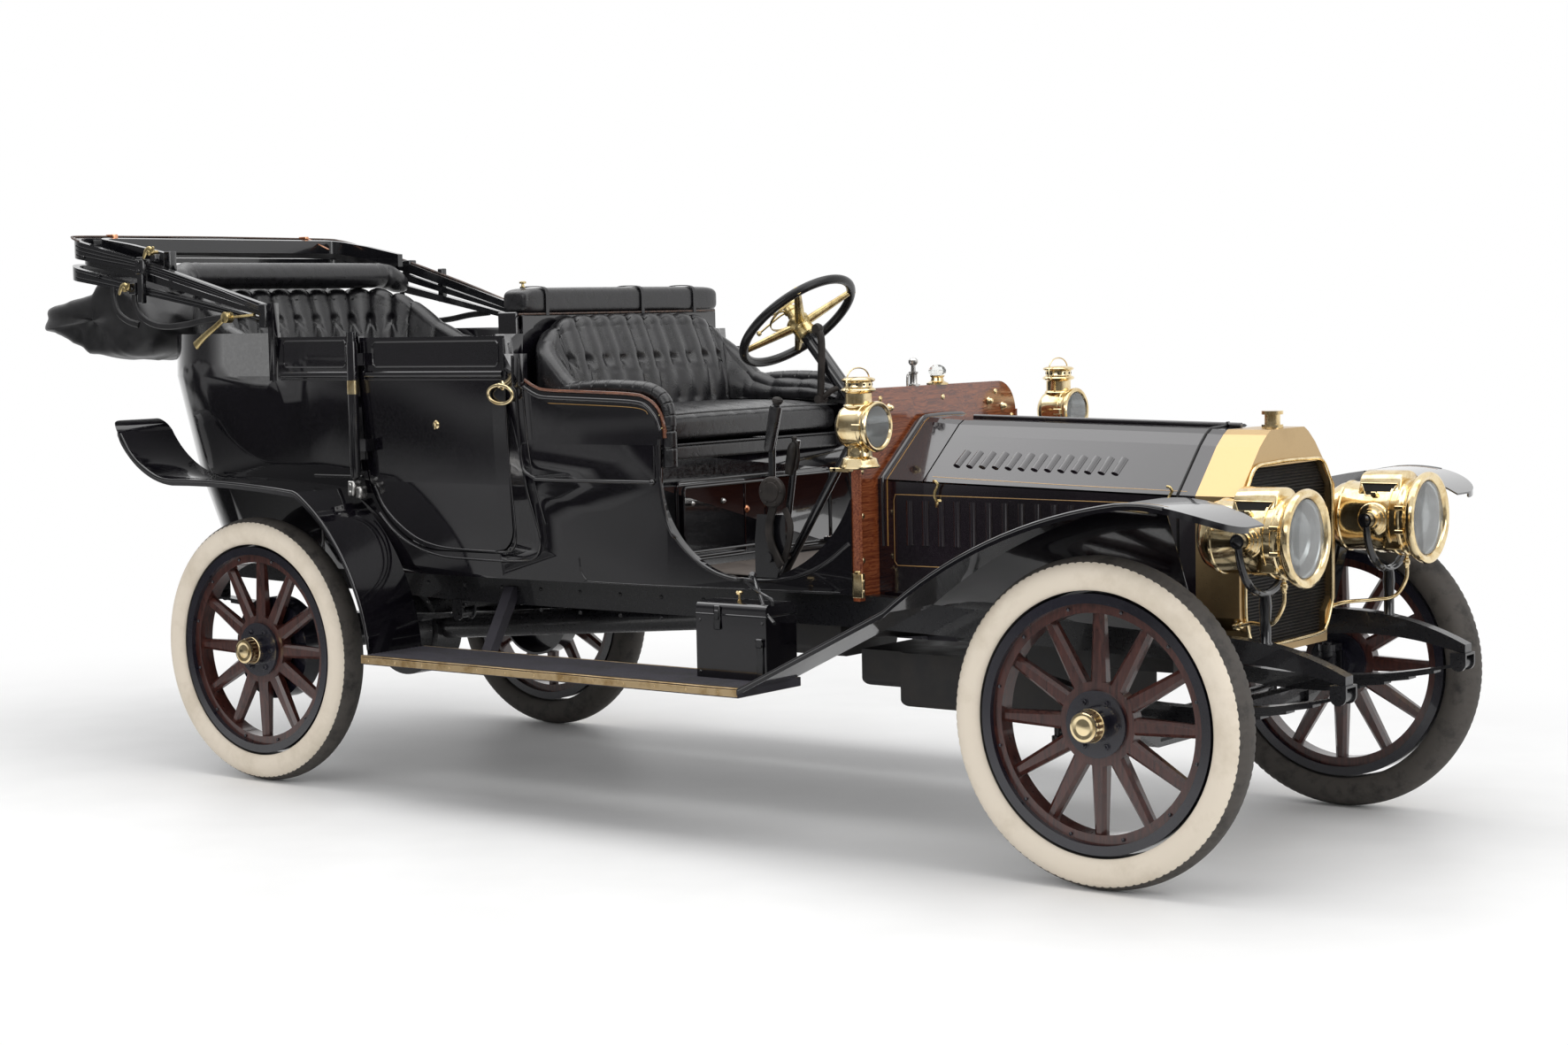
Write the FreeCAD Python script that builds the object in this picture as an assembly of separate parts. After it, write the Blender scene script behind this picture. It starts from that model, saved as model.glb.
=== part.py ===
import FreeCAD, Part
import math
import os

# Open four-seat touring car of about 1909, right-hand drive, top folded down.
# +X is forward, +Y is the car's left, +Z is up, and sizes are in millimetres.
# Lengths are worked out from the front axle line, and the finished pieces are
# then moved along X so that the origin is the middle of the box on the ground.

V = FreeCAD.Vector
X_AXIS = V(1, 0, 0)
Y_AXIS = V(0, 1, 0)
Z_AXIS = V(0, 0, 1)

# ---- driving dimensions -------------------------------------------------
WHEELBASE = 3225.0
TRACK = 1422.0
AXLE_HEIGHT = 440.0

# artillery wheels, all four the same
TYRE_RADIUS = AXLE_HEIGHT
TYRE_WIDTH = 120.0
TYRE_INNER_RADIUS = 344.0
RIM_OUTER_RADIUS = TYRE_INNER_RADIUS
RIM_INNER_RADIUS = 318.0
RIM_WIDTH = 84.0
FELLOE_INNER_RADIUS = 292.0
FELLOE_WIDTH = 52.0
SPOKE_COUNT = 12
SPOKE_WIDTH = 34.0
SPOKE_DEPTH = 40.0
WOOD_HUB_RADIUS = 112.0
SPINDLE_REACH = 66.0
HUB_FLANGE_RADIUS = 89.0
HUB_FLANGE_THICKNESS = 10.0
HUB_BARREL_RADIUS = 48.0
HUB_CAP_RADIUS = 41.0
HUB_CAP_REACH = 92.0
HUB_INNER_REACH = 50.0
SPINDLE_RADIUS = 24.0
SPINDLE_FIT = 0.05
DRUM_RADIUS = 170.0
DRUM_WIDTH = 70.0
DRUM_WALL = 8.0

# chassis
RAIL_Y = 379.0
RAIL_WIDTH = 44.0
RAIL_WALL = 6.0
RAIL_FRONT_X = 150.0
RAIL_STEP_X = -950.0
RAIL_REAR_X = -3900.0
RAIL_FRONT_TOP_Z = 642.0
RAIL_FRONT_BOTTOM_Z = 570.0
RAIL_TOP_Z = 698.0
RAIL_BOTTOM_Z = 602.0
RAIL_KICK = 36.0
HORN_EYE_X = 528.0
HORN_EYE_Z = 507.0
HORN_TIP_Z = HORN_EYE_Z + 25.0
HORN_TIP_HEIGHT = 28.0
SPRING_WIDTH = 50.0
LEAF_THICKNESS = 8.0
LEAF_COUNT = 6
LEAF_STEP = 1.5
SPRING_EYE_RADIUS = 17.0
SPRING_PIN_RADIUS = 9.0
SPRING_FIT = 0.3
SPRING_SEAT_GAP = 0.7
CHEEK_THICKNESS = 8.0
FRONT_SPRING_REAR_X = -480.0
REAR_SPRING_FRONT_X = -2620.0
REAR_SPRING_REAR_X = -3830.0
REAR_SPRING_EYE_Z = 560.0
AXLE_TUBE_RADIUS = 38.0
DIFFERENTIAL_RADIUS = 150.0
PROPSHAFT_RADIUS = 45.0

# front axle and steering
KINGPIN_Y = 612.0
KINGPIN_RADIUS = 14.0
KINGPIN_FIT = 0.05
KINGPIN_BOSS_RADIUS = 26.0
KINGPIN_BOSS_HALF_HEIGHT = 40.0
KNUCKLE_LUG_THICKNESS = 20.0
KNUCKLE_GAP = 1.0
KNUCKLE_WEB_Y = 645.0
KNUCKLE_WEB_THICKNESS = 12.0
AXLE_DROP = 70.0
AXLE_BEAM_WIDTH = 46.0
AXLE_BEAM_HEIGHT = 60.0
AXLE_STRAIGHT_HALF = 450.0
STEER_ARM_LENGTH = 190.0
STEER_ARM_RADIUS = 10.0
TIE_ROD_RADIUS = 12.0
TIE_ROD_PIN_RADIUS = 8.0
COLUMN_ANGLE_DEG = 49.7
COLUMN_RADIUS = 23.0
STEER_SHAFT_RADIUS = 12.0
LEVER_Y = 455.0
COLUMN_FOOT_Z = 640.0
WHEEL_RIM_RADIUS = 192.0
WHEEL_RIM_TUBE = 14.0
STEER_CENTRE = V(-1355, -200, 1498)

# radiator
RADIATOR_FRONT_X = 182.0
RADIATOR_REAR_X = 50.0
RADIATOR_HALF_WIDTH = 288.0
RADIATOR_BREAK_Z = 1008.0
RADIATOR_TOP_Z = 1180.0
RADIATOR_FLAT_HALF = 100.0
RADIATOR_NOTCH_Z = 680.0
RADIATOR_FOOT_HALF_WIDTH = 236.0
RADIATOR_FOOT_Z = 565.0
CORE_TOP_Z = 1081.0
CORE_BREAK_Z = 1004.0
CORE_TOP_HALF = 200.0
CORE_BREAK_HALF = 262.0
CORE_BOTTOM_HALF = 222.0
CORE_BOTTOM_Z = 592.0
CORE_RECESS = 26.0
CORE_TUBE_PITCH = 16.0
CORE_TUBE_HEIGHT = 5.0
CORE_TUBE_REACH = 4.0
FILLER_X = 135.0

# bonnet and scuttle
STRAP_FRONT_X = -3.0
HOOD_REAR_X = -820.0
HOOD_WALL = 3.0
HOOD_REAR_HALF_WIDTH = 318.0
HOOD_REAR_BREAK_Z = 1030.0
HOOD_REAR_TOP_Z = 1200.0
HOOD_BOTTOM_Z = 682.0
HOOD_SHOULDER = 62.0
HOOD_SHOULDER_DROP = 44.0
HOOD_GAP = 5.0
REST_GAP = 0.3
SIDE_PANEL_REAR_X = -940.0
LOUVRE_RADIUS = 14.0
LOUVRE_SINK = 6.0
LOUVRE_SLANT = 8.0
LID_LOUVRE_COUNT = 13
LID_LOUVRE_PITCH = 43.3
LID_LOUVRE_REAR_X = -742.0
LID_LOUVRE_LOW = 0.35
LID_LOUVRE_HIGH = 0.66
SIDE_LOUVRE_COUNT = 15
SIDE_LOUVRE_PITCH = 53.4
SIDE_LOUVRE_REAR_X = -869.0
SIDE_LOUVRE_LOW_Z = 843.0
SIDE_LOUVRE_HIGH_Z = 973.0
HINGE_RADIUS = 7.0
HINGE_RISE = 4.0
HINGE_EDGE_Y = 6.5

# dash
DASH_FRONT_X = -975.0
DASH_REAR_X = -1000.0
DASH_HALF_WIDTH = 425.0
DASH_TOP_Z = 1300.0
DASH_CORNER = 100.0
DASH_BOTTOM_Z = 682.0

# body tub: outer half widths and rear end at each height
# columns: z, half width at the dash, at the seat, at the B post, at the D post, rear x, rear corner radius
TUB_X = (-1000.0, -1640.0, -2300.0, -3100.0)
TUB_SECTIONS = (
    (700.0, 430.0, 499.0, 527.0, 532.0, -3760.0, 300.0),
    (1000.0, 430.0, 506.0, 548.0, 566.0, -3890.0, 330.0),
    (1345.0, 430.0, 508.0, 560.0, 590.0, -3985.0, 350.0),
    (1490.0, 430.0, 508.0, 560.0, 590.0, -3975.0, 345.0),
)
TUB_WALL = 26.0
FLOOR_TOP_Z = 742.0
ENTRY_REAR_X = -1666.0
ENTRY_CENTRE_X = -1339.0
ENTRY_BOTTOM_Z = 735.0
ENTRY_FRONT_X = -1004.0
SEAT_SIDE_Z = 1225.0
SEAT_BACK_FRONT_X = -2225.0
SEAT_BACK_REAR_X = -2305.0
SEAT_BACK_TOP_Z = 1530.0
FRONT_POST_FRONT_X = -2168.0
FRONT_POST_REAR_X = -2236.0
FRONT_POST_TOP_Z = 1545.0
FRONT_POST_REACH = 3.0
FRONT_POST_WIDTH = 32.0
DOOR_FRONT_X = -2240.0
DOOR_REAR_X = -2868.0
DOOR_BOTTOM_Z = 778.0
DOOR_TOP_Z = 1475.0
DOOR_LOW_REAR_RADIUS = 300.0
DOOR_LOW_FRONT_RADIUS = 80.0
DOOR_GAP = 5.0
DOOR_HINGE_X = -2874.0
DOOR_HINGE_Y = 606.0
DOOR_HINGE_RADIUS = 9.0
POST_X = -3245.0
POST_TOP_Z = 1590.0

# seats
FRONT_CUSHION_FRONT_X = -1684.0
FRONT_CUSHION_TOP_Z = 1235.0
FRONT_CUSHION_BOTTOM_Z = 1108.0
SEAT_HALF_WIDTH = 455.0
SEAT_ROLL_TOP_Z = 1612.0
SEAT_ROLL_FRONT_X = -2210.0
SEAT_ROLL_REAR_X = -2318.0
SEAT_ROLL_HALF = 484.0
SEAT_CLEAR = 0.3
SEAT_BACK_END_ROUND = 34.0
REAR_CUSHION_FRONT_X = -3160.0
REAR_CUSHION_TOP_Z = 1250.0
REAR_CUSHION_BOTTOM_Z = 1110.0
REAR_CUSHION_REAR_X = -3690.0
REAR_BACK_TOP_Z = 1642.0
REAR_BACK_DEPTH = 150.0
REAR_ARM_FRONT_X = -3290.0
REAR_ROLL_X = -3832.0
REAR_ROLL_HALF = 548.0
REAR_ROLL_RADIUS = 48.0

# wings and running boards
FRONT_WING_OUTER_Y = 845.0
FRONT_WING_INNER_Y = 600.0
REAR_WING_OUTER_Y = 800.0
REAR_WING_INNER_Y = 560.0
WING_THICKNESS = 5.0
WING_LIP_DEPTH = 17.0
WING_LIP_WIDTH = 5.0
APRON_THICKNESS = 4.0
BOARD_TOP_Z = 466.0
BOARD_THICKNESS = 26.0
BOARD_FRONT_X = -1110.0
BOARD_REAR_X = -2640.0
BOARD_OUTER_Y = 835.0
BOARD_INNER_Y = 540.0
WING_TIP_X = 417.0
WING_TIP_CORNER = 165.0
REAR_WING_TIP_X = -3915.0
REAR_WING_CORNER = 105.0
TOOLBOX_FRONT_X = -1120.0
TOOLBOX_REAR_X = -1378.0
TOOLBOX_INNER_Y = 545.0
TOOLBOX_OUTER_Y = 690.0
TOOLBOX_TOP_Z = 690.0

# lamps
HEADLAMP_FRONT_X = 436.0
HEADLAMP_Y = 379.0
HEADLAMP_Z = 912.0
HEADLAMP_RADIUS = 131.0
HEADLAMP_POST_FOOT_Z = 622.0
HEADLAMP_HOOD_REAR = 192.0
HEADLAMP_HOOD_LENGTH = 126.0
HEADLAMP_HOOD_RADIUS = 76.0
HEADLAMP_HOOD_RISE = 134.0
HEADLAMP_HOOD_HALF_WIDTH = 52.0
SIDELAMP_X = -817.0
SIDELAMP_Y = 540.0
SIDELAMP_Z = 1199.0
SIDELAMP_RADIUS = 72.0

# folded top
TOP_FRONT_X = POST_X - 30.0
# columns: half width in front, half width behind, corner radius, strip thickness,
# then (x, low z, high z) in front, part way and at the rear bar
TOP_BOWS = (
    (600.0, 665.0, 95.0, 24.0, (
        (TOP_FRONT_X, 1556.0, 1580.0), (-3856.0, 1709.0, 1745.0), (-4262.0, 1773.0, 1843.0))),
    (600.0, 640.0, 90.0, 20.0, (
        (TOP_FRONT_X, 1540.0, 1553.0), (-3856.0, 1676.0, 1704.0), (-4236.0, 1753.0, 1768.0))),
    (600.0, 662.0, 95.0, 24.0, (
        (TOP_FRONT_X, 1520.0, 1537.0), (-3897.0, 1635.0, 1665.0), (-4280.0, 1697.0, 1747.0))),
)
# the inner bow that the upper one carries, same columns
INNER_BOW = (578.0, 585.0, 70.0, 24.0, (
    (-3825.0, 1727.0, 1774.0), (-4000.0, 1760.0, 1808.0), (-4195.0, 1790.0, 1838.0)))
CLASP_X = -4140.0
CLASP_LENGTH = 34.0
BAG_HALF_WIDTH = 520.0

# masses out of sight
ENGINE_FRONT_X = -90.0
ENGINE_REAR_X = -770.0
ENGINE_HALF_WIDTH = 165.0
ENGINE_TOP_Z = 1080.0
ENGINE_BOTTOM_Z = 500.0
# undertray: rear x, front x, half width, bottom z
ENGINE_TRAYS = (
    (-1180.0, -1000.0, 140.0, 388.0),
    (-1020.0, -330.0, 165.0, 336.0),
)
TRAY_ROUND = 24.0
GEARBOX_FRONT_X = -1250.0
GEARBOX_REAR_X = -1750.0


# ---- helpers ------------------------------------------------------------
def box(x0, x1, y0, y1, z0, z1):
    low = V(min(x0, x1), min(y0, y1), min(z0, z1))
    return Part.makeBox(abs(x1 - x0), abs(y1 - y0), abs(z1 - z0), low)


def rod(start, end, radius):
    way = end.sub(start)
    return Part.makeCylinder(radius, way.Length, start, way)


def drum(x, y0, y1, z, radius):
    """A cylinder across the car, from y0 to y1."""
    low = min(y0, y1)
    return Part.makeCylinder(radius, abs(y1 - y0), V(x, low, z), Y_AXIS)


def ring(x, y0, y1, z, outer, inner):
    return drum(x, y0, y1, z, outer).cut(drum(x, y0 - 1, y1 + 1, z, inner))


def fuse_all(pieces):
    whole = pieces[0]
    if len(pieces) > 1:
        whole = whole.multiFuse(pieces[1:])
    return whole.removeSplitter()


def polygon(points):
    return Part.makePolygon(points + [points[0]])


def plate_xz(points, y0, y1):
    """A flat outline of (x, z) corners, as thick as from y0 to y1."""
    face = Part.Face(polygon([V(x, y0, z) for x, z in points]))
    return face.extrude(V(0, y1 - y0, 0))


def plate_yz(points, x0, x1):
    face = Part.Face(polygon([V(x0, y, z) for y, z in points]))
    return face.extrude(V(x1 - x0, 0, 0))


def plate_xy(points, z0, z1):
    face = Part.Face(polygon([V(x, y, z0) for x, y in points]))
    return face.extrude(V(0, 0, z1 - z0))


def mirrored(shape):
    return shape.mirror(V(0, 0, 0), Y_AXIS)


def both_sides(shape):
    return Part.makeCompound([shape, mirrored(shape)])


def edges_xz(path, y):
    """Lines and arcs through (x, z) points: each step is ('line', end) or ('arc', middle, end)."""
    at = V(path[0][0], y, path[0][1])
    edges = []
    for step in path[1:]:
        end = V(step[-1][0], y, step[-1][1])
        if step[0] == "line":
            edges.append(Part.LineSegment(at, end).toShape())
        else:
            middle = V(step[1][0], y, step[1][1])
            edges.append(Part.Arc(at, middle, end).toShape())
        at = end
    return edges, at


def strip_xz(path, y0, y1, thickness):
    """A sheet that follows a path of (x, z) steps, thickness deep in Z, from y0 to y1."""
    upper, last = edges_xz(path, y0)
    down = V(0, 0, -thickness)
    lower = [edge.copy() for edge in upper]
    for edge in lower:
        edge.translate(down)
    first = V(path[0][0], y0, path[0][1])
    ends = [
        Part.LineSegment(last, last.add(down)).toShape(),
        Part.LineSegment(first.add(down), first).toShape(),
    ]
    wire = Part.Wire(Part.__sortEdges__(upper + [ends[0]] + lower + [ends[1]]))
    return Part.Face(wire).extrude(V(0, y1 - y0, 0))


def swept(points, radius):
    """A round bar through points, with a ball at each turn."""
    pieces = []
    for start, end in zip(points[:-1], points[1:]):
        pieces.append(rod(start, end, radius))
    for turn in points[1:-1]:
        pieces.append(Part.makeSphere(radius, turn))
    return fuse_all(pieces)


NODES = {}


def node(name, shape):
    NODES[name] = shape


# ---- wheels -------------------------------------------------------------
def tyre(x, y):
    """A beaded-edge tyre: straight bead, round side walls and a crowned tread."""
    half = TYRE_WIDTH / 2
    bead = RIM_WIDTH / 2
    side = TYRE_INNER_RADIUS + 0.5 * (TYRE_RADIUS - TYRE_INNER_RADIUS)
    shoulder = TYRE_RADIUS - 14
    low = V(x, y - bead, AXLE_HEIGHT + TYRE_INNER_RADIUS)
    high = V(x, y + bead, AXLE_HEIGHT + TYRE_INNER_RADIUS)
    right = V(x, y - half, AXLE_HEIGHT + side)
    left = V(x, y + half, AXLE_HEIGHT + side)
    top_right = V(x, y - 40, AXLE_HEIGHT + shoulder)
    top_left = V(x, y + 40, AXLE_HEIGHT + shoulder)
    crown = V(x, y, AXLE_HEIGHT + TYRE_RADIUS)
    edges = [
        Part.LineSegment(low, high).toShape(),
        Part.Arc(high, left, top_left).toShape(),
        Part.Arc(top_left, crown, top_right).toShape(),
        Part.Arc(top_right, right, low).toShape(),
    ]
    return Part.Face(Part.Wire(edges)).revolve(V(x, y, AXLE_HEIGHT), Y_AXIS, 360)


def spoke_section(radius, width, depth, cut):
    """An eight-sided section across a spoke, radius away from the wheel's centre."""
    a = width / 2
    b = depth / 2
    corners = (
        (a, b - cut), (a - cut, b), (cut - a, b), (-a, b - cut),
        (-a, cut - b), (cut - a, -b), (a - cut, -b), (a, cut - b),
    )
    return polygon([V(u, v, radius) for u, v in corners])


def wood_wheel(x, y):
    """Felloe, spokes and the solid wood round the hub, in one."""
    hub_face = SPOKE_DEPTH / 2
    felloe = ring(0, -FELLOE_WIDTH / 2, FELLOE_WIDTH / 2, 0, RIM_INNER_RADIUS, FELLOE_INNER_RADIUS)
    core = ring(0, -hub_face, hub_face, 0, WOOD_HUB_RADIUS, HUB_BARREL_RADIUS)
    pieces = [felloe, core]
    inner = spoke_section(WOOD_HUB_RADIUS - 12, 1.35 * SPOKE_WIDTH, SPOKE_DEPTH, 8)
    outer = spoke_section(FELLOE_INNER_RADIUS + 6, SPOKE_WIDTH, SPOKE_DEPTH - 6, 10)
    spoke = Part.makeLoft([inner, outer], True, True)
    for index in range(SPOKE_COUNT):
        turned = spoke.copy()
        turned.rotate(V(0, 0, 0), Y_AXIS, index * 360.0 / SPOKE_COUNT)
        pieces.append(turned)
    wheel = fuse_all(pieces)
    wheel.translate(V(x, y, AXLE_HEIGHT))
    return wheel


def hub(x, y, outboard, rear):
    """Steel rim, hub barrel with both flanges, and the screwed cap; outboard is +1 or -1."""
    z = AXLE_HEIGHT
    face = SPOKE_DEPTH / 2
    flange = face + HUB_FLANGE_THICKNESS
    half_rim = RIM_WIDTH / 2
    rim = ring(x, y - half_rim, y + half_rim, z, RIM_OUTER_RADIUS, RIM_INNER_RADIUS)
    pieces = [
        drum(x, y - outboard * HUB_INNER_REACH, y + outboard * 60, z, HUB_BARREL_RADIUS),
        drum(x, y + outboard * face, y + outboard * flange, z, HUB_FLANGE_RADIUS),
        drum(x, y - outboard * face, y - outboard * flange, z, HUB_FLANGE_RADIUS),
        drum(x, y + outboard * 50, y + outboard * HUB_CAP_REACH, z, HUB_CAP_RADIUS),
    ]
    if rear:
        inner = y - outboard * (flange + DRUM_WIDTH)
        near = y - outboard * flange
        drum_body = drum(x, near, inner, z, DRUM_RADIUS)
        hollow = drum(x, near - outboard * DRUM_WALL, inner - outboard, z, DRUM_RADIUS - DRUM_WALL)
        pieces[0] = drum(x, inner, y + outboard * 60, z, HUB_BARREL_RADIUS)
        pieces.append(drum_body.cut(hollow))
    body = fuse_all(pieces)
    bore_start = y - outboard * 200
    bore_end = y + outboard * SPINDLE_REACH
    body = body.cut(drum(x, bore_start, bore_end, z, SPINDLE_RADIUS + SPINDLE_FIT))
    return Part.makeCompound([rim, body])


# columns: name, axle x, side (+1 is the car's left), rear axle
WHEELS = (
    ("front_right", 0.0, -1, False),
    ("front_left", 0.0, 1, False),
    ("rear_right", -WHEELBASE, -1, True),
    ("rear_left", -WHEELBASE, 1, True),
)
for place, axle_x, side, is_rear in WHEELS:
    wheel_y = side * TRACK / 2
    node("tyre_" + place, tyre(axle_x, wheel_y))
    node("spokes_" + place, wood_wheel(axle_x, wheel_y))
    node("hub_" + place, hub(axle_x, wheel_y, side, is_rear))


def shell_outline():
    """Front outline of the radiator shell: foot, waist, upright sides, chamfers and flat top."""
    half = RADIATOR_HALF_WIDTH
    flat = RADIATOR_FLAT_HALF
    top = RADIATOR_TOP_Z
    foot = RADIATOR_FOOT_HALF_WIDTH
    right = [
        (foot, RADIATOR_FOOT_Z), (foot + 5, RADIATOR_NOTCH_Z - 40), (half, RADIATOR_NOTCH_Z),
        (half, RADIATOR_BREAK_Z), (flat + 66, top - 44), (flat + 25, top - 13), (flat, top),
    ]
    points = right + [(-y, z) for y, z in reversed(right)]
    return points


# ---- chassis ------------------------------------------------------------
def side_rail(y_outer, inward):
    """A pressed channel rail, open towards the middle, with a dumb iron that drops to the spring eye."""
    top = RAIL_TOP_Z
    low = RAIL_BOTTOM_Z
    tip = HORN_EYE_X + SPRING_EYE_RADIUS
    outline = [
        (RAIL_REAR_X, top),
        ("line", (RAIL_STEP_X, top)),
        ("line", (RAIL_FRONT_X, RAIL_FRONT_TOP_Z)),
        ("arc", (RAIL_FRONT_X + 215, RAIL_FRONT_TOP_Z - 20), (tip, HORN_TIP_Z + HORN_TIP_HEIGHT)),
        ("line", (tip, HORN_TIP_Z)),
        ("arc", (RAIL_FRONT_X + 200, HORN_TIP_Z + 38), (RAIL_FRONT_X, RAIL_FRONT_BOTTOM_Z)),
        ("line", (RAIL_STEP_X, low)),
        ("line", (REAR_SPRING_FRONT_X, low)),
        ("line", (RAIL_REAR_X, low + RAIL_KICK)),
        ("line", (RAIL_REAR_X, top)),
    ]
    edges, _ = edges_xz(outline, y_outer)
    solid = Part.Face(Part.Wire(edges)).extrude(V(0, inward * RAIL_WIDTH, 0))
    hollow = plate_xz(
        [
            (RAIL_REAR_X - 1, top - RAIL_WALL),
            (RAIL_STEP_X, top - RAIL_WALL),
            (RAIL_FRONT_X - 60, RAIL_FRONT_TOP_Z - RAIL_WALL + 2),
            (RAIL_FRONT_X - 60, RAIL_FRONT_BOTTOM_Z + RAIL_WALL + 4),
            (RAIL_STEP_X, low + RAIL_WALL),
            (REAR_SPRING_FRONT_X, low + RAIL_WALL),
            (RAIL_REAR_X - 1, low + RAIL_KICK + RAIL_WALL),
        ],
        y_outer + inward * RAIL_WALL,
        y_outer + inward * (RAIL_WIDTH + 1),
    )
    return solid.cut(hollow)


def spring_cheeks(x, y, z, z_roof):
    """Two cheeks and a pin that hold a spring eye from above."""
    slot = SPRING_WIDTH / 2 + SPRING_FIT
    half = slot + CHEEK_THICKNESS
    reach = SPRING_EYE_RADIUS + 6
    block = drum(x, y - half, y + half, z, reach)
    block = block.fuse(box(x - reach, x + reach, y - half, y + half, z, z_roof))
    gap = box(x - reach - 1, x + reach + 1, y - slot, y + slot, z - reach - 1, z + reach)
    pin = drum(x, y - half - 4, y + half + 4, z, SPRING_PIN_RADIUS)
    return block.cut(gap).fuse(pin)


# columns: front (x, z) on the eye's centre, clamp (x, top z of the main leaf), rear (x, z)
FRONT_SPRING = (
    (HORN_EYE_X, HORN_EYE_Z),
    (0.0, AXLE_HEIGHT - AXLE_DROP + AXLE_BEAM_HEIGHT / 2 + LEAF_COUNT * LEAF_THICKNESS + SPRING_SEAT_GAP),
    (FRONT_SPRING_REAR_X, HORN_EYE_Z + 20),
)
REAR_SPRING = (
    (REAR_SPRING_FRONT_X, REAR_SPRING_EYE_Z),
    (-WHEELBASE, AXLE_HEIGHT + AXLE_TUBE_RADIUS + 8 + LEAF_COUNT * LEAF_THICKNESS + SPRING_SEAT_GAP),
    (REAR_SPRING_REAR_X, REAR_SPRING_EYE_Z),
)


def chassis():
    reach = RAIL_Y + RAIL_WIDTH / 2
    rails = [side_rail(reach, -1), side_rail(-reach, 1)]
    inner = reach - RAIL_WALL
    members = []
    # columns: x of the middle, width, top z, depth
    for x, width, top, deep in (
        (-30.0, 50.0, 640.0, 50.0),
        (GEARBOX_FRONT_X + 60, 50.0, 680.0, 60.0),
        (GEARBOX_REAR_X - 40, 50.0, 680.0, 60.0),
        (REAR_SPRING_FRONT_X, 50.0, 680.0, 60.0),
        (RAIL_REAR_X + 40, 50.0, 688.0, 44.0),
    ):
        members.append(box(x - width / 2, x + width / 2, -inner, inner, top - deep, top))
    for y in (-RAIL_Y, RAIL_Y):
        members.append(spring_cheeks(HORN_EYE_X, y, HORN_EYE_Z, HORN_TIP_Z + 4))
        for x, z, roof in (
            FRONT_SPRING[2] + (RAIL_BOTTOM_Z - 10,),
            REAR_SPRING[0] + (RAIL_BOTTOM_Z + 3,),
            REAR_SPRING[2] + (RAIL_BOTTOM_Z + RAIL_KICK,),
        ):
            members.append(spring_cheeks(x, y, z, roof))
    for side in (-1, 1):
        members.append(box(70, 150, side * 200, side * (RAIL_Y - 10), 600, 625))
    frame = fuse_all(rails + members)
    return frame.cut(plate_yz(shell_outline(), RADIATOR_REAR_X, RADIATOR_FRONT_X)).removeSplitter()


def leaf_spring(front, clamp, rear):
    """Stacked leaves, each shorter than the one above, with rolled eyes at both ends of the main leaf."""
    main = [rear, ("arc", clamp, front)]
    half = SPRING_WIDTH / 2
    leaves = []
    for index in range(LEAF_COUNT):
        share = 1.0 - index / (LEAF_COUNT + 1.0)
        edge = half - LEAF_STEP * (index % 2)
        leaf = strip_xz(main, -edge, edge, LEAF_THICKNESS)
        leaf.translate(V(0, 0, -index * LEAF_THICKNESS))
        behind = clamp[0] - share * (clamp[0] - rear[0])
        ahead = clamp[0] + share * (front[0] - clamp[0])
        leaves.append(leaf.common(box(behind, ahead, -half, half, 0, RAIL_TOP_Z)))
    for x, z in (front, rear):
        leaves.append(drum(x, -half, half, z, SPRING_EYE_RADIUS))
    spring = fuse_all(leaves)
    for x, z in (front, rear):
        spring = spring.cut(drum(x, -half - 1, half + 1, z, SPRING_PIN_RADIUS + KINGPIN_FIT))
    return spring


def spring_set():
    pieces = []
    for spring in (FRONT_SPRING, REAR_SPRING):
        one = leaf_spring(*spring)
        for y in (-RAIL_Y, RAIL_Y):
            placed = one.copy()
            placed.translate(V(0, y, 0))
            pieces.append(placed)
    return Part.makeCompound(pieces)


def front_axle():
    """A drop-forged beam that dips between the springs and ends in the kingpin bosses."""
    half = AXLE_BEAM_WIDTH / 2
    low = AXLE_HEIGHT - AXLE_DROP - AXLE_BEAM_HEIGHT / 2
    high = low + AXLE_BEAM_HEIGHT
    flat = AXLE_STRAIGHT_HALF
    end = KINGPIN_Y - 12
    outline = [
        (-flat, low), (flat, low), (end, AXLE_HEIGHT - 30), (end, AXLE_HEIGHT + 30),
        (flat, high), (-flat, high), (-end, AXLE_HEIGHT + 30), (-end, AXLE_HEIGHT - 30),
    ]
    beam = plate_yz(outline, -half, half)
    for x0 in (-half - 1, half - 14):
        across = flat - 10
        groove = [(-across, low + 14), (across, low + 14), (across, high - 14), (-across, high - 14)]
        beam = beam.cut(plate_yz(groove, x0, x0 + 15))
    base = AXLE_HEIGHT - KINGPIN_BOSS_HALF_HEIGHT
    tall = 2 * KINGPIN_BOSS_HALF_HEIGHT
    for y in (-KINGPIN_Y, KINGPIN_Y):
        boss = Part.makeCylinder(KINGPIN_BOSS_RADIUS, tall, V(0, y, base))
        bore = Part.makeCylinder(KINGPIN_RADIUS + KINGPIN_FIT, tall + 2, V(0, y, base - 1))
        beam = beam.fuse(boss).cut(bore)
    return beam.removeSplitter()


TIE_ROD_PIN_X = -STEER_ARM_LENGTH
LUG_LOW_Z = AXLE_HEIGHT - KINGPIN_BOSS_HALF_HEIGHT - KNUCKLE_GAP - KNUCKLE_LUG_THICKNESS
LUG_HIGH_Z = AXLE_HEIGHT + KINGPIN_BOSS_HALF_HEIGHT + KNUCKLE_GAP
TIE_ROD_TOP_Z = LUG_LOW_Z - 2


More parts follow.
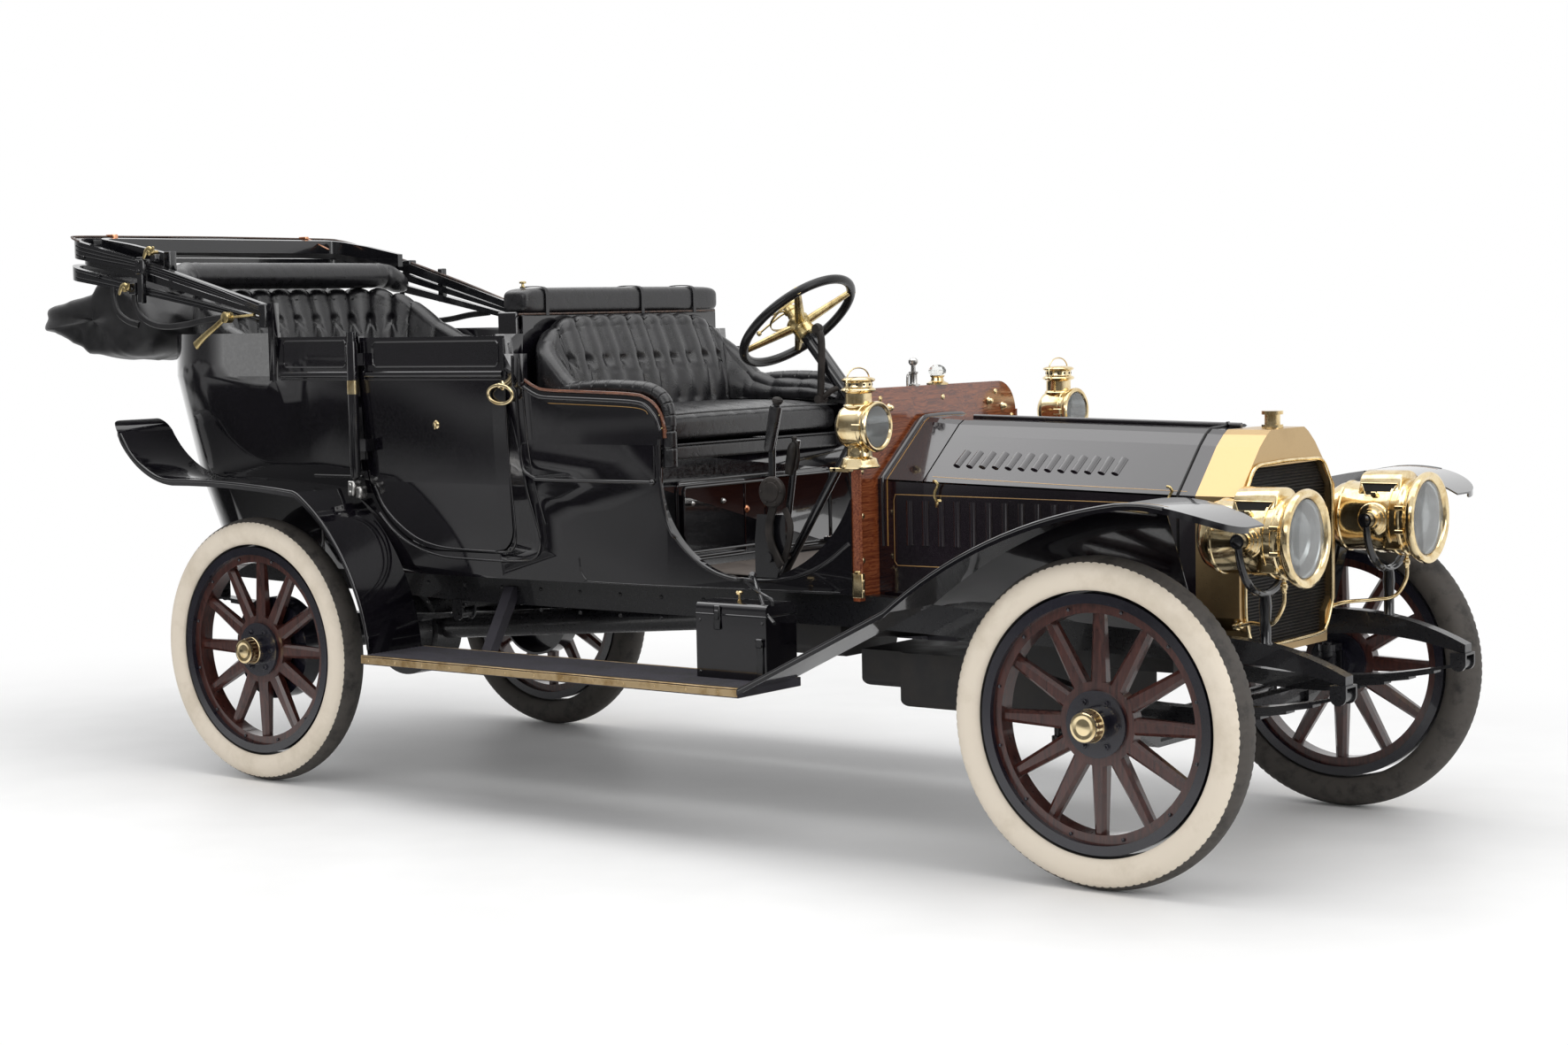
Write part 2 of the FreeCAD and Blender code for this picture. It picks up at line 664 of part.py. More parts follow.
def knuckle(side):
    """Stub axle: forked lugs on the kingpin, web, spindle and a steering arm that points back."""
    y = side * KINGPIN_Y
    web_in = side * KNUCKLE_WEB_Y
    web_out = side * (KNUCKLE_WEB_Y + KNUCKLE_WEB_THICKNESS)
    half = KINGPIN_BOSS_RADIUS
    pieces = []
    for z in (LUG_LOW_Z, LUG_HIGH_Z):
        pieces.append(Part.makeCylinder(half, KNUCKLE_LUG_THICKNESS, V(0, y, z)))
        pieces.append(box(-half, half, y, web_out, z, z + KNUCKLE_LUG_THICKNESS))
    top = LUG_HIGH_Z + KNUCKLE_LUG_THICKNESS
    pieces.append(box(-half, half, web_in, web_out, LUG_LOW_Z, top))
    pieces.append(Part.makeCylinder(KINGPIN_RADIUS, top + 6 - LUG_LOW_Z, V(0, y, LUG_LOW_Z)))
    reach = side * (TRACK / 2 + SPINDLE_REACH - 2)
    pieces.append(drum(0, web_in, reach, AXLE_HEIGHT, SPINDLE_RADIUS))
    mid = LUG_LOW_Z + KNUCKLE_LUG_THICKNESS / 2
    pieces.append(rod(V(-20, y, mid), V(TIE_ROD_PIN_X, y, mid), STEER_ARM_RADIUS))
    pin_low = TIE_ROD_TOP_Z - 2 * TIE_ROD_RADIUS - 6
    foot = V(TIE_ROD_PIN_X, y, LUG_LOW_Z)
    pieces.append(Part.makeCylinder(STEER_ARM_RADIUS + 3, KNUCKLE_LUG_THICKNESS, foot))
    pieces.append(Part.makeCylinder(TIE_ROD_PIN_RADIUS, mid - pin_low, V(TIE_ROD_PIN_X, y, pin_low)))
    return fuse_all(pieces)


def tie_rod():
    z = TIE_ROD_TOP_Z - TIE_ROD_RADIUS - 3
    eye_half = TIE_ROD_RADIUS + 3
    eye_radius = TIE_ROD_RADIUS + 8
    pieces = [rod(V(TIE_ROD_PIN_X, -KINGPIN_Y, z), V(TIE_ROD_PIN_X, KINGPIN_Y, z), TIE_ROD_RADIUS)]
    for y in (-KINGPIN_Y, KINGPIN_Y):
        pieces.append(Part.makeCylinder(eye_radius, 2 * eye_half, V(TIE_ROD_PIN_X, y, z - eye_half)))
    whole = fuse_all(pieces)
    for y in (-KINGPIN_Y, KINGPIN_Y):
        bore = Part.makeCylinder(TIE_ROD_PIN_RADIUS + KINGPIN_FIT, 80, V(TIE_ROD_PIN_X, y, z - 40))
        whole = whole.cut(bore)
    return whole


def rear_axle():
    """Axle tubes with spring pads, differential housing and the torque tube that runs forward."""
    x = -WHEELBASE
    z = AXLE_HEIGHT
    inner = TRACK / 2 - SPOKE_DEPTH / 2 - HUB_FLANGE_THICKNESS - DRUM_WIDTH - 4
    reach = TRACK / 2 + SPINDLE_REACH - 2
    pieces = [
        drum(x, -inner, inner, z, AXLE_TUBE_RADIUS),
        drum(x, -reach, reach, z, SPINDLE_RADIUS),
        Part.makeSphere(DIFFERENTIAL_RADIUS, V(x, 0, z)),
        drum(x, -60, 60, z, DIFFERENTIAL_RADIUS + 14),
        rod(V(x, 0, z), V(GEARBOX_REAR_X, 0, 560), PROPSHAFT_RADIUS),
    ]
    for y in (-RAIL_Y, RAIL_Y):
        half = SPRING_WIDTH / 2
        pieces.append(box(x - 60, x + 60, y - half, y + half, z, z + AXLE_TUBE_RADIUS + 8))
    return fuse_all(pieces)


def gearbox():
    """Gearbox case between its cross members, with the shaft housing from the engine."""
    case = box(GEARBOX_REAR_X, GEARBOX_FRONT_X, -150, 150, 470, 618)
    corners = [edge for edge in case.Edges if abs(edge.tangentAt(edge.FirstParameter).x) > 0.9]
    case = case.makeFillet(30, corners)
    shaft = rod(V(GEARBOX_FRONT_X, 0, 560), V(ENGINE_REAR_X, 0, 600), PROPSHAFT_RADIUS)
    return fuse_all([case, shaft]).cut(engine_block()).cut(rear_axle())


def engine_block():
    """The engine as one plain block, on its stepped sump and flywheel tray."""
    half = ENGINE_HALF_WIDTH
    block = box(ENGINE_REAR_X, ENGINE_FRONT_X, -half, half, ENGINE_BOTTOM_Z, ENGINE_TOP_Z)
    trays = []
    for rear, front, reach, low in ENGINE_TRAYS:
        tray = box(rear, front, -reach, reach, low, ENGINE_BOTTOM_Z)
        low_edges = [e for e in tray.Edges if e.Length > 150 and abs(e.CenterOfMass.z - low) < 1]
        trays.append(tray.makeFillet(TRAY_ROUND, low_edges))
    return fuse_all([block] + trays)


node("chassis_frame", chassis())
node("leaf_springs", spring_set())
node("front_axle", front_axle())
node("knuckle_right", knuckle(-1))
node("knuckle_left", knuckle(1))
node("tie_rod", tie_rod())
node("rear_axle", rear_axle())
node("gearbox", gearbox())
node("engine_block", engine_block())


# ---- radiator, bonnet and dash -----------------------------------------
def core_outline():
    half = [
        (CORE_BOTTOM_HALF, CORE_BOTTOM_Z), (CORE_BOTTOM_HALF + 4, RADIATOR_NOTCH_Z - 30),
        (CORE_BREAK_HALF, RADIATOR_NOTCH_Z + 10), (CORE_BREAK_HALF, CORE_BREAK_Z),
        (CORE_TOP_HALF, CORE_TOP_Z),
    ]
    return half + [(-y, z) for y, z in reversed(half)]


def radiator_shell():
    body = plate_yz(shell_outline(), RADIATOR_REAR_X, RADIATOR_FRONT_X)
    return body.cut(plate_yz(core_outline(), RADIATOR_REAR_X - 1, RADIATOR_FRONT_X + 1))


def radiator_core():
    """The core behind its face of flat tubes, which stand a little proud of it."""
    front = RADIATOR_FRONT_X - CORE_RECESS
    slab = plate_yz(core_outline(), RADIATOR_REAR_X + 12, front)
    tubes = []
    z = CORE_BOTTOM_Z + CORE_TUBE_PITCH
    while z < CORE_TOP_Z - CORE_TUBE_PITCH / 2:
        tubes.append(box(
            front - 1, front + CORE_TUBE_REACH, -CORE_BREAK_HALF, CORE_BREAK_HALF, z, z + CORE_TUBE_HEIGHT))
        z += CORE_TUBE_PITCH
    face = plate_yz(core_outline(), front - 1, front + CORE_TUBE_REACH)
    return fuse_all([slab] + [tube.common(face) for tube in tubes])


def filler_cap():
    base = Part.makeCylinder(30, 10, V(FILLER_X, 0, RADIATOR_TOP_Z))
    neck = Part.makeCylinder(22, 44, V(FILLER_X, 0, RADIATOR_TOP_Z))
    head = Part.makeCylinder(30, 10, V(FILLER_X, 0, RADIATOR_TOP_Z + 38))
    return fuse_all([base, neck, head])


def bonnet_section(x, half, break_z, top_z, inset):
    """Section across the bonnet: upright sides, chamfers and an almost flat top."""
    flat = RADIATOR_FLAT_HALF
    right = [
        (half - inset, HOOD_BOTTOM_Z - (5 if inset else 0)),
        (half - inset, break_z - 0.4 * inset),
        (flat + HOOD_SHOULDER - 0.6 * inset, top_z - HOOD_SHOULDER_DROP - inset),
        (flat + 25 - 0.3 * inset, top_z - 14 - inset),
        (flat, top_z - 2 - inset),
        (0.0, top_z - inset),
    ]
    points = right + [(-y, z) for y, z in reversed(right[:-1])]
    return polygon([V(x, y, z) for y, z in points])


def bonnet_shell(front, rear):
    """Sheet shell between two sections, each given as (x, half width, break z, top z)."""
    outer = Part.makeLoft([bonnet_section(*front, 0), bonnet_section(*rear, 0)], True, True)
    inner = Part.makeLoft([bonnet_section(*front, HOOD_WALL), bonnet_section(*rear, HOOD_WALL)], True, True)
    past = inner.copy()
    past.translate(V(1, 0, 0))
    before = inner.copy()
    before.translate(V(-1, 0, 0))
    return outer.cut(inner).cut(past).cut(before)


# columns: x, half width, height of the break, top height
BAND_SECTION = (RADIATOR_REAR_X, RADIATOR_HALF_WIDTH, RADIATOR_BREAK_Z, RADIATOR_TOP_Z)
HOOD_FRONT_SECTION = (STRAP_FRONT_X, 290.0, 1009.0, 1183.0)
HOOD_REAR_SECTION = (HOOD_REAR_X, HOOD_REAR_HALF_WIDTH, HOOD_REAR_BREAK_Z, HOOD_REAR_TOP_Z)
SCUTTLE_REAR_SECTION = (DASH_FRONT_X, 327.0, 1035.0, 1210.0)


def behind(section, distance):
    return (section[0] - distance,) + section[1:]


def bonnet_row(x):
    """Half width, height of the break and top height of the bonnet or the scuttle at x."""
    front, rear = HOOD_FRONT_SECTION, HOOD_REAR_SECTION
    if x < HOOD_REAR_X:
        front, rear = HOOD_REAR_SECTION, SCUTTLE_REAR_SECTION
    share = (x - front[0]) / (rear[0] - front[0])
    return [a + share * (b - a) for a, b in zip(front[1:], rear[1:])]


def below_break(rear_x, drop):
    """All that lies lower than the break, less a drop, from the front band back to rear_x."""
    xs = (STRAP_FRONT_X, HOOD_REAR_X, rear_x)
    top = [(x, bonnet_row(x)[1] - drop) for x in xs]
    return plate_xz(top + [(rear_x, 500), (STRAP_FRONT_X, 500)], -400, 400)


def louvres(ends):
    """Half-round louvres from (low end, high end, way outward) on the bonnet's right side."""
    pieces = []
    for low, high, outward in ends:
        sink = outward * -LOUVRE_SINK
        pieces.append(rod(low.add(sink), high.add(sink), LOUVRE_RADIUS))
    return pieces


def lid_louvres():
    rows = []
    for index in range(LID_LOUVRE_COUNT):
        x = LID_LOUVRE_REAR_X + index * LID_LOUVRE_PITCH
        half, break_z, top_z = bonnet_row(x)
        low = V(x, -half, break_z)
        way = V(0, half - RADIATOR_FLAT_HALF - HOOD_SHOULDER, top_z - HOOD_SHOULDER_DROP - break_z)
        outward = V(0, -way.z, way.y).normalize()
        start = low.add(way * LID_LOUVRE_LOW)
        end = low.add(way * LID_LOUVRE_HIGH).add(V(LOUVRE_SLANT, 0, 0))
        rows.append((start, end, outward))
    return louvres(rows)


def side_louvres():
    rows = []
    for index in range(SIDE_LOUVRE_COUNT):
        x = SIDE_LOUVRE_REAR_X + index * SIDE_LOUVRE_PITCH
        y = -bonnet_row(x)[0]
        rows.append((V(x, y, SIDE_LOUVRE_LOW_Z), V(x, y, SIDE_LOUVRE_HIGH_Z), V(0, -1, 0)))
    return louvres(rows)


def bonnet_inside(front, rear):
    return Part.makeLoft([bonnet_section(*front, HOOD_WALL), bonnet_section(*rear, HOOD_WALL)], True, True)


def bonnet_lid():
    """Right lid of the bonnet, from the middle hinge down to the break, with its louvres."""
    front = behind(HOOD_FRONT_SECTION, HOOD_GAP)
    shell = bonnet_shell(front, HOOD_REAR_SECTION)
    shell = shell.common(box(HOOD_REAR_X - 10, 10, -HINGE_EDGE_Y, -400, 500, 1300))
    shell = shell.cut(below_break(HOOD_REAR_X - 1, 0))
    inside = bonnet_inside(front, HOOD_REAR_SECTION)
    return fuse_all([shell] + [piece.cut(inside) for piece in lid_louvres()])


def bonnet_side():
    """Right side panel below the break, which runs on under the scuttle, with its louvres."""
    front = behind(HOOD_FRONT_SECTION, REST_GAP)
    runs = ((front, HOOD_REAR_SECTION), (HOOD_REAR_SECTION, SCUTTLE_REAR_SECTION))
    shells = [bonnet_shell(ahead, after) for ahead, after in runs]
    keep = below_break(SIDE_PANEL_REAR_X, HOOD_GAP).common(box(-1000, 0, -200, -400, 500, 1100))
    insides = [bonnet_inside(ahead, after) for ahead, after in runs]
    ribs = [piece.cut(insides[0]).cut(insides[1]) for piece in side_louvres()]
    return fuse_all([shell.common(keep) for shell in shells] + ribs)


def hinge_rod():
    """The rod along the top of the bonnet that both halves turn on."""
    front = V(RADIATOR_REAR_X - 10, 0, HOOD_FRONT_SECTION[3] + HINGE_RISE)
    rear = V(HOOD_REAR_X - 30, 0, HOOD_REAR_TOP_Z + HINGE_RISE)
    return rod(front, rear, HINGE_RADIUS)


def ledge(side):
    """Wooden ledge between bonnet and side rail."""
    inner = RADIATOR_HALF_WIDTH - 20
    outer = RAIL_Y - RAIL_WIDTH / 2
    top = HOOD_BOTTOM_Z - REST_GAP
    return box(DASH_FRONT_X, RADIATOR_REAR_X, side * inner, side * outer, HOOD_BOTTOM_Z - 22, top)


def dashboard():
    half = DASH_HALF_WIDTH
    body = box(DASH_REAR_X, DASH_FRONT_X, -half, half, DASH_BOTTOM_Z, DASH_TOP_Z)
    top_corners = []
    for edge in body.Edges:
        centre = edge.CenterOfMass
        if abs(abs(centre.y) - half) < 1 and abs(centre.z - DASH_TOP_Z) < 1 and edge.Length < 60:
            top_corners.append(edge)
    body = body.makeFillet(DASH_CORNER, top_corners)
    return body.cut(column_tube(COLUMN_RADIUS + 3)).cut(NODES["chassis_frame"])


def column_way():
    angle = math.radians(COLUMN_ANGLE_DEG)
    return V(math.cos(angle), 0, -math.sin(angle))


def column_tube(radius):
    way = column_way()
    start = STEER_CENTRE.add(way * 60)
    length = (start.z - COLUMN_FOOT_Z) / -way.z
    return rod(start, start.add(way * length), radius)


node("radiator_shell", radiator_shell())
node("radiator_core", radiator_core())
node("filler_cap", filler_cap())
node("bonnet_right", bonnet_lid())
node("bonnet_left", mirrored(bonnet_lid()))
node("bonnet_sides", both_sides(bonnet_side()))
scuttle = bonnet_shell(behind(HOOD_REAR_SECTION, HOOD_GAP), SCUTTLE_REAR_SECTION)
node("scuttle", fuse_all([
    bonnet_shell(BAND_SECTION, HOOD_FRONT_SECTION),
    hinge_rod(),
    scuttle.cut(below_break(SIDE_PANEL_REAR_X - REST_GAP, 0)),
]))
node("bonnet_ledges", both_sides(ledge(1)))
node("dashboard", dashboard())


# ---- body ---------------------------------------------------------------
def tub_row(z):
    """The table's row at a height, straight between rows and past its ends."""
    rows = TUB_SECTIONS
    upper = 1
    while upper < len(rows) - 1 and z > rows[upper][0]:
        upper += 1
    low = rows[upper - 1]
    high = rows[upper]
    share = (z - low[0]) / (high[0] - low[0])
    return [a + share * (b - a) for a, b in zip(low, high)]


def tub_wire(z, inset, front_x):
    """Plan outline of the tub: four straight runs a side and round rear corners."""
    row = tub_row(z)
    halves = [value - inset for value in row[1:5]]
    rear = row[5] + inset
    corner = row[6] - inset
    xs = (front_x,) + TUB_X[1:]
    left = [V(x, y, z) for x, y in zip(xs, halves)]
    right = [V(x, -y, z) for x, y in zip(xs, halves)]
    side_end = V(rear + corner, halves[-1], z)
    back_start = V(rear, halves[-1] - corner, z)
    turn = corner * (1 - math.sqrt(0.5))
    middle = V(rear + turn, halves[-1] - turn, z)
    flip = [V(p.x, -p.y, p.z) for p in (side_end, middle, back_start)]
    edges = []
    path = left + [side_end]
    for a, b in zip(path[:-1], path[1:]):
        edges.append(Part.LineSegment(a, b).toShape())
    edges.append(Part.Arc(side_end, middle, back_start).toShape())
    edges.append(Part.LineSegment(back_start, flip[2]).toShape())
    edges.append(Part.Arc(flip[2], flip[1], flip[0]).toShape())
    path = [flip[0]] + list(reversed(right))
    for a, b in zip(path[:-1], path[1:]):
        edges.append(Part.LineSegment(a, b).toShape())
    edges.append(Part.LineSegment(right[0], left[0]).toShape())
    return Part.Wire(edges)


def tub_solid(inset, low, high, front_x):
    heights = [low] + [row[0] for row in TUB_SECTIONS if low < row[0] < high] + [high]
    return Part.makeLoft([tub_wire(z, inset, front_x) for z in heights], True, True)


def profile_prism(path):
    """A solid from an (x, z) path of lines and arcs, right across the car."""
    edges, last = edges_xz(path, -700)
    start = V(path[0][0], -700, path[0][1])
    if last.sub(start).Length > 0.01:
        edges.append(Part.LineSegment(last, start).toShape())
    return Part.Face(Part.Wire(edges)).extrude(V(0, 1400, 0))


def entry_opening():
    """Front entry: a deep round dip ahead of the seat, open at the top."""
    return profile_prism([
        (ENTRY_REAR_X, SEAT_SIDE_Z + 400),
        ("line", (ENTRY_REAR_X, 1019)),
        ("arc", (ENTRY_REAR_X + 95, 815), (ENTRY_CENTRE_X, ENTRY_BOTTOM_Z)),
        ("arc", (-1130, 812), (ENTRY_FRONT_X, 977)),
        ("line", (ENTRY_FRONT_X + 60, 1060)),
        ("line", (ENTRY_FRONT_X + 60, SEAT_SIDE_Z + 400)),
    ])


def door_path(grow):
    """Door outline: square top, small radius at the low front corner and a large one behind."""
    front = DOOR_FRONT_X + grow
    rear = DOOR_REAR_X - grow
    low = DOOR_BOTTOM_Z - grow
    r_front = DOOR_LOW_FRONT_RADIUS
    r_rear = DOOR_LOW_REAR_RADIUS
    k = 1 - math.sqrt(0.5)
    return [
        (front, DOOR_TOP_Z + grow),
        ("line", (front, low + r_front)),
        ("arc", (front - k * r_front, low + k * r_front), (front - r_front, low)),
        ("line", (rear + r_rear, low)),
        ("arc", (rear + k * r_rear, low + k * r_rear), (rear, low + r_rear)),
        ("line", (rear, DOOR_TOP_Z + grow)),
    ]


def tub_top_trim():
    """Everything of the walls that lies above the body's top line."""
    high = 1700
    return profile_prism([
        (-900, high),
        ("line", (-900, 1150)),
        ("line", (ENTRY_REAR_X - 14, 1150)),
        ("arc", (ENTRY_REAR_X - 32, 1205), (ENTRY_REAR_X - 90, SEAT_SIDE_Z)),
        ("line", (-1950, SEAT_SIDE_Z + 10)),
        ("arc", (-2110, SEAT_SIDE_Z + 50), (SEAT_BACK_FRONT_X, SEAT_SIDE_Z + 165)),
        ("line", (SEAT_BACK_FRONT_X, DOOR_TOP_Z)),
        ("line", (POST_X - 12, DOOR_TOP_Z)),
        ("line", (POST_X - 12, DOOR_TOP_Z + 15)),
        ("line", (-4200, DOOR_TOP_Z + 15)),
        ("line", (-4200, high)),
    ])


def body_tub():
    """Sides, floor, seat boxes and the panel behind the front seat."""
    low = TUB_SECTIONS[0][0]
    high = TUB_SECTIONS[-1][0]
    outer = tub_solid(0, low, high, TUB_X[0])
    inner = tub_solid(TUB_WALL, FLOOR_TOP_Z, high + 10, TUB_X[0] + 10)
    panel = box(SEAT_BACK_FRONT_X, SEAT_BACK_REAR_X, -700, 700, FLOOR_TOP_Z - 5, DOOR_TOP_Z)
    front_box = box(
        ENTRY_REAR_X - 20, SEAT_BACK_FRONT_X, -700, 700, FLOOR_TOP_Z - 5, FRONT_CUSHION_BOTTOM_Z)
    rear_box = box(REAR_CUSHION_FRONT_X - 15, -4100, -700, 700, FLOOR_TOP_Z - 5, REAR_CUSHION_BOTTOM_Z)
    inside_doors = tub_solid(TUB_WALL + DOOR_GAP, low - 1, high + 1, TUB_X[0])
    filling = fuse_all([panel, front_box, rear_box]).common(outer)
    filling = filling.cut(profile_prism(door_path(0)).cut(inside_doors))
    walls = outer.cut(inner).cut(entry_opening()).cut(tub_top_trim()).cut(profile_prism(door_path(0)))
    head = box(SEAT_BACK_FRONT_X, SEAT_BACK_REAR_X, -SEAT_ROLL_HALF, SEAT_ROLL_HALF, 1470, SEAT_BACK_TOP_Z)
    tub = fuse_all([walls, filling, head])
    for side in (-1, 1):
        post_y = side * (TUB_SECTIONS[2][4])
        tub = tub.fuse(box(POST_X, POST_X - 30, post_y - side * 10, post_y + side * 14, 1330, POST_TOP_Z))
        wall_y = side * (TUB_SECTIONS[2][3] + FRONT_POST_REACH)
        tub = tub.fuse(box(FRONT_POST_FRONT_X, FRONT_POST_REAR_X, wall_y, wall_y - side * FRONT_POST_WIDTH,
                           SEAT_SIDE_Z + 85, FRONT_POST_TOP_Z))
    return tub.removeSplitter()


def door(side):
    """Rear-hinged door cut from the tub's own wall, with its hinge eyes and ring handle."""
    low = TUB_SECTIONS[0][0]
    high = TUB_SECTIONS[-1][0]
    wall = tub_solid(0, low, high, TUB_X[0]).cut(tub_solid(TUB_WALL, low - 1, high + 1, TUB_X[0] + 10))
    keep = box(DOOR_REAR_X - 10, DOOR_FRONT_X + 10, side * 300, side * 700, 600, 1600)
    leaf = wall.common(profile_prism(door_path(-DOOR_GAP))).common(keep)
    pieces = [leaf]
    for z in (1120.0, 1400.0):
        pieces.append(box(
            DOOR_REAR_X + DOOR_GAP, DOOR_REAR_X + DOOR_GAP + 40,
            side * (DOOR_HINGE_Y - 52), side * DOOR_HINGE_Y, z - 20, z + 20))
        pieces.append(Part.makeCylinder(DOOR_HINGE_RADIUS + 5, 40,
                                        V(DOOR_HINGE_X, side * DOOR_HINGE_Y, z - 20)))
    whole = fuse_all(pieces)
    pin = Part.makeCylinder(DOOR_HINGE_RADIUS + KINGPIN_FIT, 900, V(DOOR_HINGE_X, side * DOOR_HINGE_Y, 900))
    return whole.cut(pin).removeSplitter()


def door_post(side):
    """Hinge pin up the body's side, held by three eyes."""
    y = side * DOOR_HINGE_Y
    pieces = [Part.makeCylinder(DOOR_HINGE_RADIUS, 1490 - 1030, V(DOOR_HINGE_X, y, 1030))]
    for z in (1050.0, 1260.0, 1470.0):
        pieces.append(Part.makeCylinder(DOOR_HINGE_RADIUS + 5, 36, V(DOOR_HINGE_X, y, z - 18)))
        pieces.append(box(DOOR_HINGE_X - 24, DOOR_HINGE_X - 4, side * 575, y, z - 18, z + 18))
    return fuse_all(pieces)


def front_cushion():
    half = SEAT_HALF_WIDTH
    low = FRONT_CUSHION_BOTTOM_Z + SEAT_CLEAR
    rear = SEAT_BACK_FRONT_X + SEAT_CLEAR
    cushion = box(rear, FRONT_CUSHION_FRONT_X, -half, half, low, FRONT_CUSHION_TOP_Z)
    front_edges = [e for e in cushion.Edges if abs(e.CenterOfMass.x - FRONT_CUSHION_FRONT_X) < 1]
    return cushion.makeFillet(22, front_edges)


def front_seat_back():
    """Padded back and arms, one upholstered horseshoe on top of the cushion."""
    low = FRONT_CUSHION_TOP_Z + SEAT_CLEAR
    rear = SEAT_BACK_FRONT_X + SEAT_CLEAR
    outer = SEAT_HALF_WIDTH + 14
    plan = [
        (ENTRY_REAR_X - 34, outer - 44), (ENTRY_REAR_X - 34, outer), (rear, outer + 30),
        (rear, -outer - 30), (ENTRY_REAR_X - 34, -outer), (ENTRY_REAR_X - 34, 44 - outer),
        (rear + 120, 60 - outer), (rear + 120, outer - 60),
    ]
    whole = plate_xy(plan, low, SEAT_BACK_TOP_Z - 10)
    trim = profile_prism([
        (-1500, 1700),
        ("line", (-1500, SEAT_SIDE_Z + 45)),
        ("line", (-1930, SEAT_SIDE_Z + 50)),
        ("arc", (-2085, SEAT_SIDE_Z + 105), (-2176, SEAT_BACK_TOP_Z - 30)),
        ("line", (-2180, 1700)),
    ])
    padding = whole.cut(trim)
    upper_ends = [
        e for e in padding.Edges
        if abs(e.CenterOfMass.z - (SEAT_BACK_TOP_Z - 10)) < 1 and abs(e.CenterOfMass.y) > outer
    ]
    return padding.makeFillet(SEAT_BACK_END_ROUND, upper_ends)


def front_seat_roll():
    low = SEAT_BACK_TOP_Z + SEAT_CLEAR
    half = SEAT_ROLL_HALF
    roll = box(SEAT_ROLL_FRONT_X, SEAT_ROLL_REAR_X, -half, half, low, SEAT_ROLL_TOP_Z)
    long_edges = [e for e in roll.Edges if e.Length > 800]
    return roll.makeFillet(18, long_edges)


def rear_cushion():
    low = REAR_CUSHION_BOTTOM_Z + SEAT_CLEAR
    half = TUB_SECTIONS[1][4] - TUB_WALL - 12
    return box(REAR_CUSHION_REAR_X, REAR_CUSHION_FRONT_X, -half, half, low, REAR_CUSHION_TOP_Z)


def rear_seat_back():
    """Padded horseshoe that lines the rear of the tub and rises above it."""
    low = REAR_CUSHION_TOP_Z + SEAT_CLEAR
    outer = tub_solid(TUB_WALL + 2, low, REAR_BACK_TOP_Z, TUB_X[0])
    inner = tub_solid(TUB_WALL + REAR_BACK_DEPTH, low - 1, REAR_BACK_TOP_Z + 1, TUB_X[0] + 10)
    trim = profile_prism([
        (-900, 1800),
        ("line", (-900, 1100)),
        ("line", (REAR_ARM_FRONT_X, 1100)),
        ("line", (REAR_ARM_FRONT_X, 1440)),
        ("arc", (REAR_ARM_FRONT_X - 130, 1480), (-3560, REAR_BACK_TOP_Z)),
        ("line", (-3560, 1800)),
    ])
    return outer.cut(inner).cut(trim)


def rear_seat_roll():
    z = REAR_BACK_TOP_Z + REAR_ROLL_RADIUS + SEAT_CLEAR
    return drum(REAR_ROLL_X, -REAR_ROLL_HALF, REAR_ROLL_HALF, z, REAR_ROLL_RADIUS)


node("body_tub", Part.makeCompound([body_tub()]))
node("door_posts", Part.makeCompound([door_post(-1), door_post(1)]).cut(NODES["body_tub"]))
node("door_right", door(-1))
node("door_left", door(1))
node("front_cushion", front_cushion())
node("front_seat_back", front_seat_back())
node("front_seat_roll", front_seat_roll())
node("rear_cushion", rear_cushion())
node("rear_seat_back", rear_seat_back())
node("rear_seat_roll", rear_seat_roll())


# ---- wings, running boards and toolbox ----------------------------------
# the curve of the front wing over the wheel: foot, middle and crest, as (x, z)
WING_RISE = ((-600.0, 715.0), (-290.0, 905.0), (126.0, 1026.0))


def apron():
    """Right splash apron from the wing's inner edge down to the outer face of the side rail."""
    foot, middle, crest = WING_RISE
    down = V(0, 0, -WING_THICKNESS)
    wing_y = -FRONT_WING_INNER_Y
    a, b, c = [V(x, wing_y, z) for x, z in WING_RISE]
    upper = [
        Part.Arc(a, b, c).toShape(), Part.LineSegment(c, c.add(down)).toShape(),
        Part.Arc(c.add(down), b.add(down), a.add(down)).toShape(),
        Part.LineSegment(a.add(down), a).toShape(),
    ]
    rail_y = -RAIL_Y - RAIL_WIDTH / 2
    slope = (RAIL_FRONT_TOP_Z - RAIL_TOP_Z) / (RAIL_FRONT_X - RAIL_STEP_X)
    ends = []
    for x in (foot[0], crest[0]):
        ends.append(V(x, rail_y, RAIL_TOP_Z + slope * (x - RAIL_STEP_X) - REST_GAP))
    under = V(0, 0, -APRON_THICKNESS)
    low = [ends[0], ends[1], ends[1].add(under), ends[0].add(under)]
    lower = [Part.LineSegment(p, q).toShape() for p, q in zip(low, low[1:] + low[:1])]
    return Part.makeLoft([Part.Wire(upper), Part.Wire(lower)], True, True)


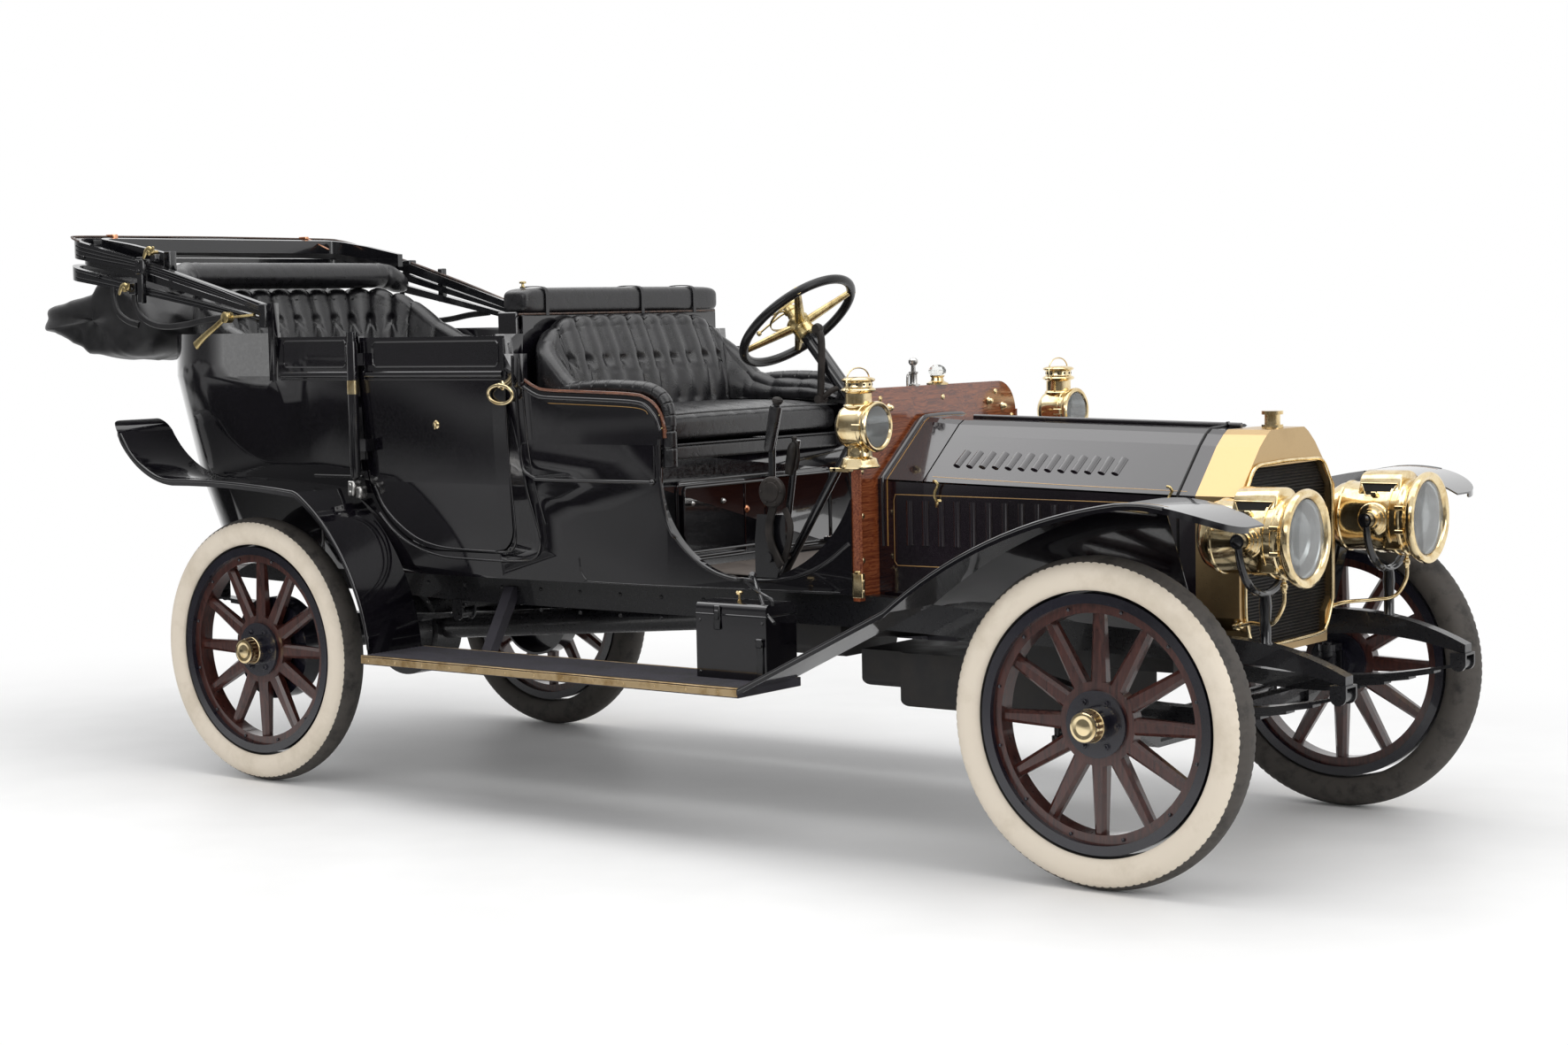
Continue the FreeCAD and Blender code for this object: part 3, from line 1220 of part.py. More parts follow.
def front_wing():
    """Right wing: a long sweep from the running board over the wheel to a round-cornered tip."""
    foot, middle, crest = WING_RISE
    path = [
        (BOARD_FRONT_X, BOARD_TOP_Z), ("line", foot), ("arc", middle, crest),
        ("arc", (crest[0] + 160.0, crest[1] - 10.0), (WING_TIP_X, 966.0)),
    ]
    outer = -FRONT_WING_OUTER_Y
    sheet = strip_xz(path, outer, -FRONT_WING_INNER_Y, WING_THICKNESS)
    sheet = sheet.fuse(strip_xz(path, outer, outer + WING_LIP_WIDTH, WING_LIP_DEPTH))
    r = WING_TIP_CORNER
    centre = V(WING_TIP_X - r, outer + r, 800)
    round_off = box(centre.x, WING_TIP_X + 10, outer - 1, centre.y, 850, 1100)
    sheet = sheet.cut(round_off.cut(Part.makeCylinder(r, 400, centre)))
    lip = Part.makeCylinder(r, 400, centre).cut(Part.makeCylinder(r - WING_LIP_WIDTH, 400, centre))
    edge = strip_xz(path, outer, -FRONT_WING_INNER_Y, WING_LIP_DEPTH).common(lip).common(round_off)
    stay = swept([
        V(90, -RAIL_Y - 20, 640), V(90, -560, 980), V(90, -820, 1012),
    ], 8)
    stay = stay.common(box(0, 200, -900, 900, 600, 1015))
    return fuse_all([sheet, edge, apron(), stay]).cut(NODES["chassis_frame"])


def rear_wing():
    """Right wing over the rear wheel, with an upswept tail."""
    path = [
        (BOARD_REAR_X, BOARD_TOP_Z),
        ("arc", (-2740.0, 760.0), (-2960.0, 975.0)),
        ("arc", (-3260.0, 997.0), (-3560.0, 1000.0)),
        ("arc", (-3715.0, 1046.0), (-3835.0, 1158.0)),
        ("arc", (-3868.0, 1184.0), (REAR_WING_TIP_X, 1198.0)),
    ]
    outer = -REAR_WING_OUTER_Y
    sheet = strip_xz(path, outer, -REAR_WING_INNER_Y, WING_THICKNESS)
    sheet = sheet.fuse(strip_xz(path, outer, outer + WING_LIP_WIDTH, WING_LIP_DEPTH))
    r = REAR_WING_CORNER
    centre = V(REAR_WING_TIP_X + r, outer + r, 1000)
    round_off = box(REAR_WING_TIP_X - 10, centre.x, outer - 1, centre.y, 1050, 1300)
    sheet = sheet.cut(round_off.cut(Part.makeCylinder(r, 400, centre)))
    return sheet.cut(tub_solid(0, TUB_SECTIONS[0][0], TUB_SECTIONS[-1][0], TUB_X[0]))


def running_board(side):
    """Boarded step on two forged brackets from the side rail."""
    inner = side * BOARD_INNER_Y
    outer = side * BOARD_OUTER_Y
    low = BOARD_TOP_Z - BOARD_THICKNESS
    pieces = [box(BOARD_REAR_X + 12, BOARD_FRONT_X - 2, inner, outer, low, BOARD_TOP_Z)]
    rail = side * (RAIL_Y + RAIL_WIDTH / 2)
    for x in (-1420.0, -2380.0):
        bracket = plate_yz([
            (rail, 660), (rail + side * 14, 660), (inner + side * 20, low - 24),
            (outer - side * 60, low - 8), (outer - side * 60, low), (inner, low),
            (inner - side * 30, low - 2), (rail, 615),
        ], x - 20, x + 20)
        pieces.append(bracket)
    return fuse_all(pieces)


def toolbox():
    """Box on the right running board, with rounded upper edges."""
    body = box(
        TOOLBOX_REAR_X, TOOLBOX_FRONT_X, -TOOLBOX_INNER_Y, -TOOLBOX_OUTER_Y, BOARD_TOP_Z, TOOLBOX_TOP_Z)
    length = TOOLBOX_FRONT_X - TOOLBOX_REAR_X
    long_edges = [
        e for e in body.Edges if e.Length > length - 1 and abs(e.CenterOfMass.z - TOOLBOX_TOP_Z) < 1
    ]
    return body.makeFillet(20, long_edges)


node("front_wings", both_sides(front_wing()))
node("rear_wings", both_sides(rear_wing()))
node("running_boards", Part.makeCompound([running_board(-1), running_board(1)]))
node("toolbox", toolbox())


# ---- lamps --------------------------------------------------------------
def lathe(profile, centre, axis):
    """A solid of revolution from (distance along the axis, radius) corners."""
    if axis == X_AXIS:
        points = [centre.add(V(a, 0, r)) for a, r in profile]
    else:
        points = [centre.add(V(r, 0, a)) for a, r in profile]
    return Part.Face(polygon(points)).revolve(centre, axis, 360)


def headlamp(side):
    """Drum lamp with a stepped body, wide lens rim and a rounded hood over its chimney."""
    centre = V(HEADLAMP_FRONT_X, side * HEADLAMP_Y, HEADLAMP_Z)
    r = HEADLAMP_RADIUS
    body = lathe([
        (-12, 0), (-12, r - 14), (0, r - 14), (0, r), (-22, r), (-34, r - 14), (-120, r - 22),
        (-128, r - 40), (-230, r - 44), (-290, r - 72), (-298, 0),
    ], centre, X_AXIS)
    rear = centre.x - HEADLAMP_HOOD_REAR
    roof = Part.makeCylinder(
        HEADLAMP_HOOD_RADIUS, HEADLAMP_HOOD_LENGTH,
        V(rear, centre.y, centre.z + HEADLAMP_HOOD_RISE - HEADLAMP_HOOD_RADIUS), X_AXIS)
    half = HEADLAMP_HOOD_HALF_WIDTH
    hood = roof.common(box(
        rear - 1, centre.x, centre.y - half, centre.y + half, centre.z + r / 2, centre.z + 2 * r))
    boss = drum(centre.x - 130, centre.y - r - 6, centre.y + r + 6, centre.z, 24)
    return fuse_all([body, hood, boss])


def headlamp_lens(side):
    centre = V(HEADLAMP_FRONT_X - 11.5, side * HEADLAMP_Y, HEADLAMP_Z)
    return Part.makeCylinder(HEADLAMP_RADIUS - 15, 5, centre, X_AXIS)


def headlamp_fork(side):
    """Forged fork from the dumb iron up to the lamp's side bosses."""
    x = HEADLAMP_FRONT_X - 130
    y = side * HEADLAMP_Y
    z = HEADLAMP_Z
    reach = HEADLAMP_RADIUS + 18
    lower = box(x - 30, x + 30, y - reach - 30, y + reach + 30, z - reach - 30, z)
    hoop = Part.makeTorus(reach, 9, V(x, y, z), X_AXIS).common(lower)
    post = rod(V(x, y, z - reach), V(x, y, HEADLAMP_POST_FOOT_Z), 14)
    bosses = [drum(x, y + way * (reach - 12), y + way * (reach + 9), z, 20) for way in (-1, 1)]
    fork = fuse_all([hoop, post] + bosses)
    return fork.cut(NODES["chassis_frame"])


def sidelamp(side):
    """Oil lamp: drum body, lens ring, chimney with cap, spreading foot and a bail handle."""
    centre = V(SIDELAMP_X, side * SIDELAMP_Y, SIDELAMP_Z)
    r = SIDELAMP_RADIUS
    body = lathe([
        (-8, 0), (-8, r - 8), (0, r - 8), (0, r), (-14, r), (-20, r - 8), (-118, r - 8), (-126, 0),
    ], centre, X_AXIS)
    middle = V(centre.x - 70, centre.y, centre.z)
    stack = lathe([
        (-118, 0), (-118, 50), (-104, 50), (-92, 34), (-60, 30), (60, 30), (76, 44), (112, 44),
        (112, 52), (128, 52), (136, 30), (136, 0),
    ], middle, Z_AXIS)
    bail = Part.makeTorus(44, 3, V(middle.x, middle.y, middle.z + 118), X_AXIS)
    upper = box(middle.x - 20, middle.x + 20, middle.y - 60, middle.y + 60, middle.z + 118, middle.z + 180)
    arm = box(SIDELAMP_X - 90, DASH_FRONT_X, side * (SIDELAMP_Y - 12), side * (SIDELAMP_Y + 12),
              centre.z - 132, centre.z - 118)
    arm_in = box(DASH_FRONT_X, DASH_FRONT_X + 14, side * (DASH_HALF_WIDTH - 40), side * (SIDELAMP_Y + 12),
                 centre.z - 132, centre.z - 118)
    return fuse_all([body, stack, bail.common(upper), arm, arm_in])


def sidelamp_lens(side):
    centre = V(SIDELAMP_X - 7.5, side * SIDELAMP_Y, SIDELAMP_Z)
    return Part.makeCylinder(SIDELAMP_RADIUS - 9, 4, centre, X_AXIS)


node("headlamps", Part.makeCompound([headlamp(-1), headlamp(1)]))
node("headlamp_forks", Part.makeCompound([headlamp_fork(-1), headlamp_fork(1)]))
node("sidelamps", Part.makeCompound([sidelamp(-1), sidelamp(1)]))
node("lamp_lenses", Part.makeCompound(
    [headlamp_lens(-1), headlamp_lens(1), sidelamp_lens(-1), sidelamp_lens(1)]))


# ---- controls -----------------------------------------------------------
def steering_column():
    """Fixed column tube down through the dash to the steering box on the right rail."""
    way = column_way()
    tube = column_tube(COLUMN_RADIUS)
    bore_start = STEER_CENTRE.add(way * 50)
    tube = tube.cut(rod(bore_start, bore_start.add(way * 120), STEER_SHAFT_RADIUS + KINGPIN_FIT))
    foot = STEER_CENTRE.add(way * ((STEER_CENTRE.z - COLUMN_FOOT_Z) / -way.z))
    beside_rail = RAIL_WIDTH / 2 - RAIL_Y
    case = box(
        foot.x - 60, foot.x + 70, beside_rail, foot.y + 30, COLUMN_FOOT_Z - 60, COLUMN_FOOT_Z + 20)
    return fuse_all([tube, case])


def steering_wheel():
    """Rim, four spokes and hub in the plane square to the column."""
    rim = Part.makeTorus(WHEEL_RIM_RADIUS, WHEEL_RIM_TUBE, V(0, 0, 0), Z_AXIS)
    pieces = [rim]
    for quarter in range(4):
        angle = math.radians(45 + 90 * quarter)
        out = V(math.cos(angle), math.sin(angle), 0)
        pieces.append(rod(V(0, 0, -14).add(out * 20), out * (WHEEL_RIM_RADIUS - 4), 8))
    pieces.append(Part.makeCylinder(30, 64, V(0, 0, -56)))
    pieces.append(Part.makeCylinder(13, 60, V(0, 0, 0)))
    pieces.append(Part.makeCylinder(STEER_SHAFT_RADIUS, 100, V(0, 0, -150)))
    wheel = fuse_all(pieces)
    up = column_way() * -1
    turn = FreeCAD.Rotation(Z_AXIS, up)
    wheel.Placement = FreeCAD.Placement(STEER_CENTRE, turn)
    return wheel


def hand_levers():
    """Brake and gear levers with their gate, on the driver's outer side, and three pedals."""
    y = -LEVER_Y
    gate = plate_xz([(-1330, 742), (-1250, 742), (-1215, 850), (-1215, 930), (-1320, 930), (-1330, 850)],
                    y, y - 10)
    brake = swept([V(-1270, y - 5, 800), V(-1262, y - 5, 1130), V(-1236, y - 5, 1240)], 11)
    gear = swept([V(-1250, y + 24, 800), V(-1210, y + 24, 1040), V(-1190, y + 24, 1150)], 10)
    shaft = drum(-1262, y - 40, y + 60, 805, 16)
    pedals = []
    for pedal_y in (-330.0, -240.0, -150.0):
        pedals.append(swept([V(-1060, pedal_y, 742), V(-1110, pedal_y, 850)], 9))
        pad = box(-1150, -1090, pedal_y - 34, pedal_y + 34, 850, 860)
        pedals.append(pad)
    controls = [fuse_all([gate, brake, gear, shaft])]
    controls += [fuse_all([pedals[i], pedals[i + 1]]) for i in (0, 2, 4)]
    return Part.makeCompound([piece.cut(NODES["body_tub"]) for piece in controls])


def dash_brace():
    """Straight stay from the dash down to the floor on the right, and its match on the left."""
    stay = rod(V(DASH_REAR_X + 8, 390, 1190), V(-1296, 380, FLOOR_TOP_Z - 8), 13)
    return both_sides(stay.cut(NODES["dashboard"]).cut(NODES["body_tub"]))


node("steering_column", steering_column())
node("steering_wheel", steering_wheel())
node("hand_levers", hand_levers())
node("dash_braces", dash_brace())


# ---- folded top ---------------------------------------------------------
def bow(row):
    """One bent-wood bow: its outline from above with round corners, cut to its side view."""
    half_front, half_rear, corner, thick, stations = row
    front_x = stations[0][0]
    rear_x = stations[-1][0]

    def outline(inset):
        r = corner - inset
        side = half_rear - inset
        rear = rear_x + inset
        k = r * (1 - math.sqrt(0.5))
        right = [
            V(front_x, half_front - inset, 0), V(rear + r, side, 0),
            V(rear + k, side - k, 0), V(rear, side - r, 0),
        ]
        return right, [V(p.x, -p.y, 0) for p in right]

    a, b = outline(0)
    c, d = outline(thick)
    edges = [
        Part.LineSegment(a[0], a[1]).toShape(), Part.Arc(a[1], a[2], a[3]).toShape(),
        Part.LineSegment(a[3], b[3]).toShape(), Part.Arc(b[3], b[2], b[1]).toShape(),
        Part.LineSegment(b[1], b[0]).toShape(), Part.LineSegment(b[0], d[0]).toShape(),
        Part.LineSegment(d[0], d[1]).toShape(), Part.Arc(d[1], d[2], d[3]).toShape(),
        Part.LineSegment(d[3], c[3]).toShape(), Part.Arc(c[3], c[2], c[1]).toShape(),
        Part.LineSegment(c[1], c[0]).toShape(), Part.LineSegment(c[0], a[0]).toShape(),
    ]
    plan = Part.Face(Part.Wire(edges)).extrude(V(0, 0, 2500))
    lows = [(x, low) for x, low, high in stations]
    highs = [(x, high) for x, low, high in reversed(stations)]
    return plan.common(plate_xz(lows + highs, -800, 800))


def clasp(side):
    """Block that clamps the inner bow to the upper one."""
    outer_y = side * (TOP_BOWS[0][1] - TOP_BOWS[0][3] / 2)
    inner_y = side * (INNER_BOW[1] - INNER_BOW[3] / 2)
    return box(CLASP_X, CLASP_X + CLASP_LENGTH, outer_y, inner_y, 1790, 1812)


def top_bag():
    """The folded hood cloth, hung behind the body under the lowest bow's rear bar."""
    half = BAG_HALF_WIDTH
    part_way, behind_all = TOP_BOWS[-1][4][1:]
    rear_x, low_z, high_z = behind_all
    slope = (part_way[1] - low_z) / (part_way[0] - rear_x)
    under = low_z - REST_GAP
    neck = 70.0
    side_view = plate_xz([
        (-4035, 1425), (-4120, 1398), (-4290, 1406), (-4450, 1444), (-4610, 1494), (-4652, 1530),
        (-4640, 1580), (-4480, 1616), (rear_x - 30, 1640), (rear_x - 1, under),
        (rear_x + neck, under + slope * neck), (-4090, 1640),
    ], -half, half)
    right_half = [(-4000, -half), (-4400, -half), (-4590, 80 - half), (-4660, 220 - half)]
    plan = plate_xy(right_half + [(x, -y) for x, y in reversed(right_half)], 1300, 1900)
    return side_view.common(plan)


upper = fuse_all([bow(TOP_BOWS[0]), bow(INNER_BOW), clasp(1), clasp(-1)])
bows = [upper] + [bow(row) for row in TOP_BOWS[1:]]
node("top_bows", Part.makeCompound([piece.cut(NODES["body_tub"]) for piece in bows]))
node("top_cloth", top_bag())


# ---- place and write ----------------------------------------------------
low_x = min(shape.BoundBox.XMin for shape in NODES.values())
high_x = max(shape.BoundBox.XMax for shape in NODES.values())
SHIFT = V(-(low_x + high_x) / 2, 0, 0)
os.makedirs("parts", exist_ok=True)
for name, shape in NODES.items():
    placed = shape.copy()
    placed.translate(SHIFT)
    placed.exportStep("parts/" + name + ".step")
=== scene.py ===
import math

import bmesh
import bpy
import numpy as np
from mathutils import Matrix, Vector
from mathutils.bvhtree import BVHTree


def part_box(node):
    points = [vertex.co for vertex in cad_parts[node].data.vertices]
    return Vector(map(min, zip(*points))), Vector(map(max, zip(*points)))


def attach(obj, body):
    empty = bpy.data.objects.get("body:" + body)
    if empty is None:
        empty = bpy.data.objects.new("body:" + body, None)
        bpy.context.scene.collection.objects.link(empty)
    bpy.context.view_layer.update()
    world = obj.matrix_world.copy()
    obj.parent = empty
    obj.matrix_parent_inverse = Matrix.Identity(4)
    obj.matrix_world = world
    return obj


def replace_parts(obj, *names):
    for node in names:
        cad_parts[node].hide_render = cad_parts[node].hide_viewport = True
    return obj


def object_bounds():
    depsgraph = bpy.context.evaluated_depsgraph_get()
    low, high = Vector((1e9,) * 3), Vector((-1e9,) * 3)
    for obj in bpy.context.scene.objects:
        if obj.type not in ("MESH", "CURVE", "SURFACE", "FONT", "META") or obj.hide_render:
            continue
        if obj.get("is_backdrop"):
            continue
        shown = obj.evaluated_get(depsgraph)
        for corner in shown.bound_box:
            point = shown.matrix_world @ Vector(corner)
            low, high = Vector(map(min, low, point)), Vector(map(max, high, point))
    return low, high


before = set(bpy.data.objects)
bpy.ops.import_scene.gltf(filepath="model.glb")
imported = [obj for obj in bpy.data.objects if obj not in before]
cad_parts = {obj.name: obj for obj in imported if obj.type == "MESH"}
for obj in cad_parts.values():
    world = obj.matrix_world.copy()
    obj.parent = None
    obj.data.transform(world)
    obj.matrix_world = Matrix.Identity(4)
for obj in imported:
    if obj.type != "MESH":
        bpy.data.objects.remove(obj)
CAD_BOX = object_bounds()

# ---- places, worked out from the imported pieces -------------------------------


def middle(node, axis):
    low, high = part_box(node)
    return (low[axis] + high[axis]) / 2


FRONT_AXLE_X = middle("hub_front_right", 0)
REAR_AXLE_X = middle("hub_rear_right", 0)
HUB_Z = middle("hub_front_right", 2)
WHEEL_Y = middle("tyre_front_left", 1)
WHEELS = (
    # place, axle x, side
    ("front_right", FRONT_AXLE_X, -1),
    ("front_left", FRONT_AXLE_X, 1),
    ("rear_right", REAR_AXLE_X, -1),
    ("rear_left", REAR_AXLE_X, 1),
)


def at(points):
    """Places in mm from the front axle, as metres in the shared frame."""
    points = np.asarray(points, float) / 1000
    return points + (FRONT_AXLE_X, 0, 0)


# ---- materials ---------------------------------------------------------------


def linear(code):
    """An sRGB hex colour as linear red, green, blue and a full alpha."""
    parts = [int(code[i:i + 2], 16) / 255 for i in (1, 3, 5)]
    return tuple(c / 12.92 if c <= 0.04045 else ((c + 0.055) / 1.055) ** 2.4 for c in parts) + (1.0,)


def per(mm):
    """Texture scale that makes one feature this many millimetres long."""
    return 1000 / mm


def add(tree, kind, values=None, links=None, ramp=None, **settings):
    """Adds a node. Settings are its own choices, values fill its sockets, links feed them from
    a node's first output or from (node, output), and ramp gives a colour ramp's stops."""
    node = tree.nodes.new("ShaderNode" + kind)
    for name, value in settings.items():
        setattr(node, name, value)
    for name, value in (values or {}).items():
        node.inputs[name].default_value = value
    for name, source in (links or {}).items():
        output = source[0].outputs[source[1]] if isinstance(source, tuple) else source.outputs[0]
        tree.links.new(output, node.inputs[name])
    for i, (place, colour) in enumerate(ramp or ()):
        elements = node.color_ramp.elements
        element = elements[i] if i < 2 else elements.new(place)
        element.position = place
        element.color = linear(colour) if isinstance(colour, str) else (colour, colour, colour, 1)
    return node


def finish_of(name, **values):
    """A new material: its shader with these sockets set, its tree and its Object coordinates."""
    material = bpy.data.materials.new(name)
    material.use_nodes = True
    tree = material.node_tree
    shader = tree.nodes["Principled BSDF"]
    for socket, value in values.items():
        shader.inputs[socket.replace("_", " ")].default_value = value
    place = add(tree, "TexCoord")
    return material, tree, shader, (place, "Object")


def tint(tree, shader, factor, low, high, start=0.35, end=0.65):
    """The base colour runs from low to high as factor goes from start to end."""
    colour = add(tree, "ValToRGB", links={0: factor}, ramp=((start, low), (end, high)))
    tree.links.new(colour.outputs[0], shader.inputs["Base Color"])
    return colour


def dull(tree, shader, factor, low, high, start=0.3, end=0.7):
    """The roughness runs from low to high as factor goes from start to end."""
    level = add(tree, "MapRange", {1: start, 2: end, 3: low, 4: high}, {0: factor})
    tree.links.new(level.outputs[0], shader.inputs["Roughness"])


def relief(tree, shader, height, depth, strength=1.0):
    """Bumps of this depth in metres where height runs from 0 to 1."""
    bump = add(tree, "Bump", {"Strength": strength, "Distance": depth}, {"Height": height})
    tree.links.new(bump.outputs[0], shader.inputs["Normal"])
    return bump


def enamel(name, low, high, rough, coat=1.0):
    """Coach enamel, brushed, flatted and varnished: deep colour under a clear coat, a slight
    long wave in the gloss, and a trace of dust that dulls it in patches."""
    material, tree, shader, place = finish_of(
        name, Coat_Weight=coat, Coat_Roughness=0.035, Coat_IOR=1.5, IOR=1.5)
    patches = add(tree, "TexNoise", {"Scale": per(260), "Detail": 3.0}, {0: place})
    dust = add(tree, "TexNoise", {"Scale": per(9), "Detail": 4.0, "Roughness": 0.65}, {0: place})
    wave = add(tree, "TexNoise", {"Scale": per(55), "Detail": 1.0}, {0: place})
    tint(tree, shader, patches, low, high)
    dull(tree, shader, dust, rough, rough + 0.12)
    relief(tree, shader, wave, 0.0004, 0.25)
    return material


def cast(name, low, high, rough, grain, depth, metallic=0.0):
    """Sand-cast or oily metal: grainy surface with darker patches of old oil."""
    material, tree, shader, place = finish_of(name, Metallic=metallic)
    oil = add(tree, "TexNoise", {"Scale": per(70), "Detail": 5.0}, {0: place})
    pits = add(tree, "TexNoise", {"Scale": per(grain), "Detail": 3.0}, {0: place})
    tint(tree, shader, oil, low, high)
    dull(tree, shader, oil, rough, rough + 0.25)
    relief(tree, shader, pits, depth, 0.6)
    return material


def polished(name, low, high, rough=0.09, patch=45):
    """Hand-polished metal: mirror-like, with the soft waves of beaten sheet, fine rub marks
    and a little tarnish where the cloth doesn't reach."""
    material, tree, shader, place = finish_of(name, Metallic=1.0)
    tarnish = add(tree, "TexNoise", {"Scale": per(patch), "Detail": 5.0, "Roughness": 0.6}, {0: place})
    rub = add(tree, "TexNoise", {"Scale": per(2.5), "Detail": 2.0}, {0: place})
    beat = add(tree, "TexNoise", {"Scale": per(38), "Detail": 1.0}, {0: place})
    tint(tree, shader, tarnish, low, high, 0.3, 0.55)
    dull(tree, shader, rub, rough, rough + 0.1)
    relief(tree, shader, beat, 0.0005, 0.35)
    return material


def hide(name, low, high, rough, grain=2.6, crease=34.0):
    """Upholstery hide: pebbled grain (real pebbles are 1 mm, drawn coarser so that they show),
    soft creases, and wear that shines on the ridges."""
    material, tree, shader, place = finish_of(name, IOR=1.5, Coat_Weight=0.25, Coat_Roughness=0.25)
    pebbles = add(tree, "TexVoronoi", {"Scale": per(grain)}, {0: place})
    folds = add(tree, "TexNoise", {"Scale": per(crease), "Detail": 4.0, "Distortion": 0.6}, {0: place})
    tint(tree, shader, folds, low, high)
    dull(tree, shader, folds, rough, rough + 0.16)
    fine = relief(tree, shader, (pebbles, "Distance"), 0.0006, 0.5)
    broad = add(tree, "Bump", {"Strength": 0.35, "Distance": 0.004}, {"Height": folds})
    tree.links.new(broad.outputs[0], fine.inputs["Normal"])
    return material


def timber(name, low, high, rough, ring, coat, lie=(1.0, 1.0, 0.08)):
    """Varnished or painted wood: long grain streaks, stretched along the board, with pores.
    Ring is the streaks' spacing in mm; lie is the stretch along each axis."""
    material, tree, shader, place = finish_of(name, Coat_Weight=coat, Coat_Roughness=0.08)
    along = add(tree, "Mapping", {"Scale": lie}, {0: place})
    wander = add(tree, "TexNoise", {"Scale": per(160), "Detail": 2.0}, {0: place})
    bent = add(tree, "VectorMath", {3: 0.05}, {0: wander}, operation="SCALE")
    lines = add(tree, "VectorMath", links={0: along, 1: bent}, operation="ADD")
    grain = add(tree, "TexNoise", {"Scale": per(ring), "Detail": 5.0, "Roughness": 0.6}, {0: lines})
    tint(tree, shader, grain, low, high, 0.38, 0.64)
    dull(tree, shader, grain, rough, rough + 0.1)
    relief(tree, shader, grain, 0.0003, 0.3)
    return material


def rubber(name, low, high, rough, smudge=90.0):
    """Vulcanised rubber: matt, with smudges from handling and road dust."""
    material, tree, shader, place = finish_of(name, IOR=1.5, Specular_IOR_Level=0.35)
    marks = add(tree, "TexNoise", {"Scale": per(smudge), "Detail": 6.0, "Roughness": 0.7}, {0: place})
    skin = add(tree, "TexNoise", {"Scale": per(3), "Detail": 3.0}, {0: place})
    tint(tree, shader, marks, low, high, 0.3, 0.52)
    dull(tree, shader, marks, rough, rough + 0.15)
    relief(tree, shader, skin, 0.0003, 0.5)
    return material


BODY_BLACK = enamel("black_coach_enamel", "#09080C", "#0E0C11", 0.05)
BONNET_BLACK = enamel("aubergine_black_enamel", "#110C11", "#191219", 0.07)
CHASSIS_BLACK = enamel("chassis_black_enamel", "#101013", "#1A1A1D", 0.24, coat=0.35)
STOVED_BLACK = enamel("stoved_black_enamel", "#0C0C0F", "#151518", 0.12, coat=0.7)
HUB_BLACK = enamel("blue_black_hub_enamel", "#121119", "#1B1A24", 0.16, coat=0.6)
BRASS = polished("polished_brass", "#C8A972", "#F0DCB0")
RADIATOR_BRASS = polished("sheet_brass", "#B0946A", "#C2A67A", 0.27, 260)
OLD_BRASS = polished("worn_brass", "#8A754C", "#CFBB88", 0.24)
BOARD_BRASS = polished("rubbed_brass_edging", "#A4865A", "#CDB48C", 0.3)
SILVER = polished("silvered_reflector", "#5C5F62", "#A2A5A8", 0.12)
NICKEL = polished("bright_steel", "#8C8A88", "#C9C8C6", 0.18)
COPPER = polished("copper", "#B5663F", "#E0A27C", 0.2)
IRON = cast("cast_iron_painted", "#1B1A1B", "#302D2B", 0.45, 4, 0.0006)
OILY_STEEL = cast("oily_forged_steel", "#1D1B1A", "#393431", 0.38, 3, 0.0003, 0.5)
CORE_BLACK = cast("radiator_japan_black", "#0B0A0A", "#171514", 0.4, 2, 0.0002)
# painted shade: a near-black finish for the sheets and discs that fill the headlamp slots and the sidelamp
# chimney holes, standing for the shade inside the lamps
OPENING_SHADE_BLACK = cast("painted_shade_in_lamp_openings", "#0C0B0A", "#191613", 0.7, 3, 0.0002)
LEATHER = hide("black_upholstery_hide", "#0F0F11", "#1A191C", 0.22)
HOOD_LEATHER = hide("black_roof_leathercloth", "#111113", "#201F21", 0.42, 1.8, 60.0)
WORN_EDGE = hide("worn_brown_leather_binding", "#2A1C17", "#5A463B", 0.5, 1.6, 12.0)
MAHOGANY = timber("varnished_mahogany", "#5E2A16", "#93512F", 0.16, 5, 0.8, (1.0, 0.05, 1.0))
WHEEL_WOOD = timber("maroon_painted_ash", "#2E1512", "#48241D", 0.26, 9, 0.6)
STRIP_WOOD = timber("brown_stained_strip", "#4A2A1C", "#7A4D36", 0.3, 3, 0.4, (0.06, 1.0, 1.0))
TREAD_RUBBER = rubber("black_tread_rubber", "#2B2927", "#4A4642", 0.62, 60.0)
WHITE_RUBBER = rubber("ivory_sidewall_rubber", "#C9BDAA", "#DBD0BF", 0.5, 260.0)
BOARD_RUBBER = rubber("ribbed_black_matting", "#242324", "#35333A", 0.5, 120.0)
BLACK_RUBBER = rubber("black_steering_rim", "#0D0D0E", "#161617", 0.2, 60.0)
LINOLEUM = rubber("grey_brown_linoleum", "#4E4844", "#6A625C", 0.45, 70.0)
GOLD_LINE = enamel("gold_coach_line", "#8E6A34", "#B58E50", 0.3, coat=0.8)


def clear_glass():
    """Lamp glass: clear, thin, with a faint ripple from the rolled sheet."""
    material, tree, shader, place = finish_of(
        "bevelled_lamp_glass", Transmission_Weight=0.92, Roughness=0.02, IOR=1.45)
    shader.inputs["Base Color"].default_value = linear("#F4F6F4")
    ripple = add(tree, "TexNoise", {"Scale": per(30), "Detail": 1.0}, {0: place})
    relief(tree, shader, ripple, 0.0004, 0.2)
    return material


GLASS = clear_glass()

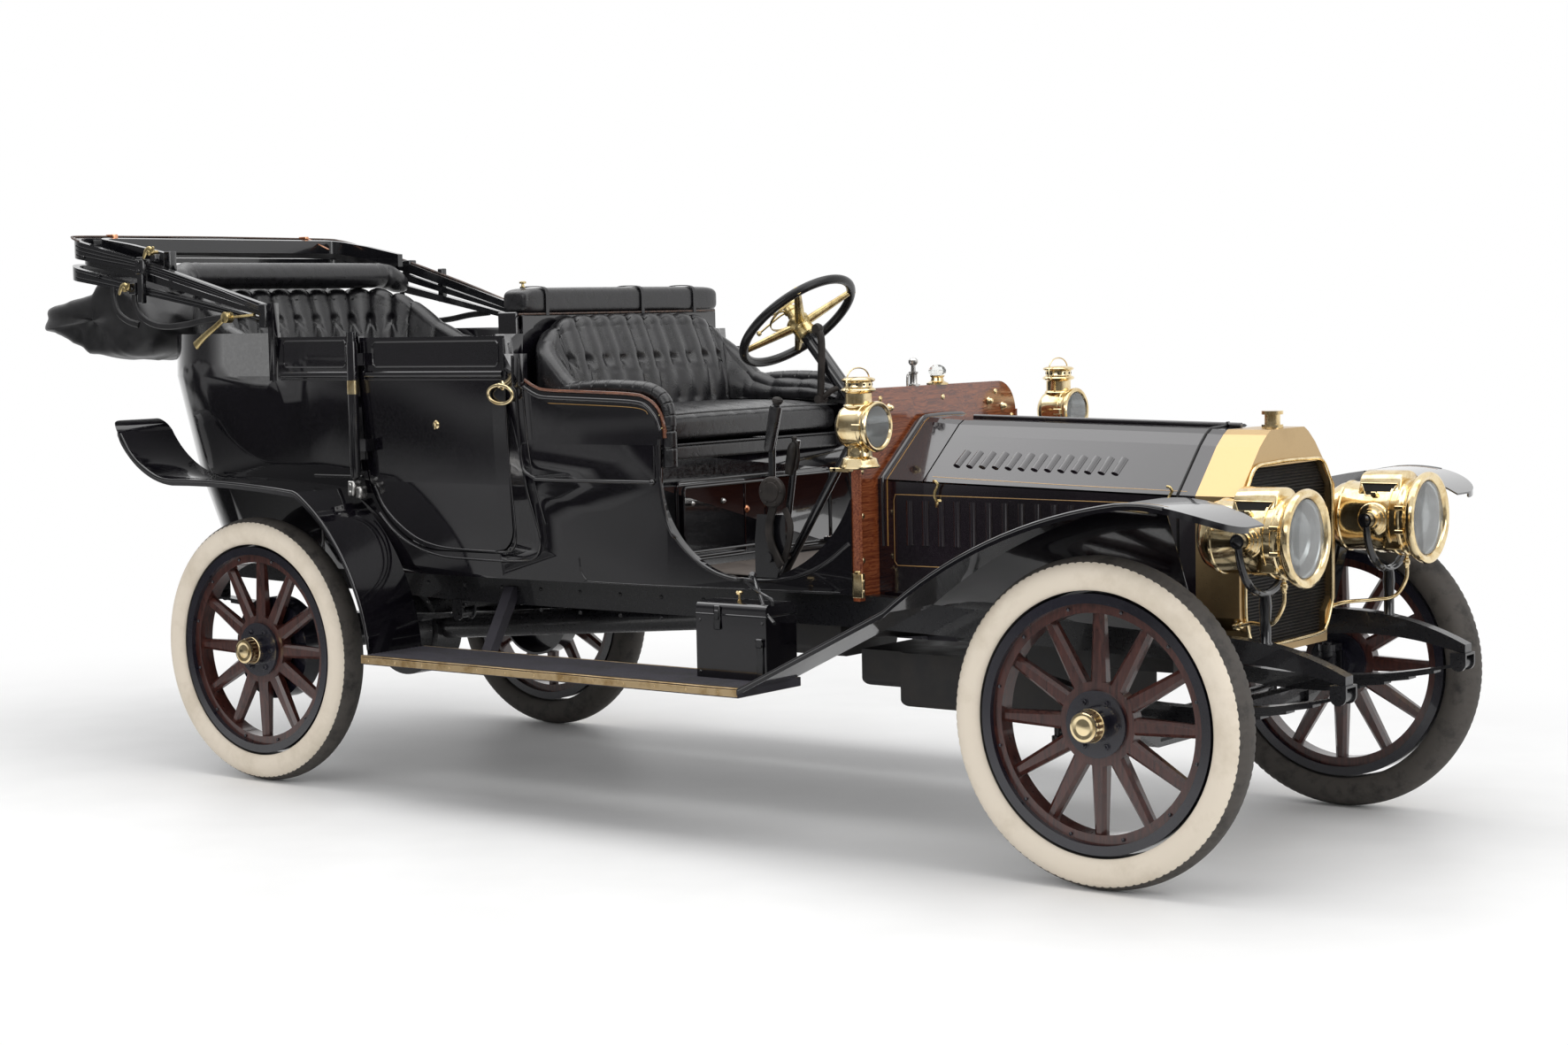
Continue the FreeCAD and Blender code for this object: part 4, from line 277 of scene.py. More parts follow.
NODE_FINISH = (
    (BODY_BLACK, ("body_tub", "door_right", "door_left", "front_wings", "rear_wings", "toolbox")),
    (BONNET_BLACK, ("bonnet_right", "bonnet_left", "bonnet_sides", "scuttle")),
    (CHASSIS_BLACK, ("chassis_frame", "front_axle", "rear_axle", "knuckle_right", "knuckle_left",
                     "tie_rod", "leaf_springs")),
    (STOVED_BLACK, ("steering_column", "hand_levers", "dash_braces", "door_posts",
                    "headlamp_forks", "top_bows")),
    (IRON, ("engine_block", "gearbox")),
    (RADIATOR_BRASS, ("radiator_shell",)),
    (BRASS, ("filler_cap", "headlamps", "sidelamps")),
    (CORE_BLACK, ("radiator_core",)),
    (MAHOGANY, ("dashboard", "bonnet_ledges")),
    (BOARD_RUBBER, ("running_boards",)),
    (LEATHER, ("front_cushion", "front_seat_back", "front_seat_roll", "rear_cushion",
               "rear_seat_back", "rear_seat_roll")),
    (HOOD_LEATHER, ("top_cloth",)),
    (GLASS, ("lamp_lenses",)),
    (BLACK_RUBBER, ("steering_wheel",)),
    (WHITE_RUBBER, tuple("tyre_" + w[0] for w in WHEELS)),
    (WHEEL_WOOD, tuple("spokes_" + w[0] for w in WHEELS)),
    (HUB_BLACK, tuple("hub_" + w[0] for w in WHEELS)),
)
for finish, nodes in NODE_FINISH:
    for node_name in nodes:
        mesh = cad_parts[node_name].data
        mesh.materials.clear()
        mesh.materials.append(finish)


# ---- shapes worked out on grids ----------------------------------------------
AHEAD = (1, 0, 0)
BACKWARD = (-1, 0, 0)
LEFT = (0, 1, 0)
RIGHT = (0, -1, 0)
UP = (0, 0, 1)
DOWN = (0, 0, -1)
CHAMFER_IN = (0.0, 0.7071, -0.7071)


def turn_of(way, up=UP):
    """Unit sideways and upright directions square to each way along a path."""
    way = way / np.linalg.norm(way, axis=-1, keepdims=True)
    side = np.cross(way, np.broadcast_to(np.asarray(up, float), way.shape))
    side /= np.linalg.norm(side, axis=-1, keepdims=True)
    return side, np.cross(side, way)


def skin(points, around=True, along=False, ends=True):
    """Faces over a grid of points (rows, columns): around joins the last column to the first,
    along joins the last row to the first, ends closes the end rows with a fan."""
    rows, columns = points.shape[:2]
    index = np.arange(rows * columns).reshape(rows, columns)
    if around:
        index = np.hstack((index, index[:, :1]))
    if along:
        index = np.vstack((index, index[:1]))
    quads = np.stack((index[:-1, :-1], index[:-1, 1:], index[1:, 1:], index[1:, :-1]), -1).reshape(-1, 4)
    flat = points.reshape(-1, 3)
    faces = quads.tolist()
    if around and ends and not along:
        for row in (0, rows - 1):
            ring = index[row]
            centre = len(flat)
            flat = np.vstack((flat, points[row].mean(axis=0)))
            faces += [(int(a), int(b), centre) for a, b in zip(ring[:-1], ring[1:])]
    return flat, faces


def sweep(path, profile, scale=None, closed=False, up=UP, ends=True):
    """A profile (sideways, upright) carried along a path: point = path + a * side + b * upright,
    times scale at each place of the path."""
    path = np.asarray(path, float)
    profile = np.asarray(profile, float)
    if closed:
        way = np.roll(path, -1, 0) - np.roll(path, 1, 0)
    else:
        way = np.gradient(path, axis=0)
    side, upright = turn_of(way, up)
    scale = np.ones(len(path)) if scale is None else np.asarray(scale, float)
    grid = (path[:, None] + scale[:, None, None] * (
        profile[None, :, :1] * side[:, None] + profile[None, :, 1:] * upright[:, None]))
    return skin(grid, along=closed, ends=ends)


def ring(radius, count=12, flat=1.0):
    """A round or oval profile: radius * (cos a, flat * sin a)."""
    a = np.arange(count) * 2 * np.pi / count
    return np.stack((radius * np.cos(a), flat * radius * np.sin(a)), -1)


def bar(width, height, bevel=0.25):
    """A rectangular profile with its corners cut off."""
    w, h = width / 2, height / 2
    c = bevel * min(w, h)
    return np.array([(w, c - h), (w, h - c), (w - c, h), (c - w, h), (-w, h - c), (-w, c - h),
                     (c - w, -h), (w - c, -h)])


def curve(points, count=40, closed=False):
    """A smooth line through points: a Catmull-Rom run between each two of them."""
    points = np.asarray(points, float)
    if closed:
        points = np.vstack((points[-1:], points, points[:2]))
    else:
        points = np.vstack((2 * points[0] - points[1], points, 2 * points[-1] - points[-2]))
    runs = len(points) - 3
    t = np.linspace(0, runs, count, endpoint=not closed)
    k = np.minimum(t.astype(int), runs - 1)
    f = (t - k)[:, None]
    a, b, c, d = points[k], points[k + 1], points[k + 2], points[k + 3]
    return 0.5 * (2 * b + (c - a) * f + (2 * a - 5 * b + 4 * c - d) * f ** 2
                  + (3 * b - a - 3 * c + d) * f ** 3)


def lathe(profile, centre, axis, count=48, start=0.0, ends=True):
    """A profile of (along, radius) turned about an axis through centre."""
    profile = np.asarray(profile, float)
    axis = np.asarray(axis, float) / np.linalg.norm(axis)
    helper = (0.0, 0.0, 1.0) if abs(axis[2]) < 0.9 else (1.0, 0.0, 0.0)
    side, upright = turn_of(axis[None], helper)
    a = start + np.arange(count) * 2 * np.pi / count
    spokes = np.cos(a)[:, None] * side + np.sin(a)[:, None] * upright
    grid = np.asarray(centre, float) + profile[:, :1, None] * axis + profile[:, 1:, None] * spokes[None]
    return skin(grid, ends=ends)


def block(low, high, bevel=2.0):
    """A box with its edges cut off, between two corners: rings of a bevelled rectangle."""
    low, high = np.minimum(low, high).astype(float), np.maximum(low, high).astype(float)
    c = min(bevel, 0.45 * (high - low).min())
    rings = []
    for x, inset in ((low[0], c), (low[0] + c, 0), (high[0] - c, 0), (high[0], c)):
        y0, y1, z0, z1 = low[1] + inset, high[1] - inset, low[2] + inset, high[2] - inset
        rings.append([(x, y1, z0 + c), (x, y1, z1 - c), (x, y1 - c, z1), (x, y0 + c, z1),
                      (x, y0, z1 - c), (x, y0, z0 + c), (x, y0 + c, z0), (x, y1 - c, z0)])
    return skin(np.array(rings))


def flipped(shapes):
    """The same shapes on the car's other side."""
    return [(points * (1, -1, 1), [face[::-1] for face in faces]) for points, faces in shapes]


def mirrored(shapes):
    """The shapes and the same ones on the car's other side."""
    return shapes + flipped(shapes)


def make(name, shapes, finish, body="root", crease=38.0, second=None):
    """One piece from shapes in mm from the front axle, with smooth faces and sharp edges,
    riding on a body; its slot goes by its finish. second is (finish, test
    of face centres) for a second material."""
    points = np.vstack([p for p, f in shapes])
    faces = []
    start = 0
    for p, f in shapes:
        faces += [[i + start for i in face] for face in f]
        start += len(p)
    mesh = bpy.data.meshes.new(name)
    mesh.from_pydata(at(points).tolist(), [], faces)
    work = bmesh.new()
    work.from_mesh(mesh)
    bmesh.ops.remove_doubles(work, verts=work.verts, dist=1e-6)
    bmesh.ops.recalc_face_normals(work, faces=work.faces)
    work.to_mesh(mesh)
    work.free()
    mesh.polygons.foreach_set("use_smooth", np.ones(len(mesh.polygons), bool))
    mesh.set_sharp_from_angle(angle=math.radians(crease))
    mesh.materials.append(finish)
    if second:
        mesh.materials.append(second[0])
        centres = np.empty(len(mesh.polygons) * 3)
        mesh.polygons.foreach_get("center", centres)
        pick = second[1](centres.reshape(-1, 3)).astype(np.int32)
        mesh.polygons.foreach_set("material_index", pick)
    piece = bpy.data.objects.new(name, mesh)
    bpy.context.scene.collection.objects.link(piece)
    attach(piece, body)
    return piece


# ---- wheels ------------------------------------------------------------------
HUB_HEIGHT = HUB_Z * 1000
TRACK_HALF = WHEEL_Y * 1000
TYRE_RADIUS = 440.0
TYRE_HALF_WIDTH = 59.5
TYRE_WIDEST_RADIUS = 393.0
BEAD_RADIUS = 352.0
BEAD_HALF_WIDTH = 40.0
WHITE_TO_RADIUS = 424.0
TREAD_BLOCKS = 112
TREAD_DEPTH = 2.6
SHOULDER_RADII = (425, 437.5)
GROOVE_ACROSS = 12.5
GROOVE_DEPTH = 1.5
FLANGE_BOLT_RADIUS = 66
RIM_BOLT_RADIUS = 307


def tyre(place, axle_x, side):
    """Tyre: a half oval over the widest line and a quarter oval down to each bead, turned
    about the axle; the tread's shoulders are notched, and the outer wall is ivory."""
    a = np.linspace(0, np.pi, 25)
    b = np.linspace(0.1, 1, 7)[::-1] * np.pi / 2
    across = np.concatenate((
        -(BEAD_HALF_WIDTH + (TYRE_HALF_WIDTH - BEAD_HALF_WIDTH) * np.cos(b)),
        -TYRE_HALF_WIDTH * np.cos(a),
        BEAD_HALF_WIDTH + (TYRE_HALF_WIDTH - BEAD_HALF_WIDTH) * np.cos(b[::-1])))
    radius = np.concatenate((
        TYRE_WIDEST_RADIUS - (TYRE_WIDEST_RADIUS - BEAD_RADIUS) * np.sin(b),
        TYRE_WIDEST_RADIUS + (TYRE_RADIUS - TYRE_WIDEST_RADIUS) * np.sin(a),
        TYRE_WIDEST_RADIUS - (TYRE_WIDEST_RADIUS - BEAD_RADIUS) * np.sin(b[::-1])))
    turn = np.arange(TREAD_BLOCKS * 4) * 2 * np.pi / (TREAD_BLOCKS * 4)
    shoulder = (radius > SHOULDER_RADII[0]) & (radius < SHOULDER_RADII[1])
    notch = (np.arange(len(turn)) % 4 == 0)
    radius = radius[:, None] - TREAD_DEPTH * shoulder[:, None] * notch[None]
    groove = np.abs(np.abs(across) - GROOVE_ACROSS) < 2.5
    radius = radius - GROOVE_DEPTH * groove[:, None]
    grid = np.stack((
        axle_x * 1000 - FRONT_AXLE_X * 1000 + radius * np.sin(turn),
        np.broadcast_to(side * TRACK_HALF + side * across[:, None], radius.shape),
        HUB_HEIGHT + radius * np.cos(turn)), -1)

    def is_tread(centres):
        reach = np.hypot(centres[:, 0] - axle_x, centres[:, 2] - HUB_Z)
        return (reach > WHITE_TO_RADIUS / 1000) | (side * centres[:, 1] < WHEEL_Y)

    piece = make("tyre_cover_" + place, [skin(grid, ends=False, along=True)], WHITE_RUBBER,
                 "wheel_" + place, 50, second=(TREAD_RUBBER, is_tread))
    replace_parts(piece, "tyre_" + place)


def wheel_fittings(place, axle_x, side):
    """Brass hub cap, flange bolts with nuts, rim bolts, valve stem and the rim's lugs."""
    axis = (0, side, 0)
    hub = np.array(((axle_x - FRONT_AXLE_X) * 1000, side * TRACK_HALF, HUB_HEIGHT))
    body = "wheel_" + place

    def spoke(turn):
        return np.array((math.sin(turn), 0, math.cos(turn)))

    cap = lathe([(50, 0), (50, 48), (58, 48), (60, 45), (63, 43), (84, 43), (91, 41), (94, 35),
                 (94, 28), (92.4, 25), (92.4, 20), (94, 16), (95, 0)], hub, axis, 40)
    make("hub_cap_" + place, [cap], BRASS, body)
    bolts = []
    for k in range(6):
        at_bolt = hub + FLANGE_BOLT_RADIUS * spoke((k + 0.5) * np.pi / 3)
        bolts.append(lathe([(18, 0), (18, 9), (35, 9), (37, 7.5), (37, 4), (42, 4), (42, 0)], at_bolt, axis,
                           6))
        bolts.append(lathe([(18, 0), (18, 12), (31.5, 12), (31.5, 0)], at_bolt, axis, 16))
    for k in range(12):
        at_rim = hub + RIM_BOLT_RADIUS * spoke((k + 0.5) * np.pi / 6)
        bolts.append(lathe([(0, 0), (0, 5), (30.5, 5), (32.5, 3), (33, 0)], at_rim, axis, 8))
    make("wheel_bolts_" + place, bolts, HUB_BLACK, body)
    foot = hub + (0, side * 8, 0)
    stem = [lathe([(238, 0), (238, 3.2), (244, 4), (262, 4), (262, 6.5), (272, 6.5), (272, 4), (300, 4),
                   (300, 0)], foot, spoke(math.radians(150)), 12)]
    for degrees in (30, 270):
        stem.append(lathe([(276, 0), (276, 4), (282, 6), (286, 6), (288, 4), (300, 4), (300, 0)], foot,
                          spoke(math.radians(degrees)), 10))
    make("valve_stem_" + place, stem, OLD_BRASS, body)


for wheel in WHEELS:
    tyre(*wheel)
    wheel_fittings(*wheel)


# ---- seats -------------------------------------------------------------------
FRONT_RIDGE = dict(
    # half of the ridge line seen from above, front to middle; heights along it; inward reach
    line=((-1672, 454), (-1800, 460), (-1950, 466), (-2060, 470), (-2140, 460), (-2178, 420),
          (-2188, 340), (-2190, 0)),
    rise=((0.0, 1272), (0.05, 1292), (0.12, 1304), (0.30, 1309), (0.38, 1330), (0.45, 1392),
          (0.54, 1465), (0.61, 1512), (0.68, 1530), (1.0, 1534)),
    reach=((0.0, 26), (0.3, 34), (0.45, 60), (0.6, 98), (0.7, 104), (1.0, 106)),
    roll=((0.0, 24), (0.1, 30), (0.4, 32), (0.6, 36), (1.0, 38)),
    floor=1237.0, back=1250.0, buttons=1388.0, pitch=84.0, flutes=(0.56, 1.0), arm_pitch=112.0)
REAR_RIDGE = dict(
    line=((-3262, 508), (-3420, 512), (-3580, 508), (-3720, 480), (-3830, 400), (-3880, 300),
          (-3892, 180), (-3894, 0)),
    rise=((0.0, 1415), (0.06, 1440), (0.2, 1474), (0.3, 1520), (0.4, 1590), (0.48, 1630), (0.56, 1648),
          (1.0, 1652)),
    reach=((0.0, 34), (0.3, 52), (0.5, 90), (0.65, 104), (1.0, 106)),
    roll=((0.0, 30), (0.3, 36), (1.0, 42)),
    floor=1252.0, back=1262.0, buttons=1532.0, pitch=92.0, flutes=(0.42, 1.0), arm_pitch=118.0)


BOLSTER_SECTION = (
    (-2322, 1532), (-2322, 1560), (-2321, 1600), (-2309, 1619), (-2262, 1623), (-2216, 1619),
    (-2203, 1600), (-2202, 1560), (-2202, 1532))


def along(table, t):
    """Values read from a small table of (place, value) at each t."""
    table = np.array(table)
    return np.interp(t, table[:, 0], table[:, 1])


# parts of the back's section, from the cushion up the face, over the roll and down behind
FACE_END = 0.52
OVER_SPAN = 0.26
OVER_END = 0.78
DROP_SPAN = 0.22
FLUTE_DEPTH = 15.0
PLEAT_DEPTH = 4.5
BUTTON_SIZE = 15.0
BUTTON_DEPTH = 16
CREASE_DEPTH = 7


def tufted_back(seat, rows=360, columns=96):
    """Buttoned horseshoe back. The ridge line runs round the seat; from it the leather falls
    inwards to the cushion in a soft bulge, and rolls over and down behind. Flutes are grooves
    |sin| deep across the run, pulled to one row of buttons, with a short crease from each
    button down to the next flute's middle."""
    half = curve(seat["line"], rows // 2)
    ridge = np.vstack((half, half[::-1][1:] * (1, -1)))
    step = np.r_[0, np.cumsum(np.hypot(*np.diff(ridge, axis=0).T))]
    t = 1 - np.abs(2 * step / step[-1] - 1)
    way = np.gradient(ridge, axis=0)
    way /= np.linalg.norm(way, axis=1, keepdims=True)
    inward = np.stack((way[:, 1], -way[:, 0]), -1)
    inward *= np.sign(((np.array((seat["line"][0][0], 0)) - ridge) * inward).sum(1))[:, None]
    rise = along(seat["rise"], t)[:, None]
    reach = along(seat["reach"], t)[:, None]
    roll = along(seat["roll"], t)[:, None]
    v = np.linspace(0, 1, columns)[None]
    face = np.clip(v / FACE_END, 0, 1)
    over = np.clip((v - FACE_END) / OVER_SPAN, 0, 1) * np.pi
    drop = np.clip((v - OVER_END) / DROP_SPAN, 0, 1)
    low, high = seat["floor"], rise - roll
    bulge = reach + (roll - reach) * face ** 1.4 + 9 * np.sin(np.pi * face)
    across = np.where(v < FACE_END, bulge, roll * np.cos(over))
    up = np.where(v < FACE_END, low + (high - low) * face, high + roll * np.sin(over))
    across = np.where(v > OVER_END, -roll, across)
    up = np.where(v > OVER_END, high + (seat["back"] - high) * drop, up)
    # flutes along the back, and wider pleats over the arms
    place = step[:, None] - step[-1] / 2
    fluted = ((t >= seat["flutes"][0]) & (t <= seat["flutes"][1]))[:, None]
    phase = np.where(fluted, place / seat["pitch"], place / seat["arm_pitch"])
    phase = phase + 0.5 * fluted
    groove = 1 - np.abs(np.sin(np.pi * phase)) ** 0.55
    off = (phase - np.round(phase)) * seat["pitch"]
    above = up - seat["buttons"]
    button = np.exp(-(off ** 2 + above ** 2) / BUTTON_SIZE ** 2) * (v < FACE_END)
    swell = 1 + 0.25 * np.exp(-((above - 55) / 60) ** 2)
    fold = np.abs(off + 0.55 * above * np.sign(off + 1e-9))
    crease = np.exp(-(fold / 5.0) ** 2) * np.exp(-((above + 26) / 22) ** 2)
    crease = crease * (above < 0) * (v < FACE_END)
    fade = np.clip(np.minimum(v / 0.03, (0.86 - v) / 0.14), 0, 1)
    depth = (np.where(fluted, FLUTE_DEPTH * swell, PLEAT_DEPTH) * groove * fade
             + fluted * (BUTTON_DEPTH * button + CREASE_DEPTH * crease))
    # push in, square to the surface
    slope_across = np.gradient(across, axis=1)
    slope_up = np.gradient(up, axis=1)
    size = np.hypot(slope_across, slope_up) + 1e-9
    turned = np.where(v > FACE_END, np.sign(slope_up + 1e-9), 1)
    across = across - depth * slope_up / size * turned * (v < 0.6)
    up = up - depth * (v >= FACE_END) * (v < OVER_END + 0.02)
    grid = np.empty((len(ridge), columns, 3))
    grid[..., :2] = ridge[:, None] + across[..., None] * inward[:, None]
    grid[..., 2] = up
    return skin(grid)


def loaf(xs, zs, half, rounding=26.0, crown=0.0, pleat=0.0, pitch=95.0, rows=160, power=9.0, sag=0.0):
    """A stuffed cushion: a rounded box section (superellipse |a|^n + |b|^n = 1) carried from
    side to side; it shrinks at its ends, crowns in the middle, and has shallow pleats on top."""
    a = np.linspace(0, 2 * np.pi, 97)[:-1]
    n = 4.0 / power
    c, s = np.cos(a), np.sin(a)
    deep, high = (xs[1] - xs[0]) / 2, (zs[1] - zs[0]) / 2
    dx = np.sign(c) * np.abs(c) ** n * deep
    dz = np.sign(s) * np.abs(s) ** n * high
    y = np.sin(np.linspace(-np.pi / 2, np.pi / 2, rows)) * half
    y = (0.5 * y + 0.5 * np.linspace(-half, half, rows))[:, None]
    end = np.clip(1 - np.abs(y / half) ** (half / rounding), 0, 1) ** 0.5
    end = np.maximum(end, 0.02)
    top = (dz > 0)[None] * (dz / dz.max())[None]
    inner = np.clip(1 - (dx / deep)[None] ** 4, 0, 1)
    puff = crown * (1 - (y / half) ** 4) * top * inner
    puff = puff - pleat * (1 - np.abs(np.sin(np.pi * y / pitch)) ** 0.5) * top
    front = (dx > 0)[None] * (dx / dx.max())[None] ** 6
    reach = 1 - rounding * (1 - end) / deep
    tall = 1 - rounding * (1 - end) / high
    grid = np.empty((rows, len(a), 3))
    grid[..., 0] = (xs[0] + xs[1]) / 2 + dx * reach + sag * front * (1 - np.abs(y / half) ** 3)
    grid[..., 1] = y
    grid[..., 2] = (zs[0] + zs[1]) / 2 + dz * tall + puff
    return skin(grid)


def piping(points, radius=3.2, closed=False, count=160):
    """A round welt sewn along a line."""
    return sweep(curve(points, count, closed), ring(radius, 8), closed=closed)


def stuffed(name, shapes, node=None, finish=LEATHER, crease=60):
    """A padded piece, which may stand in for a packed one."""
    piece = make(name, shapes, finish, crease=crease)
    if node:
        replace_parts(piece, node)


def arm_roll(side):
    """The long roll over an arm and down its front, with pleats across and bound ends."""
    y = side * 480
    path = curve([(-2100, y, 1303), (-2029, side * 482, 1299), (-1962, side * 482, 1305),
                  (-1867, side * 482, 1308), (-1773, side * 482, 1305), (-1709, side * 482, 1298),
                  (-1664, y, 1275), (-1642, y, 1233), (-1638, y, 1158), (-1637, y, 1062)], 300)
    run = np.linspace(0, 1, 300)
    pleats = np.exp(-(np.sin(np.pi * 15 * run) / 0.12) ** 2)
    size = 22.5 - 2.8 * pleats - 2.5 * (np.abs(run - 0.86) < 0.012)
    size[0] = size[-1] = 16
    return sweep(path, ring(1.0, 20), size, up=LEFT)


def bolster_strap(y):
    """A strap round the front bolster."""
    path = curve([(x, y, z) for x, z in BOLSTER_SECTION], 60)
    return sweep(path, bar(3, 15), up=LEFT)


def rear_bolster():
    """The rear roll across the car: thin, wrinkled and bent down at its tied ends."""
    y = np.concatenate((
        np.linspace(-560, -470, 22), np.linspace(-465, 465, 60), np.linspace(470, 560, 22)))
    inner = np.clip((560 - np.abs(y)) / 90, 0, 1)
    size = 50 * np.sqrt(np.clip(1 - (1 - inner) ** 3.2, 0.02, 1))
    tied = np.clip((np.abs(y) - 380) / 60, 0, 1) * np.clip((540 - np.abs(y)) / 30, 0, 1)
    wrinkle = 1 + 0.03 * np.sin(y / 7.0) * tied
    path = np.stack((-3832 + 46 * (1 - inner) ** 1.4, y, 1693 - 52 * (1 - inner) ** 1.6), -1)
    return sweep(path, ring(1.0, 40, 0.94), size * wrinkle)


def seats():
    """The upholstery of both seats, the front roll's straps and a turn button on it."""
    stuffed("front_back_upholstery", [tufted_back(FRONT_RIDGE)], "front_seat_back")
    stuffed("front_cushion_cover", [
        loaf((-2150, -1684), (1126, 1228), 452, crown=14, pleat=3.5, pitch=96, sag=6),
    ], "front_cushion")
    stuffed("front_cushion_apron", [
        loaf((-1724, -1680), (1078, 1127), 452, rounding=14, sag=3),
        piping([(-1681, y, 1219 + 4 * (1 - (y / 450) ** 4)) for y in np.linspace(-440, 440, 9)]),
        piping([(-1678, y, 1127) for y in np.linspace(-445, 445, 9)], 3.5),
    ])
    stuffed("front_arm_rolls", [arm_roll(-1), arm_roll(1)])
    stuffed("front_seat_bolster", [
        loaf((-2318, -2206), (1534, 1617), 486, rounding=20, crown=3, rows=140),
    ], "front_seat_roll")
    make("bolster_straps", [bolster_strap(y) for y in (-393, 74, 344)], LEATHER)
    make("bolster_turn_button", [
        lathe([(0, 0), (0, 9), (3, 9), (4, 5), (12, 4), (13, 11), (18, 11), (20, 7), (20, 0)],
              (-2262, -440, 1620), UP, 16),
    ], OLD_BRASS)
    stuffed("rear_back_upholstery", [tufted_back(REAR_RIDGE)], "rear_seat_back")
    stuffed("rear_cushion_cover", [
        loaf((-3690, -3160), (1112, 1240), 522, crown=14, pleat=3.5, pitch=104, sag=6),
    ], "rear_cushion")
    stuffed("rear_seat_bolster", [rear_bolster()], "rear_seat_roll", crease=70)


seats()


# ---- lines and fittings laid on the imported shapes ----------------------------


def probe(*nodes):
    """A search tree over the faces of these nodes."""
    points, faces = [], []
    for node in nodes:
        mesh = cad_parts[node].data
        start = len(points)
        points += [v.co.copy() for v in mesh.vertices]
        faces += [[start + i for i in p.vertices] for p in mesh.polygons]
    return BVHTree.FromPolygons(points, faces)


def laid(tree, points, toward, lift=0.0):
    """Points in mm moved along a direction until they meet the faces, then lifted back off
    them; a point that meets nothing keeps the reach of the one before it."""
    toward = np.asarray(toward, float)
    found = []
    for point in at(points):
        start = point - toward * 3
        hit = tree.ray_cast(Vector(start), Vector(toward))[0]
        reach = np.dot(np.array(hit) - point, toward) if hit else (found[-1][1] if found else 0.0)
        found.append((point, reach))
    out = np.array([point + toward * reach for point, reach in found])
    return (out - (FRONT_AXLE_X, 0, 0)) * 1000 - toward * lift


BODY = probe("body_tub", "door_right")


def run_of(line):
    """The length along a line up to each of its points."""
    return np.r_[0, np.cumsum(np.linalg.norm(np.diff(line, axis=0), axis=1))]


def moulding(points, width=14.0, height=7.0, count=80, smooth=True, tree=None):
    """A half-round bead along a line of (x, z) points, laid on the car's right side: the
    profile is an oval sunk by half."""
    points = np.array([(x, 0.0, z) for x, z in points], float)
    if smooth:
        points = curve(points, count)
    else:
        step = run_of(points)
        t = np.linspace(0, step[-1], count)
        points = np.stack([np.interp(t, step, points[:, k]) for k in range(3)], -1)
    return sweep(laid(tree or BODY, points, LEFT), ring(width / 2, 12, height / (width / 2)), up=RIGHT)


# ---- folded top --------------------------------------------------------------
BAG_OUTLINE = (
    (-4706, 1512), (-4690, 1560), (-4668, 1596), (-4560, 1612), (-4440, 1626), (-4330, 1648),
    (-4282, 1692), (-4225, 1698), (-4150, 1662), (-4085, 1622), (-4030, 1560), (-4010, 1490),
    (-4040, 1430), (-4110, 1403), (-4200, 1404), (-4290, 1410), (-4380, 1432), (-4450, 1456),
    (-4560, 1486), (-4650, 1500))
BAG_HALF = 516.0
BAG_CENTRE = (-4300.0, 1545.0)
SEAM_RUNS = (
    # heights between the bows' lower and upper edges; then x, y, lower z and rise to the upper edge
    ((0.25, 0.5, 0.75), ((-3300, -603, 1557, 23), (-3560, -624, 1634, 30), (-3856, -641, 1710, 36),
                         (-4060, -656, 1742, 50), (-4190, -664, 1762, 62))),
    ((0.3, 0.75), ((-3300, -604, 1521, 15), (-3560, -622, 1576, 22), (-3897, -641, 1636, 28),
                   (-4080, -654, 1665, 38), (-4200, -661, 1684, 47))))
BOW_CLAMPS = (
    ((-3878, -664, 1700), (-3836, -626, 1752)), ((-3878, 626, 1700), (-3836, 664, 1752)),
    ((-3918, -662, 1630), (-3882, -628, 1672)), ((-3918, 628, 1630), (-3882, 662, 1672)),
    ((-3872, -662, 1600), (-3846, -640, 1760)), ((-3300, -622, 1508), (-3268, -592, 1588)),
    ((-3300, 592, 1508), (-3268, 622, 1588)), ((-3800, -600, 1700), (-3770, -566, 1778)),
    ((-3690, 626, 1590), (-3664, 652, 1716)), ((-3812, -650, 1742), (-3786, -622, 1768)))
BOW_RIVETS = (
    (-3857, -665, 1742), (-3857, -665, 1712), (-3900, -663, 1650), (-4150, -668, 1768),
    (-4080, -662, 1700))
STRAPS = (
    # width, thickness, line
    (22, 12, ((-4020, -646, 1662), (-4016, -648, 1620), (-3990, -650, 1570), (-3945, -646, 1540),
              (-3900, -636, 1526))),
    (22, 12, ((-3905, -646, 1650), (-3898, -650, 1600), (-3868, -650, 1556), (-3812, -646, 1528),
              (-3740, -642, 1518), (-3640, -640, 1524), (-3540, -640, 1538), (-3440, -644, 1546))),
    (30, 6, ((-4235, -560, 1700), (-4150, -600, 1690), (-4050, -630, 1672), (-3960, -640, 1655))))


